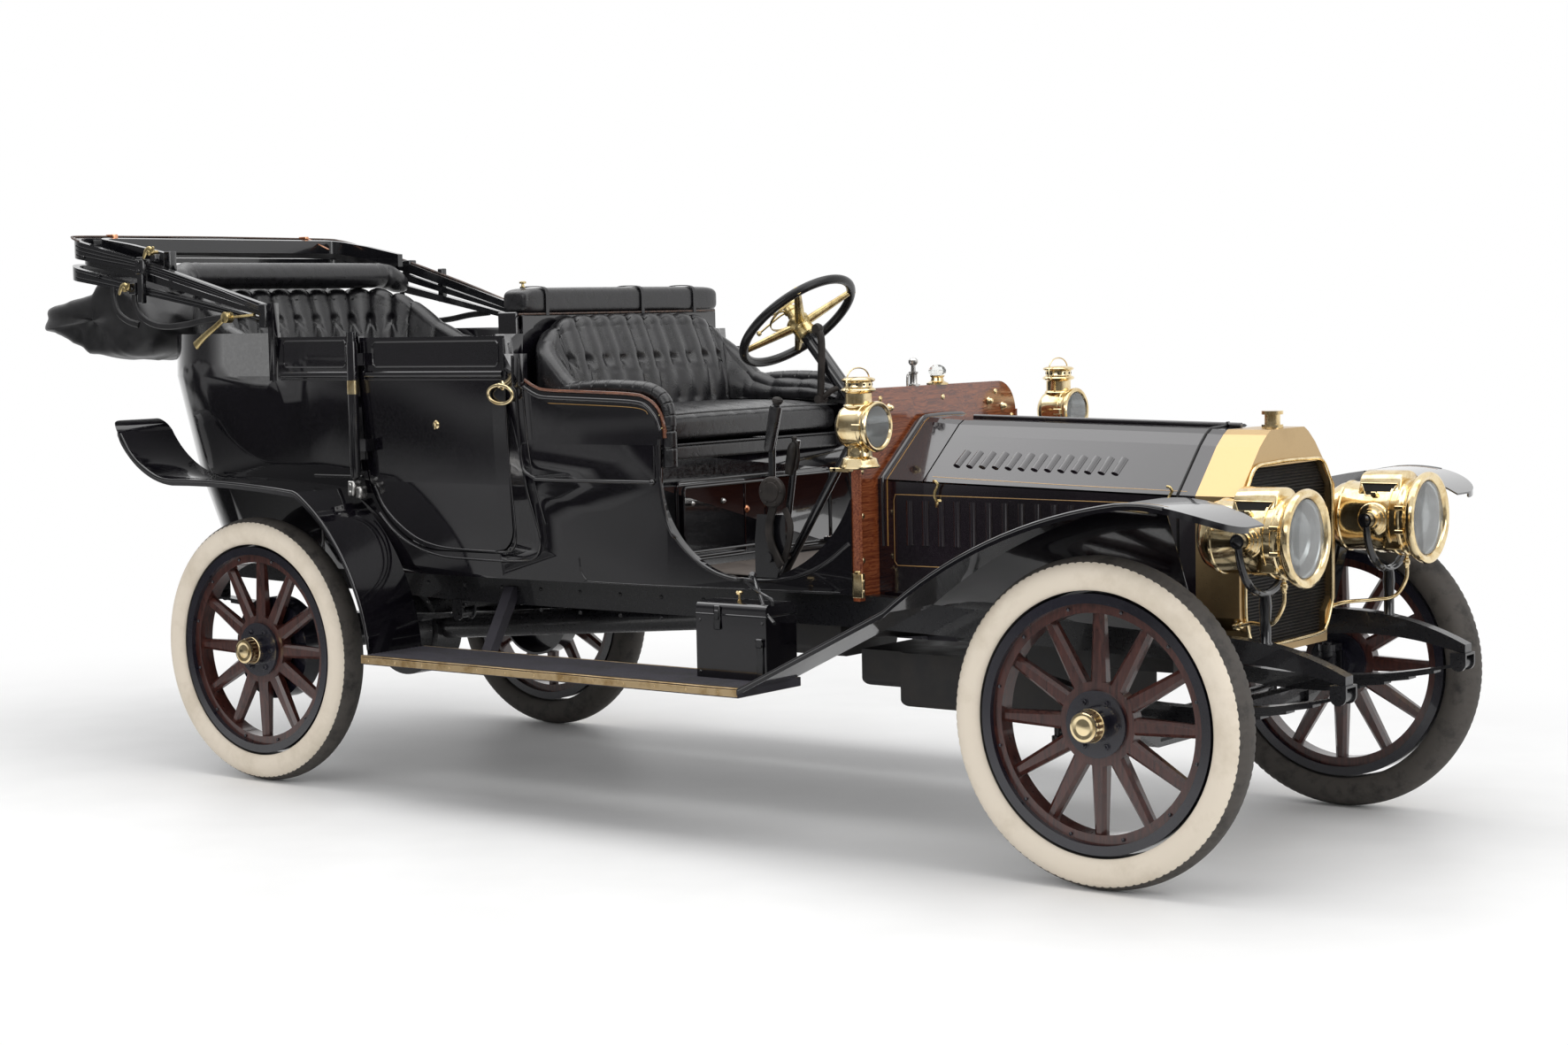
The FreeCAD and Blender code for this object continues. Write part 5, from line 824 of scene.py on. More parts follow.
def hood_bag():
    """The folded hood cloth in its sack: a side outline carried across the car, drawn in at
    both ends, with long slanting folds (ridged sines) that fade at the tied neck."""
    outline = curve([(x, 0, z) for x, z in BAG_OUTLINE], 160, closed=True)[:, (0, 2)]
    t = np.linspace(-1, 1, 220)
    y = BAG_HALF * np.sin(t * np.pi / 2 * 0.985) / np.sin(np.pi / 2 * 0.985)
    draw = np.sqrt(np.clip(1 - np.abs(t) ** 9, 0.0004, 1))[:, None]
    tail = 1 - 0.34 * np.abs(t)[:, None] ** 3 * np.clip((-4380 - outline[None, :, 0]) / 320, 0, 1)
    flat = outline[None] - BAG_CENTRE
    radial = flat / np.linalg.norm(flat, axis=-1, keepdims=True)
    a = np.linspace(0, 2 * np.pi, len(outline), endpoint=False)[None]
    across = y[:, None] / 1000
    ridges = (
        7 * (1 - np.abs(np.sin(9 * across + 2.1 * np.sin(2 * a + 1) + 1.5 * a)) ** 0.7)
        + 5 * (1 - np.abs(np.sin(17 * across - 3 * a + 1.7 * np.sin(3 * a))) ** 0.8)
        + 3 * np.sin(31 * across + 5 * np.sin(4 * a + 2) + 2 * a)
        + 6 * np.sin(3.1 * across + 3 * a))
    calm = np.clip((1690 - outline[None, :, 1]) / 120, 0.05, 1)
    shape = flat * draw[..., None] * tail[..., None] + radial * (ridges * calm * draw)[..., None]
    grid = np.empty((len(t), len(outline), 3))
    grid[..., 0] = BAG_CENTRE[0] + shape[..., 0]
    grid[..., 1] = y[:, None] + 5 * np.sin(3 * a) * calm
    grid[..., 2] = BAG_CENTRE[1] + shape[..., 1]
    stuffed("folded_hood_sack", [skin(grid)], "top_cloth", HOOD_LEATHER, 75)


def bow_edges():
    """Worn binding along the upper bow's edge, and the seams of the stacked bows' sides."""
    edge = [(-3290, 603, 1582), (-3560, 622, 1664), (-3856, 640, 1747), (-4060, 655, 1796),
            (-4180, 662, 1824), (-4236, 644, 1838), (-4259, 590, 1844), (-4261, 300, 1846),
            (-4262, 0, 1847), (-4261, -300, 1846), (-4259, -590, 1844), (-4236, -644, 1838),
            (-4180, -662, 1824)]
    make("upper_bow_binding", [sweep(curve(edge, 220), ring(4.6, 10, 0.8))], WORN_EDGE)
    seams = []
    for highs, run in SEAM_RUNS:
        for high in highs:
            line = [(x, y, low + rise * high) for x, y, low, rise in run]
            seams.append(sweep(curve(line, 90), ring(3.4, 8)))
    make("bow_seams", mirrored(seams), STOVED_BLACK)


def bar_lining():
    """The cloth that hangs from the rear bow's bar, in shallow waves."""
    top = curve([(-3900, 616, 1742), (-4060, 628, 1786), (-4150, 630, 1808), (-4205, 612, 1822),
                 (-4228, 560, 1832), (-4234, 300, 1836), (-4236, 0, 1838), (-4234, -300, 1836),
                 (-4228, -560, 1832)], 200)
    drop = np.linspace(0, 1, 14)
    run = np.linspace(0, 1, 200)[:, None]
    wave = 4 * np.sin(run * 46 + 2 * np.sin(9 * run)) * drop
    side = turn_of(np.gradient(top, axis=0))[0]
    inner = side * np.sign((side * (np.array((-3900, 0, 1800)) - top)).sum(1))[:, None]
    depth = 66 * (0.72 + 0.28 * np.sin(np.pi * run))
    grid = top[:, None] + inner[:, None] * (wave + 7 * drop)[..., None]
    grid[..., 2] -= depth * drop
    lining = make("rear_bar_lining", [skin(grid, around=False, ends=False)], HOOD_LEATHER, crease=75)
    thick = lining.modifiers.new("cloth_thickness", "SOLIDIFY")
    thick.thickness = 0.0016


def bow_metal():
    """Clamps, rivets, wing nuts, the prop lever and the clips of the folded bows."""
    iron = [block(low, high, 3) for low, high in BOW_CLAMPS]
    iron += [lathe([(0, 0), (0, 6), (3, 5), (4.5, 0)], place, RIGHT, 12) for place in BOW_RIVETS]
    make("bow_clamps", iron, STOVED_BLACK)
    metal = []
    for x, y, z in ((-3810, -640, 1775), (-3919, -664, 1652)):
        metal.append(lathe([(-22, 0), (-22, 7), (6, 7), (9, 12), (16, 12), (20, 7), (22, 0)], (x, y, z),
                           RIGHT, 16))
        ear = curve([(x - 30, y - 14, z - 20), (x - 16, y - 13, z + 4), (x, y - 13, z + 10),
                     (x + 16, y - 13, z + 4), (x + 24, y - 14, z + 18)], 24)
        metal.append(sweep(ear, ring(1.0, 10, 0.6), 5 + 6 * np.sin(np.pi * np.arange(24) / 23), up=LEFT))
    arm = curve([(-3400, -652, 1552), (-3424, -656, 1545), (-3470, -660, 1516), (-3530, -661, 1482),
                 (-3578, -658, 1452)], 40)
    metal.append(sweep(arm, ring(1.0, 14, 0.55), 10 + 6 * np.linspace(-0.4, 1, 40) ** 2, up=LEFT))
    metal.append(lathe([(-14, 0), (-14, 19), (12, 19), (15, 15), (16, 0)], (-3418, -655, 1545), RIGHT, 24))
    metal.append(sweep(curve([(-3418, -648, 1545), (-3360, -640, 1548), (-3310, -630, 1552)], 20),
                       ring(8, 10, 0.7)))
    make("top_wing_nuts", metal, OLD_BRASS)
    clips = [block((-4270, -470, 1838), (-4228, -446, 1852), 2),
             block((-4232, -468, 1812), (-4226, -448, 1850), 2),
             block((-4262, 452, 1840), (-4222, 470, 1852), 2),
             sweep(curve([(-4226, 462, 1846), (-4180, 470, 1826), (-4120, 474, 1800)], 20), bar(12, 3))]
    make("bow_clips", clips, COPPER)


def hood_straps():
    """Leather straps round the folded bows and down to the body, the same on both sides."""
    loops = [sweep(curve(points, 70), bar(width, thick, 0.6), up=LEFT) for width, thick, points in STRAPS]
    make("hood_straps", mirrored(loops), HOOD_LEATHER)


hood_bag()
bow_edges()
bar_lining()
bow_metal()
hood_straps()


# ---- body trim ---------------------------------------------------------------
DOOR = probe("door_right")
CHASSIS = probe("chassis_frame")
BELT_Z = 1350.0
DOOR_POST_X = -2874.0
DOOR_POST_Y = -606.0
DOOR_EDGE = (
    (-2246, 1462), (-2244, 1340), (-2241, 1200), (-2233, 1055), (-2218, 900), (-2214, 832),
    (-2226, 800), (-2262, 788), (-2420, 786), (-2560, 792), (-2660, 815), (-2742, 862), (-2802, 920),
    (-2834, 985))
DOOR_SURROUND = (
    (-2201, 1408), (-2202, 1340), (-2198, 1200), (-2190, 1080), (-2174, 980), (-2150, 890),
    (-2136, 830), (-2146, 786), (-2180, 764), (-2260, 757), (-2420, 757), (-2560, 762), (-2680, 790),
    (-2766, 838), (-2824, 896))
POST_BEAD = ((-2176, 1400), (-2174, 1300), (-2168, 1180), (-2156, 1069), (-2136, 973), (-2110, 880))
ENTRY_BEAD = (
    (-1668, 1100), (-1655, 1002), (-1632, 902), (-1583, 826), (-1508, 772), (-1432, 743), (-1340, 732),
    (-1248, 737), (-1153, 760), (-1080, 797), (-1010, 850))
SEAT_MOULDING = ((-2190, 1130), (-2192, 1085), (-2182, 1048), (-2146, 1026), (-2095, 1019), (-1690, 1019))
SILL_LINE = ((-1984, 777), (-1980, 741), (-1961, 712), (-1923, 704), (-1461, 704), (-1040, 706))
QUARTER_FRAME = ((-3218, 1375), (-3218, 1462), (-2925, 1462), (-2925, 1375))
DOOR_FRAME = ((-2806, 1375), (-2806, 1455), (-2266, 1455), (-2266, 1375))


def frame_line(corners, round_by=10.0):
    """A closed line round a panel: its corners are cut and the runs between them are straight."""
    corners = np.asarray(corners, float)
    before, after = np.roll(corners, 1, 0), np.roll(corners, -1, 0)

    def short(to):
        way = to - corners
        return corners + way / np.linalg.norm(way, axis=1, keepdims=True) * round_by

    return np.stack((short(before), short(after)), 1).reshape(-1, 2)


def closed_bead(corners, width, height, tree=None, toward=LEFT, axes=(0, 2), plane=0.0, round_by=10.0):
    """A bead round a panel, laid on the faces that it meets."""
    line = frame_line(corners, round_by)
    line = np.vstack((line, line[:1]))
    step = run_of(line)
    t = np.linspace(0, step[-1], 120, endpoint=False)
    points = np.full((120, 3), plane)
    for k, axis in enumerate(axes):
        points[:, axis] = np.interp(t, step, line[:, k])
    up = tuple(-c for c in toward)
    return sweep(laid(tree or BODY, points, toward), ring(width / 2, 8, 2 * height / width), closed=True,
                 up=up)


def spot(x, z, tree=None):
    """The place on the car's right side at x and z."""
    return laid(tree or BODY, [(x, 0.0, z)], LEFT)[0]


def dome(centre, axis, radius, height, count=20):
    """A round head: a low quarter oval turned about its axis, sunk 1 mm into its seat."""
    a = np.linspace(0, np.pi / 2, 6)
    profile = np.stack((height * np.sin(a), radius * np.cos(a)), -1)
    return lathe(np.vstack(((-1.0, 0.0), (-1.0, radius), profile)), centre, axis, count)


def pair(name, shapes, finish, body="root", crease=38.0):
    """A piece on the right and its mirror on the left, each riding on its own body; on the
    root, both are one piece."""
    if body == "root":
        make(name, mirrored(shapes), finish, crease=crease)
        return
    make(name + "_right", shapes, finish, body + "_right", crease=crease)
    make(name + "_left", flipped(shapes), finish, body + "_left", crease=crease)


def body_trim():
    """Half-round beads along the belt, round the door and its posts, and along the entry."""
    pair("belt_beads", [
        moulding(((-3232, BELT_Z), (-2896, BELT_Z)), 22, 7, 40, False),
        moulding(((-3232, BELT_Z - 17), (-2896, BELT_Z - 17)), 6, 3, 40, False),
        moulding(((-3245, 1468), (-3246, 1352)), 10, 4, 20, False),
        moulding(((-3108, 1013), (-2886, 1013)), 12, 6, 20, False),
        closed_bead(QUARTER_FRAME, 6, 3),
    ], BODY_BLACK)
    pair("door_beads", [
        moulding(((-2846, BELT_Z), (-2252, BELT_Z)), 22, 7, 60, False, DOOR),
        moulding(((-2846, BELT_Z - 17), (-2252, BELT_Z - 17)), 6, 3, 60, False, DOOR),
        moulding(DOOR_EDGE, 7, 4, 140, True, DOOR),
        closed_bead(DOOR_FRAME, 6, 3, DOOR),
    ], BODY_BLACK, "door")
    pair("body_beads", [
        moulding(DOOR_SURROUND, 8, 5, 150),
        moulding(POST_BEAD, 6, 4, 60),
        moulding(ENTRY_BEAD, 13, 6, 120),
        moulding(SEAT_MOULDING, 12, 7, 90),
        moulding(SILL_LINE, 5, 3, 90),
        moulding(((-2200, 1118), (-2200, 1395)), 6, 4, 20, False),
        moulding(((-1676, 1130), (-1676, 1030)), 6, 4, 12, False),
        dome(spot(-1684, 1019), RIGHT, 11, 12),
    ], BODY_BLACK)


def seat_box_trim():
    """A beaded frame, two knobs and a plug on the front of the seat box."""
    pair("seat_base_frame", [
        closed_bead(((-60, 1000), (-60, 775), (-400, 775), (-400, 1000)), 9, 5, BODY, BACKWARD, (1, 2),
                    -1200.0, 6),
    ], BODY_BLACK)
    knobs = laid(BODY, [(-1200, -324, 942), (-1200, -170, 940)], BACKWARD)
    make("seat_box_knobs", [dome(p, AHEAD, 9, 12) for p in knobs], NICKEL)
    copper = laid(BODY, [(-1200, -51, 906)], BACKWARD)
    make("seat_box_plug", [dome(p, AHEAD, 13, 10) for p in copper], COPPER)


def door_trim():
    """Ring handles, escutcheons, the pillars before the doors with their bands and feet, and
    the rivets of the frame below."""
    handle = spot(-2252, 1312, DOOR)
    a = np.linspace(0, 2 * np.pi, 48, endpoint=False)
    oval = np.stack((-2252 + 52 * np.cos(a), handle[1] - 13 - 4 * np.sin(a), 1286 + 29 * np.sin(a)), -1)
    pair("door_ring_handles", [
        sweep(oval, ring(6.2, 12, 0.8), closed=True, up=RIGHT),
        lathe([(-2, 0), (-2, 15), (3, 15), (6, 11), (10, 9), (18, 8.5), (21, 6), (22, 0)],
              (-2252, handle[1], 1314), RIGHT, 24),
    ], BRASS, "door", 50)
    lock = spot(-2542, 1188, DOOR)
    pair("door_escutcheons", [
        lathe([(-1, 0), (-1, 14), (2, 14), (4.5, 11), (5.5, 8), (6, 0)], lock, RIGHT, 24),
        block(lock + (-3, -9, -15), lock + (3, -5, 6), 1.5),
    ], BRASS, "door")
    pair("door_pillars", [
        lathe([(0, 0), (0, 9), (6, 15), (40, 17.5), (420, 17.5), (450, 16), (456, 0)],
              (DOOR_POST_X, DOOR_POST_Y, 1008), UP, 28),
    ], BODY_BLACK)
    pair("door_post_bands", [
        lathe([(0, 17), (1, 19), (45, 19), (46, 17)], (DOOR_POST_X, DOOR_POST_Y, 1286), UP, 28),
    ], BRASS)
    pair("door_post_feet", [
        block((DOOR_POST_X - 25, -622, 952), (DOOR_POST_X + 3, -578, 1003), 4),
        block((DOOR_POST_X + 8, -618, 944), (DOOR_POST_X + 30, -580, 985), 5),
        dome((DOOR_POST_X - 12, -622, 990), RIGHT, 6, 4, 12),
        dome((DOOR_POST_X - 12, -622, 966), RIGHT, 6, 4, 12),
    ], NICKEL)
    rivets = laid(CHASSIS, [(x, 0, z) for x in range(-2760, -1420, 168) for z in (655, 590)], LEFT)
    pair("frame_rivets", [dome(p, RIGHT, 7, 4, 12) for p in rivets], CHASSIS_BLACK)


body_trim()
seat_box_trim()
door_trim()


# ---- bonnet and scuttle ------------------------------------------------------
BONNET_LID = probe("bonnet_right")
SIDES = probe("bonnet_sides")
SCUTTLE = probe("scuttle")


def arch(x, tree, count=110, lift=0.2):
    """A line over the bonnet or scuttle at x, from low on the right side to low on the left:
    rays towards a line through the middle, 900 mm up."""
    rows = []
    for t in np.linspace(-math.pi * 0.56, math.pi * 0.56, count):
        toward = np.array((0.0, -math.sin(t), -math.cos(t)))
        rows.append(laid(tree, [np.array((x, 0.0, 900.0)) - toward * 1200], toward, lift)[0])
    return np.array(rows)


def bonnet_trim():
    """Mouldings and gold lines, the centre hinge's knuckles, catches and the front welt."""
    make("scuttle_dash_moulding", [sweep(arch(-960, SCUTTLE), ring(8, 10, 0.8), up=AHEAD)], BONNET_BLACK)
    make("scuttle_gold_line", [sweep(arch(-944, SCUTTLE), bar(0.5, 3.4, 0.1), up=AHEAD)], GOLD_LINE)
    line = laid(BONNET_LID, curve([(-800, -320, 1062), (-400, -312, 1050), (20, -300, 1040)], 60),
                CHAMFER_IN, 0.2)
    for place, side in (("right", -1), ("left", 1)):
        gold = sweep(line * (1, -side, 1), bar(2.4, 0.5, 0.1), up=(0, side, 1))
        make("bonnet_gold_line_" + place, [gold], GOLD_LINE, "bonnet_" + place)
    panel = ((-922, 990), (-922, 782), (-40, 782), (-40, 984))
    pair("side_panel_gold_lines", [closed_bead(panel, 2.2, 0.4, SIDES, round_by=5)], GOLD_LINE)
    hinge = curve([(-812, 0, 1204), (-420, 0, 1194), (-8, 0, 1186)], 60)
    knuckles = [sweep(hinge[int(k * 6.6):int(k * 6.6) + 6], ring(5.2, 12)) for k in range(9)]
    make("bonnet_hinge_knuckles", knuckles, STOVED_BLACK)
    catches = []
    for x in (-770, -20):
        foot = laid(SIDES, [(x, 0, 985)], LEFT)[0]
        hook = [foot + d for d in ((0, -2, -14), (-2, -12, -6), (-3, -16, 10), (2, -13, 26),
                                   (8, -14, 36), (4, -18, 46), (-6, -15, 48))]
        catches.append(sweep(curve(hook, 36), ring(4.2, 10), up=(1, 0.2, 0)))
        catches.append(block(foot + (-11, -4, -30), foot + (11, 3, -6), 2))
        catches.append(dome(foot + (0, -4, -18), RIGHT, 6, 6, 14))
    pair("bonnet_catches", catches, OLD_BRASS, crease=50)
    make("bonnet_front_welt", [sweep(arch(-3, SCUTTLE, 90, 0.0), ring(5.5, 10, 0.7), up=AHEAD)],
         BLACK_RUBBER)


bonnet_trim()

# ---- lamps -------------------------------------------------------------------
HEADLAMP = (436.0, 379.0, 912.0)
SIDELAMP = (-817.0, 540.0, 1199.0)
# outlines: (along, radius) from the lens back, or upwards
HEADLAMP_DRUM = (
    (-299, 0), (-299, 56), (-295, 70), (-284, 84), (-268, 93), (-250, 97), (-247, 101), (-241, 101),
    (-238, 98), (-150, 100), (-144, 104), (-92, 104), (-90, 109), (-84, 109), (-82, 106), (-64, 107),
    (-60, 111), (-54, 111), (-50, 108), (-40, 109), (-34, 114), (-27, 124), (-18, 129.5), (-10, 131),
    (-3, 128), (0, 121), (-2, 113), (-7, 107), (-14, 104), (-17, 103))
HEADLAMP_DISH = (
    (-17.5, 103), (-26, 101), (-29, 96), (-52, 91), (-55, 86), (-84, 79), (-88, 73), (-118, 62),
    (-122, 55), (-142, 40), (-152, 20), (-155, 0))
HEADLAMP_LUGS = (
    # two corners from the lamp's centre, bevel: nut, riveted box, catch, hinge halves
    ((-143, 134, -13), (-117, 136.8, 13), 1.2),
    ((-112, 74, -86), (-52, 86, -46), 3),
    ((-146, 76, 62), (-128, 88, 76), 2),
    ((-64, 101, -40), (-36, 111, -28), 2),
    ((-64, 101, 28), (-36, 111, 40), 2))
SIDELAMP_BARREL = (
    (-126, 0), (-126, 34), (-122, 46), (-112, 57), (-100, 63), (-92, 64.5), (-44, 64.5), (-42, 66.5),
    (-38, 66.5), (-36, 64.5), (-24, 65), (-20, 68), (-14, 71.5), (-8, 72.5), (-3, 71), (0, 66),
    (-2, 61), (-7, 58), (-9, 57))
SIDELAMP_DISH = ((-9.5, 57), (-26, 54), (-48, 46), (-66, 32), (-74, 14), (-76, 0))
SIDELAMP_FONT = (
    (-118, 0), (-118, 57), (-114, 59), (-110, 57), (-106, 54), (-92, 50), (-89, 47), (-87, 40),
    (-84, 37), (-62, 35), (-58, 38), (-52, 38), (-50, 30))
SIDELAMP_STACK = (
    (50, 30), (54, 42), (58, 44), (62, 42), (64, 38.5), (94, 38.5), (97, 42), (99, 48), (103, 50.5),
    (107, 48), (109, 45), (111, 41), (113, 40), (125, 40), (127, 44), (130, 48), (133, 48.5), (136, 46),
    (139, 38), (141, 22), (141.5, 0))
SIDELAMP_BAIL = (
    (-57, 100), (-57, 122), (-50, 146), (-30, 161), (0, 166), (30, 161), (50, 146), (57, 122), (57, 100))


def lugs(centre, way, boxes):
    """Small plates on a lamp's side: corners from its centre, outward for way -1 or 1."""
    turn = (1, way, 1)
    return [block(centre + np.multiply(low, turn), centre + np.multiply(high, turn), bevel)
            for low, high, bevel in boxes]


def slot_frame(way):
    """The line round the slot in a headlamp hood's side, from the lamp's centre."""
    corners = np.array([(-184, 63.5, 98), (-74, 63.5, 98), (-92, 75, 64), (-166, 75, 64)])
    line = np.vstack([np.linspace(corners[i], corners[(i + 1) % 4], 9)[:-1] for i in range(4)])
    return line * (1, way, 1)


def headlamp_hood():
    """The half-round hood over the drum, as rings from back to front."""
    a = np.linspace(0, np.pi, 15)[1:-1]
    half = np.stack((58 * np.cos(a), 100 + 33 * np.sin(a) ** 0.8), -1)
    outline = np.vstack(((72, 60), (72, 74), (60, 99), half, (-60, 99), (-72, 74), (-72, 60)))
    rows = ((-192, 0.93), (-190, 0.97), (-186, 1.0), (-72, 1.0), (-68, 0.97), (-66, 0.93))
    return np.array([[(r, y * k, 60 + (z - 60) * k) for y, z in outline] for r, k in rows])


def headlamps():
    """Acetylene headlamp: a drum turned from its outline, a rolled lens ring, a stepped
    reflector, a half-round hood with a framed slot in each side, filled with a near-black sheet
    of painted shade, side bosses with square nuts, a catch, a hinge and a riveted box below.
    Gives back the lenses."""
    metal, silver, dark, glass = [], [], [], []
    for side in (-1, 1):
        c = np.array(HEADLAMP) * (1, side, 1)
        metal.append(lathe(HEADLAMP_DRUM, c, AHEAD, 72, ends=False))
        silver.append(lathe(HEADLAMP_DISH, c, AHEAD, 72, ends=False))
        glass.append(lathe([(-15, 0), (-15, 103), (-11, 103), (-9.5, 98), (-9.5, 0)], c, AHEAD, 64))
        silver.append(lathe([(-150, 0), (-150, 9), (-120, 9), (-114, 5), (-108, 0)], c, AHEAD, 16))
        metal.append(skin(headlamp_hood() + c))
        for way in (-1, 1):
            line = slot_frame(way)
            out = (0, way, 0)
            metal.append(sweep(line + c, ring(2.6, 8), closed=True, up=(0, way, 0.4)))
            # painted shade: a near-black sheet closes the slot, standing for the shade inside the hood
            dark.append(skin(np.stack((line + (0, way * 0.2, 0), line * (1, 0.96, 1)), 0) + c))
            metal.append(lathe([(0, 47), (6, 47), (9, 44), (12, 44), (15, 39), (19, 39), (23, 31),
                                (27, 30), (29, 24), (36, 22), (38, 0)], c + (-130, way * 98, 0), out, 40))
            metal += lugs(c, way, HEADLAMP_LUGS)
            metal += [dome(c + (x, way * 86, z), out, 2.4, 2, 8) for x in (-106, -58) for z in (-80, -52)]
            metal.append(dome(c + (-235, way * 97, 24), out, 3, 3, 10))
        metal.append(lathe([(0, 8), (4, 9), (8, 5), (14, 6), (17, 0)], c + (-76, 0, -124), UP, 14))
    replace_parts(make("headlamp_shells", metal, BRASS, crease=35), "headlamps")
    make("headlamp_reflectors", silver, SILVER, crease=30)
    make("headlamp_slot_shade", dark, OPENING_SHADE_BLACK)
    return glass


def sidelamps(glass):
    """Oil side lamp: a barrel with a bead, a font below, a chimney with a rolled rim, a pierced
    band whose holes are near-black discs of painted shade, and a low cap, a wire bail in two ears,
    and a bevelled lens in its ring, on a bent bracket. Takes the other lamps' lenses, to make one
    piece of all."""
    x, y, z = SIDELAMP
    metal, silver, dark = [], [], []
    for side in (-1, 1):
        c = np.array((x, side * y, z))
        stem = c + (-70, 0, 0)
        metal += [lathe(SIDELAMP_BARREL, c, AHEAD, 56, ends=False), lathe(SIDELAMP_FONT, stem, UP, 44),
                  lathe(SIDELAMP_STACK, stem, UP, 44)]
        silver.append(lathe(SIDELAMP_DISH, c, AHEAD, 48, ends=False))
        glass.append(lathe([(-9, 0), (-9, 58), (-5.5, 58), (-3.8, 52), (-3.8, 0)], c, AHEAD, 48))
        # painted shade: near-black discs, flush on the chimney's band, stand for the dark insides of its
        # holes
        for t in np.arange(12) * np.pi / 6:
            out = np.array((math.cos(t), math.sin(t), 0))
            dark.append(lathe([(-1.5, 0), (-1.5, 3.6), (0.3, 3.6), (0.4, 0)],
                              stem + 40.4 * out + (0, 0, 119),
                              out, 10))
        bail = [stem + (0, across, up) for across, up in SIDELAMP_BAIL]
        metal.append(sweep(curve(bail, 60), ring(2.2, 8), up=AHEAD))
        for way in (-1, 1):
            metal.append(lathe([(0, 7), (8, 7), (11, 5), (13, 0)], stem + (0, way * 48, 103), (0, way, 0),
                               14))
            metal += lugs(c, way, [((-50, 63, -9), (-16, 69, 9), 2)])
            metal.append(lathe([(-7, 4), (7, 4)], c + (-24, way * 70.5, 0), UP, 12))
        metal.append(lathe([(0, 15), (2, 17), (8, 17), (11, 14), (12, 0)], stem + (16, side * 36, -72),
                           (0.3, side, 0), 20))
        metal.append(block((x - 100, side * (y - 12), z - 131), (-976, side * (y + 12), z - 119), 2))
        metal.append(block((-986, side * 388, z - 131), (-962, side * (y + 12), z - 119), 2))
    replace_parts(make("sidelamp_shells", metal, BRASS, crease=35), "sidelamps")
    make("sidelamp_reflectors", silver, SILVER, crease=30)
    make("sidelamp_vent_shade", dark, OPENING_SHADE_BLACK)
    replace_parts(make("lamp_glasses", glass, GLASS, crease=30), "lamp_lenses")


def lamp_mountings():
    """Flat forged fork arms over the round hoops, union nuts, and the brass gas pipes."""
    x, y, z = HEADLAMP[0] - 130, HEADLAMP[1], HEADLAMP[2]
    a = np.linspace(-np.pi, 0, 41)
    arms, pipes = [], []
    for side in (-1, 1):
        hoop = np.stack((np.full(41, x), side * y + 149.2 * np.cos(a), z + 149.2 * np.sin(a)), -1)
        arms.append(sweep(hoop, bar(12.5, 25, 0.7), scale=0.86 + 0.3 * np.sin(-a) ** 2, up=AHEAD))
        arms.append(lathe([(0, 15), (26, 17), (60, 14.6), (118, 14.6), (124, 19), (130, 19)],
                          (x, side * y, z - 158), DOWN, 24))
        for way in (-1, 1):
            arms.append(lathe([(0, 18), (3, 20), (9, 20), (12, 16), (13, 0)],
                              (x, side * y + way * 146, z), (0, way, 0), 6))
        supply = [(x + along_x, side * (y - inward), z - drop) for along_x, inward, drop in (
            (54, 0, 126), (52, 0, 178), (20, 6, 226), (-30, 40, 236), (-84, 84, 240), (-128, 100, 252))]
        pipes.append(sweep(curve(supply, 70), ring(5.5, 12), up=(0.2, 1, 0.1)))
        pipes.append(lathe([(0, 8), (3, 10), (13, 10), (16, 7), (24, 7)], (x + 54, side * y, z - 122), DOWN,
                           6))
        pipes.append(lathe([(0, 9), (12, 9), (14, 12), (24, 12), (26, 8), (32, 0)],
                           (x - 122, side * (y - 98), z - 250), (-0.9, side * -0.3, -0.2), 8))
        pipes.append(lathe([(0, 4), (14, 4), (15, 9), (19, 9), (20, 0)],
                           (x - 140, side * (y - 103), z - 250), UP, 12))
    make("headlamp_fork_arms", arms, STOVED_BLACK, crease=40)
    make("gas_pipes", pipes, BRASS, crease=50)


sidelamps(headlamps())
lamp_mountings()

# ---- running boards, toolbox and wing edges ----------------------------------
REAR_WHEEL_X = -3225.0
BOARD_TOP = 466.0
BOARD_REAR = -2634
BOARD_FRONT = -1114
MATTING_RUN = (-2630, -1118)
TOOLBOX_REAR = -1382
TOOLBOX_SIDE = -694


def wing_edges():
    """Rolled wire edges and gold lines: radial and downward lines laid on the wings."""
    rear, front = probe("rear_wings"), probe("front_wings")
    arc = []
    for t in np.radians(np.linspace(4, 112, 60)):
        out = np.array((math.cos(t), 0.0, math.sin(t)))
        arc.append(laid(rear, [np.array((REAR_WHEEL_X, -796.0, TYRE_RADIUS)) + 1200 * out], -out)[0])
    tail = curve([arc[-1], (-3600, -796, 1003), (-3687, -796, 1030), (-3770, -796, 1084),
                  (-3826, -794, 1154)], 30)
    edge = np.vstack((arc[:-1], tail))
    nose = np.array([(x, -841.0, 1400.0) for x in np.linspace(-1106, 262, 90)])
    front_edge = laid(front, nose, DOWN)
    crown = laid(front, nose + (0, 28, 0), DOWN, 0.3)
    pair("wing_rolled_edges", [
        sweep(edge, ring(5.4, 10), up=LEFT),
        sweep(front_edge - (0, 0, 3), ring(5.4, 10), up=LEFT),
    ], BODY_BLACK)
    pair("wing_gold_lines", [sweep(crown, bar(0.5, 2.2, 0.1), up=LEFT)], GOLD_LINE)


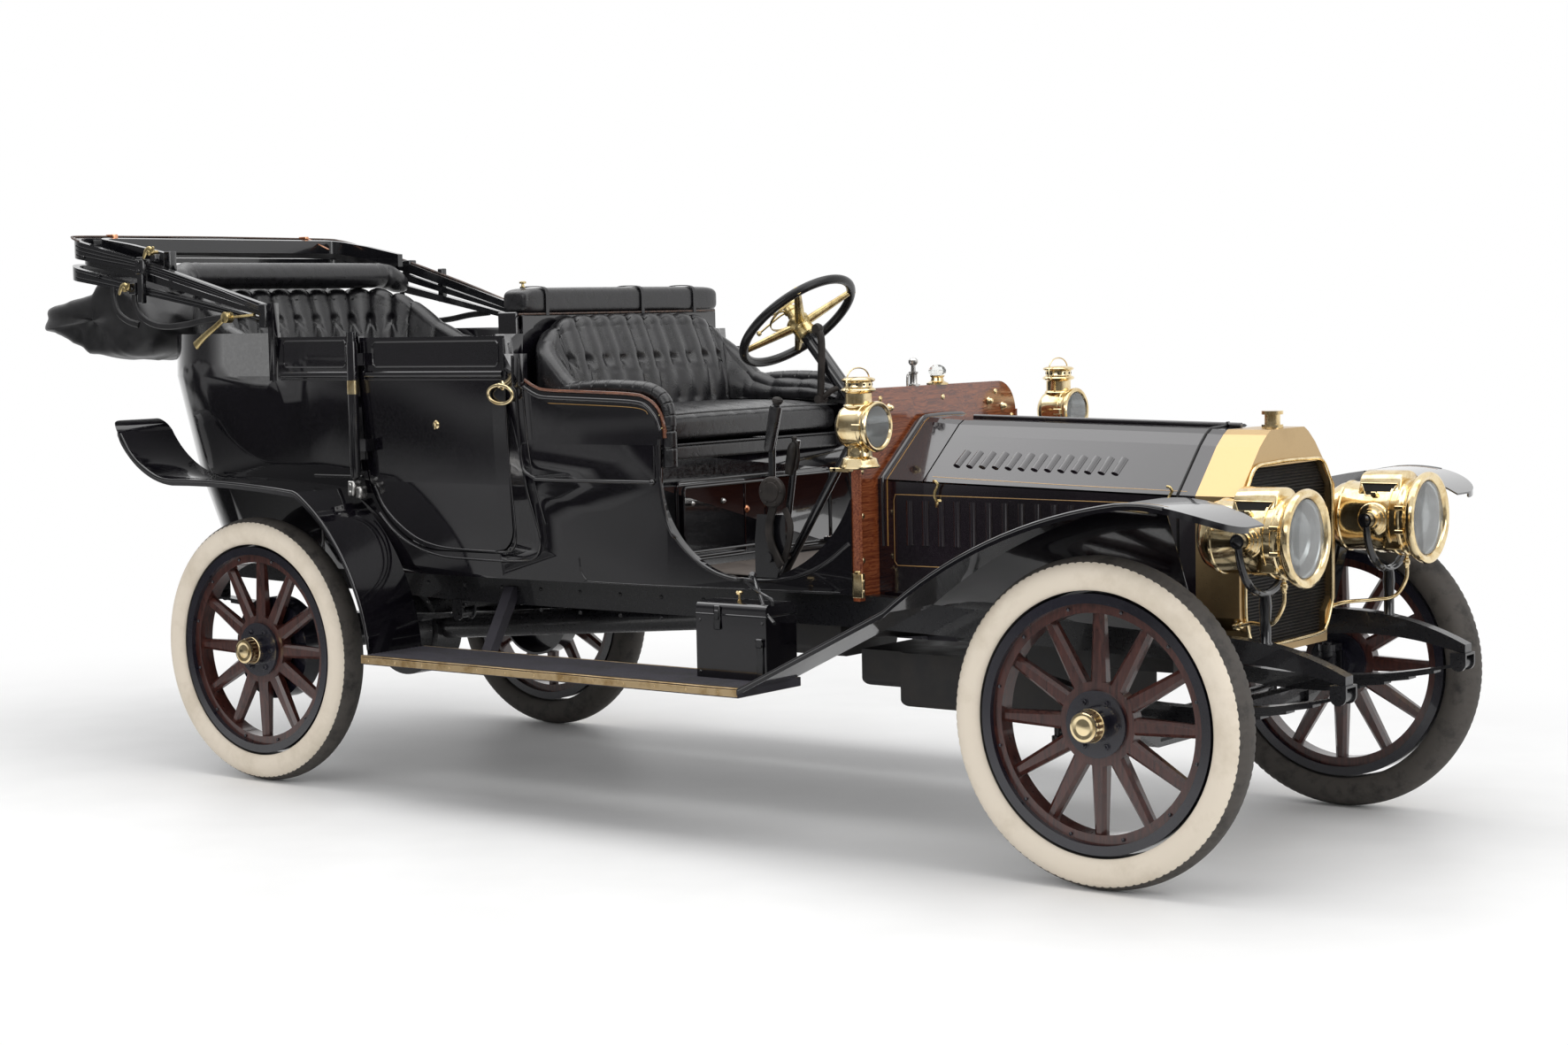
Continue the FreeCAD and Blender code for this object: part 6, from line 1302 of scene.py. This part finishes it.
def boards():
    """Brass edging, ribbed matting, and nosing screws of the running boards."""
    brass = [block((BOARD_REAR, -838, 443), (BOARD_FRONT, -834.4, 463), 1),
             block((BOARD_REAR, -838, 465.4), (BOARD_FRONT, -822, 468.4), 1),
             block((BOARD_REAR, -560, 466), (BOARD_FRONT, -550, 468), 0.8)]
    brass += [dome((x, -838, 453), RIGHT, 4, 2, 10) for x in range(-2600, -1120, 118)]
    pair("board_edging", brass, BOARD_BRASS)

    def rib(y, front):
        return block((MATTING_RUN[0], y - 4, BOARD_TOP - 1), (front, y + 4, BOARD_TOP + 3), 1.4)

    rows = range(-810, -565, 16)
    front = MATTING_RUN[1]
    make("board_matting_left", flipped([rib(y, front) for y in rows]), BOARD_RUBBER)
    # the toolbox stands on the right board's inner part
    make("board_matting_right", [rib(y, front if y < TOOLBOX_SIDE else TOOLBOX_REAR) for y in rows],
         BOARD_RUBBER)


def toolbox_fittings():
    """Lid bead, hasp, strap, thumb screw, corner rivets and the hooked stay before the box."""
    black = [block(low, high, bevel) for low, high, bevel in (
        ((-1379.5, -691.5, 652), (-1118.5, -543.5, 657), 1.5),
        ((-1308, -696, 610), (-1284, -690, 682), 3),
        ((-1304, -699, 640), (-1288, -695, 668), 2.5),
        ((-1152, -696, 470), (-1130, -690, 592), 2.5),
        ((-1152, -700, 566), (-1130, -695, 592), 2.5))]
    stay = curve([(-1270, -556, 758), (-1225, -600, 748), (-1180, -640, 716), (-1132, -672, 668),
                  (-1086, -694, 640)], 50)
    black.append(sweep(stay, ring(7, 12, 0.75), up=(0, 0.4, 1)))
    black.append(lathe([(-9, 0), (-8, 8), (0, 13), (8, 8), (9, 0)], (-1270, -556, 758), (0.2, -0.6, 0.6),
                       20))
    hook = curve([(-1262, -600, 742), (-1190, -650, 730), (-1120, -686, 716), (-1096, -690, 706),
                  (-1092, -690, 690)], 40)
    black.append(sweep(hook, ring(5, 10), up=(0, 0.4, 1)))
    black += [dome((x, -690.5, z), RIGHT, 5, 3, 12) for x in (-1364, -1134) for z in (484, 636)]
    make("toolbox_fittings", black, STOVED_BLACK)
    screw = lathe([(-2, 7), (6, 7), (8, 4), (22, 4), (24, 10), (30, 12), (34, 9), (35, 0)],
                  (-1238, -660, 690), UP, 20)
    make("toolbox_thumb_screw", [screw], BRASS)


wing_edges()
boards()
toolbox_fittings()

# ---- front seat surround -----------------------------------------------------
SIDE_BOARD_TOP = (
    (-2212, 1352), (-2174, 1326), (-2126, 1302), (-2078, 1293), (-1934, 1288), (-1760, 1281),
    (-1705, 1270), (-1668, 1244), (-1650, 1202), (-1644, 1150))
SIDE_BOARD_Y = ((-2240, 548), (-1950, 530.5), (-1756, 516.5), (-1640, 507))
POST_TOP = 1413.0
POST_REACH = 530.0
POST_RUN = (-2240, -2164)


def body_shell():
    """The body's own mesh, merged, with the two front posts cut down to the height of the
    door pillars, where the real ones end under the bolster's board."""
    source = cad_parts["body_tub"].data
    mesh = source.copy()
    mesh.name = "touring_body_shell"
    work = bmesh.new()
    work.from_mesh(mesh)
    bmesh.ops.remove_doubles(work, verts=work.verts, dist=1e-6)
    low, high = (at([(x, 0, 0)])[0][0] for x in POST_RUN)
    for v in work.verts:
        if low < v.co.x < high and abs(v.co.y) * 1000 > POST_REACH and v.co.z * 1000 > POST_TOP + 5:
            v.co.z = POST_TOP / 1000
    bmesh.ops.dissolve_degenerate(work, edges=work.edges, dist=1e-6)
    work.to_mesh(mesh)
    work.free()
    mesh.set_sharp_from_angle(angle=math.radians(30))
    piece = bpy.data.objects.new("touring_body_shell", mesh)
    bpy.context.scene.collection.objects.link(piece)
    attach(piece, "root")
    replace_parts(piece, "body_tub")


def seat_surround():
    """Side boards under the arm rolls with a bare wood strip, nails and a bead along their
    tops; the board and end blocks that carry the bolster; the welt above it."""
    top = curve([(x, 0, z) for x, z in SIDE_BOARD_TOP], 90)
    x, z = top[:, 0], top[:, 2]
    out = -np.interp(x, *np.array(SIDE_BOARD_Y).T)
    low = np.minimum(z - 6, 1132.0)
    rows = np.stack((
        np.stack((x, out, z), -1), np.stack((x, out + 24, z), -1),
        np.stack((x, out + 24, low), -1), np.stack((x, out, low), -1)), 1)
    pair("seat_side_boards", [skin(rows)], BODY_BLACK)
    line = np.stack((x, out + 9, z + 3), -1)
    pair("arm_wood_strips", [sweep(line, bar(26, 9, 0.4), up=(0, 0.35, 1))], STRIP_WOOD)
    step = np.linspace(4, 84, 12).astype(int)
    pair("arm_strip_nails", [dome(line[i] + (0, -7, 4), (0, -0.4, 1), 3.2, 2.4, 8) for i in step],
         OLD_BRASS)
    bead_line = np.stack((x - 6 * (z < 1262), out - 1, z - 17 * (z > 1200)), -1)
    pair("arm_side_beads", [
        sweep(curve(bead_line[::6], 90), ring(7.5, 12), up=RIGHT),
        sweep(np.array([(-1656, out[-1], 1150), (-1657, out[-1], 1090), (-1658, out[-1] + 1, 1032)]),
              ring(6, 10), up=RIGHT),
    ], BODY_BLACK)
    inner = np.stack((x - 16 * (z < 1262), out - 0.6, z - 34), -1)
    pair("arm_gold_lines", [sweep(curve(inner[:-8:6], 80), bar(2.0, 0.6, 0.1), up=RIGHT)], GOLD_LINE)
    make("bolster_board", [block((-2300, -484, 1486), (-2226, 484, 1535), 4)], LEATHER)
    welt = curve([(-2322, -488, 1536), (-2260, -489, 1536), (-2216, -488, 1536), (-2206, -480, 1536),
                  (-2205, 0, 1536), (-2207, 456, 1536)], 80)
    make("bolster_welt", [sweep(welt, ring(3.2, 8))], WORN_EDGE)
    pair("bolster_end_blocks", [
        block((-2317, -502, 1416), (-2237, -482, 1543), 3),
        block((-2322, -508, 1406), (-2232, -478, 1418), 3),
    ], BODY_BLACK)


body_shell()
seat_surround()

# ---- steering wheel, levers, dash fittings and radiator ----------------------
WHEEL_CENTRE = np.array((-1355.0, -200.0, 1498.0))
COLUMN_UP = np.array((-math.cos(math.radians(49.7)), 0.0, math.sin(math.radians(49.7))))
COLUMN_FORE = np.array((COLUMN_UP[2], 0.0, -COLUMN_UP[0]))
DASH = probe("dashboard", "scuttle")
BRAKE_LEVER_Y = -475.0
CORE_HEIGHTS = (592, 1081)
FIN_ROWS = 54
FIN_PITCH = 9.06
CORE_OPENING = (
    (-262, 700), (-262, 850), (-262, 990), (-240, 1040), (-196, 1083), (-100, 1090), (0, 1092),
    (100, 1090), (196, 1083), (240, 1040), (262, 990), (262, 850), (262, 700), (250, 650), (222, 606),
    (180, 592), (0, 590), (-180, 592), (-222, 606), (-250, 650))


def steering_fittings():
    """Brass spider over the spokes, brass hub with nut, throttle and spark levers on their
    arc, and the jointed control rod down the column."""
    brass, steel = [], []
    side = np.array((0.0, 1.0, 0.0))
    for k in range(4):
        t = math.radians(45 + 90 * k)
        way = COLUMN_FORE * math.cos(t) + side * math.sin(t)
        reach = np.linspace(24, 198, 12)
        path = WHEEL_CENTRE + way * reach[:, None] + COLUMN_UP * (-14 + 14 * (reach[:, None] - 20) / 182)
        brass.append(sweep(path, ring(1.0, 12, 0.72), np.linspace(17.5, 10.8, 12), up=COLUMN_UP))
        foot = WHEEL_CENTRE + way * 197
        brass.append(sweep(np.array([foot - way * 8, foot, foot + way * 4]), ring(1.0, 12, 1.0),
                           (10, 13, 12.6), up=COLUMN_UP))
    brass.append(lathe([(-62, 0), (-62, 30), (-58, 34), (-40, 34), (-36, 31.5), (-22, 31.5), (-16, 36),
                        (4, 36), (10, 30), (14, 20), (34, 17), (38, 21), (48, 21), (52, 16), (62, 15),
                        (66, 10), (67, 0)], WHEEL_CENTRE, COLUMN_UP, 36))
    for t, length in ((205, 118), (250, 104)):
        a = math.radians(t)
        way = COLUMN_FORE * math.cos(a) + side * math.sin(a)
        start = WHEEL_CENTRE + COLUMN_UP * 44
        lever = [start + way * 12, start + way * 40 + COLUMN_UP * 4, start + way * length]
        brass.append(sweep(curve(lever, 24), ring(3.2, 8), up=COLUMN_UP))
        brass.append(lathe([(-8, 0), (-6, 6), (0, 8), (6, 6), (8, 0)], start + way * length, COLUMN_UP, 14))
    a = np.radians(np.linspace(150, 330, 40))
    sector = np.cos(a)[:, None] * COLUMN_FORE + np.sin(a)[:, None] * side
    arc = WHEEL_CENTRE + COLUMN_UP * 30 + 78 * sector
    brass.append(sweep(arc, bar(3, 8, 0.4), up=COLUMN_UP))
    make("steering_spider", brass, OLD_BRASS, "steering_wheel", crease=40)
    rod_line = [(-1262, -228, 1478), (-1240, -236, 1440), (-1243, -236, 1330), (-1250, -232, 1262)]
    steel.append(sweep(curve(rod_line, 50), ring(12, 12, 0.8), up=LEFT))
    steel.append(lathe([(-14, 0), (-12, 14), (0, 18), (12, 14), (14, 0)], (-1258, -230, 1474), LEFT, 18))
    steel.append(lathe([(-20, 0), (-18, 13), (18, 13), (20, 0)], (-1250, -230, 1262), LEFT, 18))
    steel.append(sweep(curve([(-1250, -230, 1262), (-1210, -224, 1290), (-1180, -206, 1300)], 20),
                       ring(9, 10), up=LEFT))
    make("column_control_rod", steel, OILY_STEEL)


def lever_fittings():
    """Leather-bound brake grip with a steel ball, gear lever with its trigger, the round
    quadrant cover with its rim of bolts, and ribs on the pedal pads."""
    brake, gear = BRAKE_LEVER_Y, BRAKE_LEVER_Y + 29
    grip = lathe([(-6, 0), (-6, 12), (0, 15), (60, 17), (118, 18.5), (128, 17), (132, 11), (146, 10),
                  (152, 0)], (-1262, brake, 1126), (0.23, 0, 1), 20)
    make("brake_grip", [grip], LEATHER)
    steel = [lathe([(0, 11), (4, 15), (10, 17), (16, 15), (20, 9), (21, 0)], (-1229, brake, 1258),
                   (0.23, 0, 1), 20),
             lathe([(0, 0), (0, 12), (30, 16), (78, 16.5), (92, 12), (98, 7), (112, 7), (117, 0)],
                   (-1212, gear, 1050), (0.22, 0, 1), 18)]
    straps = [sweep(curve([(x, y, z) for x, z in line], count), bar(width, thick, bevel), up=LEFT)
              for y, count, width, thick, bevel, line in (
                  (gear, 24, 5, 12, 0.5, ((-1196, 1158), (-1180, 1140), (-1176, 1100), (-1186, 1062))),
                  (brake - 6, 40, 26, 9, 0.4, ((-1244, 960), (-1262, 900), (-1258, 850), (-1236, 806),
                                               (-1220, 780))),
                  (brake + 10, 40, 20, 8, 0.4, ((-1216, 950), (-1196, 900), (-1206, 840), (-1226, 790))))]
    steel.append(straps[0])
    steel.append(lathe([(0, 0), (0, 42), (4, 46), (14, 46), (18, 42), (18, 30), (21, 28), (21, 0)],
                       (-1240, brake - 8, 1000), RIGHT, 36))
    for t in np.arange(6) * math.pi / 3:
        steel.append(dome((-1240 + 36 * math.cos(t), brake - 26, 1000 + 36 * math.sin(t)), RIGHT, 4, 3, 10))
    make("lever_ironwork", steel + straps[1:], OILY_STEEL, crease=35)
    ribs = [block((x - 3, y - 32, 859.5), (x + 3, y + 32, 863), 1)
            for y in (-330, -240, -150) for x in range(-1142, -1095, 10)]
    make("pedal_ribs", ribs, NICKEL)


def dash_fittings():
    """Round-head screws, brass corner feet, a plain oil pump and a sight dome on the dash."""
    screws = ((309, 1268), (402, 1190), (408, 1060), (408, 930), (408, 800))
    heads = laid(DASH, [(-700, side * y, z) for y, z in screws for side in (-1, 1)] + [(-700, 18, 1262)],
                 BACKWARD)
    make("dash_screws", [dome(p, AHEAD, 9, 5, 16) for p in heads], BRASS)
    plates = laid(DASH, [(-700, side * y, z) for y, z in ((268, 1240), (346, 1222)) for side in (-1, 1)],
                  BACKWARD)
    stud = [(-1, 0), (-1, 13), (3, 13), (8, 9), (14, 8), (17, 5), (18, 0)]
    make("dash_studs", [lathe(stud, p, AHEAD, 20) for p in plates], BRASS)
    feet, beads = [], []
    for side in (-1, 1):
        y = side * 420
        feet.append(block((-1004, side * 427, 692), (-966, side * 412, 764), 2))
        feet.append(lathe([(0, 0), (0, 11), (6, 13), (10, 11), (12, 0)], (-985, y, 762), UP, 14))
        feet += [dome((-966, y, z), AHEAD, 5, 3, 10) for z in (712, 742)]
        edge = np.array([(-972, side * 421, z) for z in (764, 980, 1210)])
        beads.append(sweep(edge, ring(5, 10), up=AHEAD))
    make("dash_corner_feet", feet, BRASS)
    make("dash_edge_beads", beads, MAHOGANY)
    spout = curve([(-990, -126, 1336), (-990, -142, 1334), (-990, -146, 1318), (-990, -146, 1300)], 24)
    pump = [lathe([(-1, 0), (-1, 19), (4, 19), (6, 12), (10, 11), (34, 11), (36, 14), (41, 14), (43, 7),
                   (60, 6.5), (62, 10), (68, 14), (76, 14), (82, 9), (84, 0)], (-990, -115, 1300), UP, 20),
            sweep(spout, ring(4, 8), up=AHEAD)]
    make("dash_oil_pump", pump, NICKEL, crease=35)
    sight = (-990, 12, 1300)
    base = lathe([(-1, 0), (-1, 33), (4, 33), (7, 27), (10, 20), (20, 18), (24, 22), (27, 22), (27, 0)],
                 sight, UP, 28)
    make("sight_dome_base", [base], BRASS)
    jewel = lathe([(26, 0), (26, 19), (34, 27), (43, 28), (52, 22), (58, 12), (60, 0)], sight, UP, 10)
    make("sight_dome_glass", [jewel], GLASS, crease=10)


steering_fittings()
lever_fittings()
dash_fittings()


def radiator_fins():
    """Rows of cooling fins across the core: depth = 6 |2 s - 1| mm over each row, out to the
    opening's own half width at each height, and a rolled bead round the opening."""
    low, high = CORE_HEIGHTS
    rows = np.linspace(low, high, FIN_ROWS * 4 + 1)
    s = (rows - low) / FIN_PITCH % 1.0
    half = np.interp(rows, (low, 640, 690, 1004, high), (226, 244, 262, 262, 204))
    grid = np.empty((len(rows), 3, 3))
    grid[..., 0] = (161 + 6 * np.abs(2 * s - 1))[:, None]
    grid[..., 1] = np.array((-1, 0, 1)) * half[:, None]
    grid[..., 2] = rows[:, None]
    make("radiator_fins", [skin(grid, around=False)], CORE_BLACK, crease=20)
    rim = curve([(186, y, z) for y, z in CORE_OPENING], 120, True)
    make("radiator_opening_bead", [sweep(rim, ring(5.5, 10), closed=True, up=AHEAD)], BRASS)


def cabin_floor():
    """Linoleum laid on the front floor up to the toe board, and the beads round the panels of
    the seat's front."""
    make("floor_linoleum", [block((-1672, -436, 741.5), (-1122, 436, 746), 1.5)], LINOLEUM)

    def panel(y, z, width, height):
        corners = [(y[0], z[0]), (y[1], z[0]), (y[1], z[1]), (y[0], z[1])]
        return closed_bead(corners, width, height, BODY, BACKWARD, (1, 2), -1300.0, 6.0)

    make("seat_front_panel_beads", [
        panel((-364, 47), (790, 992), 11, 7), panel((-392, 392), (766, 1012), 9, 5)], BODY_BLACK)


radiator_fins()
cabin_floor()


# ---- camera, floor and light -------------------------------------------------
# The camera stands ahead of the front axle on the car's right, 1.53 m up.
CAMERA_AHEAD = 3.5956
CAMERA_SIDE = -6.7572
CAMERA_HEIGHT = 1.5309
CAMERA_AZIMUTH = math.radians(37.545)
CAMERA_ELEVATION = math.radians(4.516)
CAMERA_ROLL = math.radians(-1.136)
CAMERA_LENS = 61.91
CAMERA_SHIFT = (0.0036, 0.0008)
LIGHTS = (
    # name, place, size, turn about x and z in degrees, watts
    ("overhead_softbox", (0.0, -0.3, 4.6), (9.0, 3.6), (0, 0), 170),
    ("side_softbox", (1.2, -6.6, 3.9), (6.5, 1.8), (58, 0), 90),
    ("front_softbox", (6.6, -0.8, 3.2), (2.4, 4.0), (62, 90), 70),
)
WHITE = (1, 1, 1, 1)
FLOOR_HALF = 30.0
FLOOR_CLEAR = 4.9


def make_camera():
    back = np.array([
        math.sin(CAMERA_AZIMUTH) * math.cos(CAMERA_ELEVATION),
        -math.cos(CAMERA_AZIMUTH) * math.cos(CAMERA_ELEVATION),
        math.sin(CAMERA_ELEVATION),
    ])
    level = np.cross(-back, (0.0, 0.0, 1.0))
    level /= np.linalg.norm(level)
    upright = np.cross(level, -back)
    c, s = math.cos(CAMERA_ROLL), math.sin(CAMERA_ROLL)
    matrix = np.eye(4)
    matrix[:3, 0] = level * c + upright * s
    matrix[:3, 1] = upright * c - level * s
    matrix[:3, 2] = back
    matrix[:3, 3] = (FRONT_AXLE_X + CAMERA_AHEAD, CAMERA_SIDE, CAMERA_HEIGHT)
    data = bpy.data.cameras.new("camera")
    data.lens = CAMERA_LENS
    data.sensor_width = 36.0
    data.shift_x, data.shift_y = CAMERA_SHIFT
    data.clip_end = 100.0
    camera = bpy.data.objects.new("camera", data)
    camera.matrix_world = matrix.T.tolist()
    bpy.context.scene.collection.objects.link(camera)
    bpy.context.scene.camera = camera


def make_studio():
    """White all round where the camera looks, a dark room behind the camera for gloss and
    metal to show, and an even grey light for everything else."""
    world = bpy.data.worlds.new("studio")
    world.use_nodes = True
    tree = world.node_tree
    tree.nodes.clear()
    path = add(tree, "LightPath")
    ray = add(tree, "TexCoord")
    parts = add(tree, "SeparateXYZ", links={0: (ray, "Generated")})
    behind = add(tree, "MapRange", {1: -0.5, 2: 0.35, 3: 0.16, 4: 1.0}, {0: (parts, "Y")})
    above = add(tree, "MapRange", {1: 0.28, 2: 0.62, 3: 0.0, 4: 0.8}, {0: (parts, "Z")})
    room = add(tree, "Math", links={0: behind, 1: above}, operation="MAXIMUM")
    seen = add(tree, "Math", links={0: (path, "Is Glossy Ray"), 1: (path, "Is Transmission Ray")},
               operation="MAXIMUM")
    plain = add(tree, "MixRGB", {1: (0.72, 0.72, 0.73, 1)}, {0: seen, 2: room})
    white = add(tree, "MixRGB", {2: WHITE}, {0: (path, "Is Camera Ray"), 1: plain})
    light = add(tree, "Background", links={"Color": white})
    out = add(tree, "OutputWorld", links={0: light})
    out.is_active_output = True
    bpy.context.scene.world = world
    for name, place, size, turn, watts in LIGHTS:
        data = bpy.data.lights.new(name, "AREA")
        data.shape = "RECTANGLE"
        data.size, data.size_y = size
        data.energy = watts
        lamp = bpy.data.objects.new(name, data)
        lamp.location = place
        lamp.rotation_euler = (math.radians(turn[0]), 0, math.radians(turn[1]))
        bpy.context.scene.collection.objects.link(lamp)


def make_floor():
    """A pale floor, 60 m square, that keeps the shadow near the car and runs out to white."""
    mesh = bpy.data.meshes.new("floor")
    half = FLOOR_HALF
    corners = [(-half, -half, 0), (half, -half, 0), (half, half, 0), (-half, half, 0)]
    mesh.from_pydata(corners, [], [(0, 1, 2, 3)])
    floor = bpy.data.objects.new("floor", mesh)
    bpy.context.scene.collection.objects.link(floor)
    material, tree, shader, place = finish_of("painted_studio_floor", Roughness=0.5)
    scuff = add(tree, "TexNoise", {"Scale": per(400), "Detail": 3.0}, {0: place})
    tint(tree, shader, scuff, "#EFEFEE", "#F3F3F2")
    spread = add(tree, "VectorMath", {1: (1.0, 1.35, 1.0)}, {0: place}, operation="MULTIPLY")
    reach = add(tree, "VectorMath", links={0: spread}, operation="LENGTH")
    run_out = add(tree, "MapRange", {1: FLOOR_CLEAR * 0.55, 2: FLOOR_CLEAR}, {0: (reach, "Value")},
                  interpolation_type="SMOOTHSTEP")
    path = add(tree, "LightPath")
    beyond = add(tree, "SeparateXYZ", links={0: place})
    lit = add(tree, "MapRange", {1: -1.6, 2: 0.8, 3: 0.0, 4: 1.0}, {0: (beyond, "Y")})
    screens = add(tree, "TexNoise", {"Scale": 0.16, "Detail": 0.0}, {0: place})
    grey = add(tree, "MapRange", {1: 0.44, 2: 0.56, 3: 0.03, 4: 0.42}, {0: screens})
    room = add(tree, "Math", links={0: lit, 1: grey}, operation="MAXIMUM")
    level = add(tree, "Math", links={0: (path, "Is Camera Ray"), 1: room}, operation="MAXIMUM")
    seen = add(tree, "Math", links={0: (path, "Is Camera Ray"), 1: (path, "Is Glossy Ray")},
               operation="MAXIMUM")
    share = add(tree, "Math", links={0: run_out, 1: seen}, operation="MULTIPLY")
    white = add(tree, "Emission", {"Color": WHITE}, {"Strength": level})
    both = add(tree, "MixShader", links={0: share, 1: shader, 2: white})
    tree.links.new(both.outputs[0], tree.nodes["Material Output"].inputs["Surface"])
    mesh.materials.append(material)
    floor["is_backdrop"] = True


make_camera()
make_studio()
make_floor()
bpy.context.scene.view_settings.view_transform = "Standard"
sizes = {"cad": CAD_BOX, "visual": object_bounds()}
sizes = {name: [list(map(float, corner)) for corner in box] for name, box in sizes.items()}
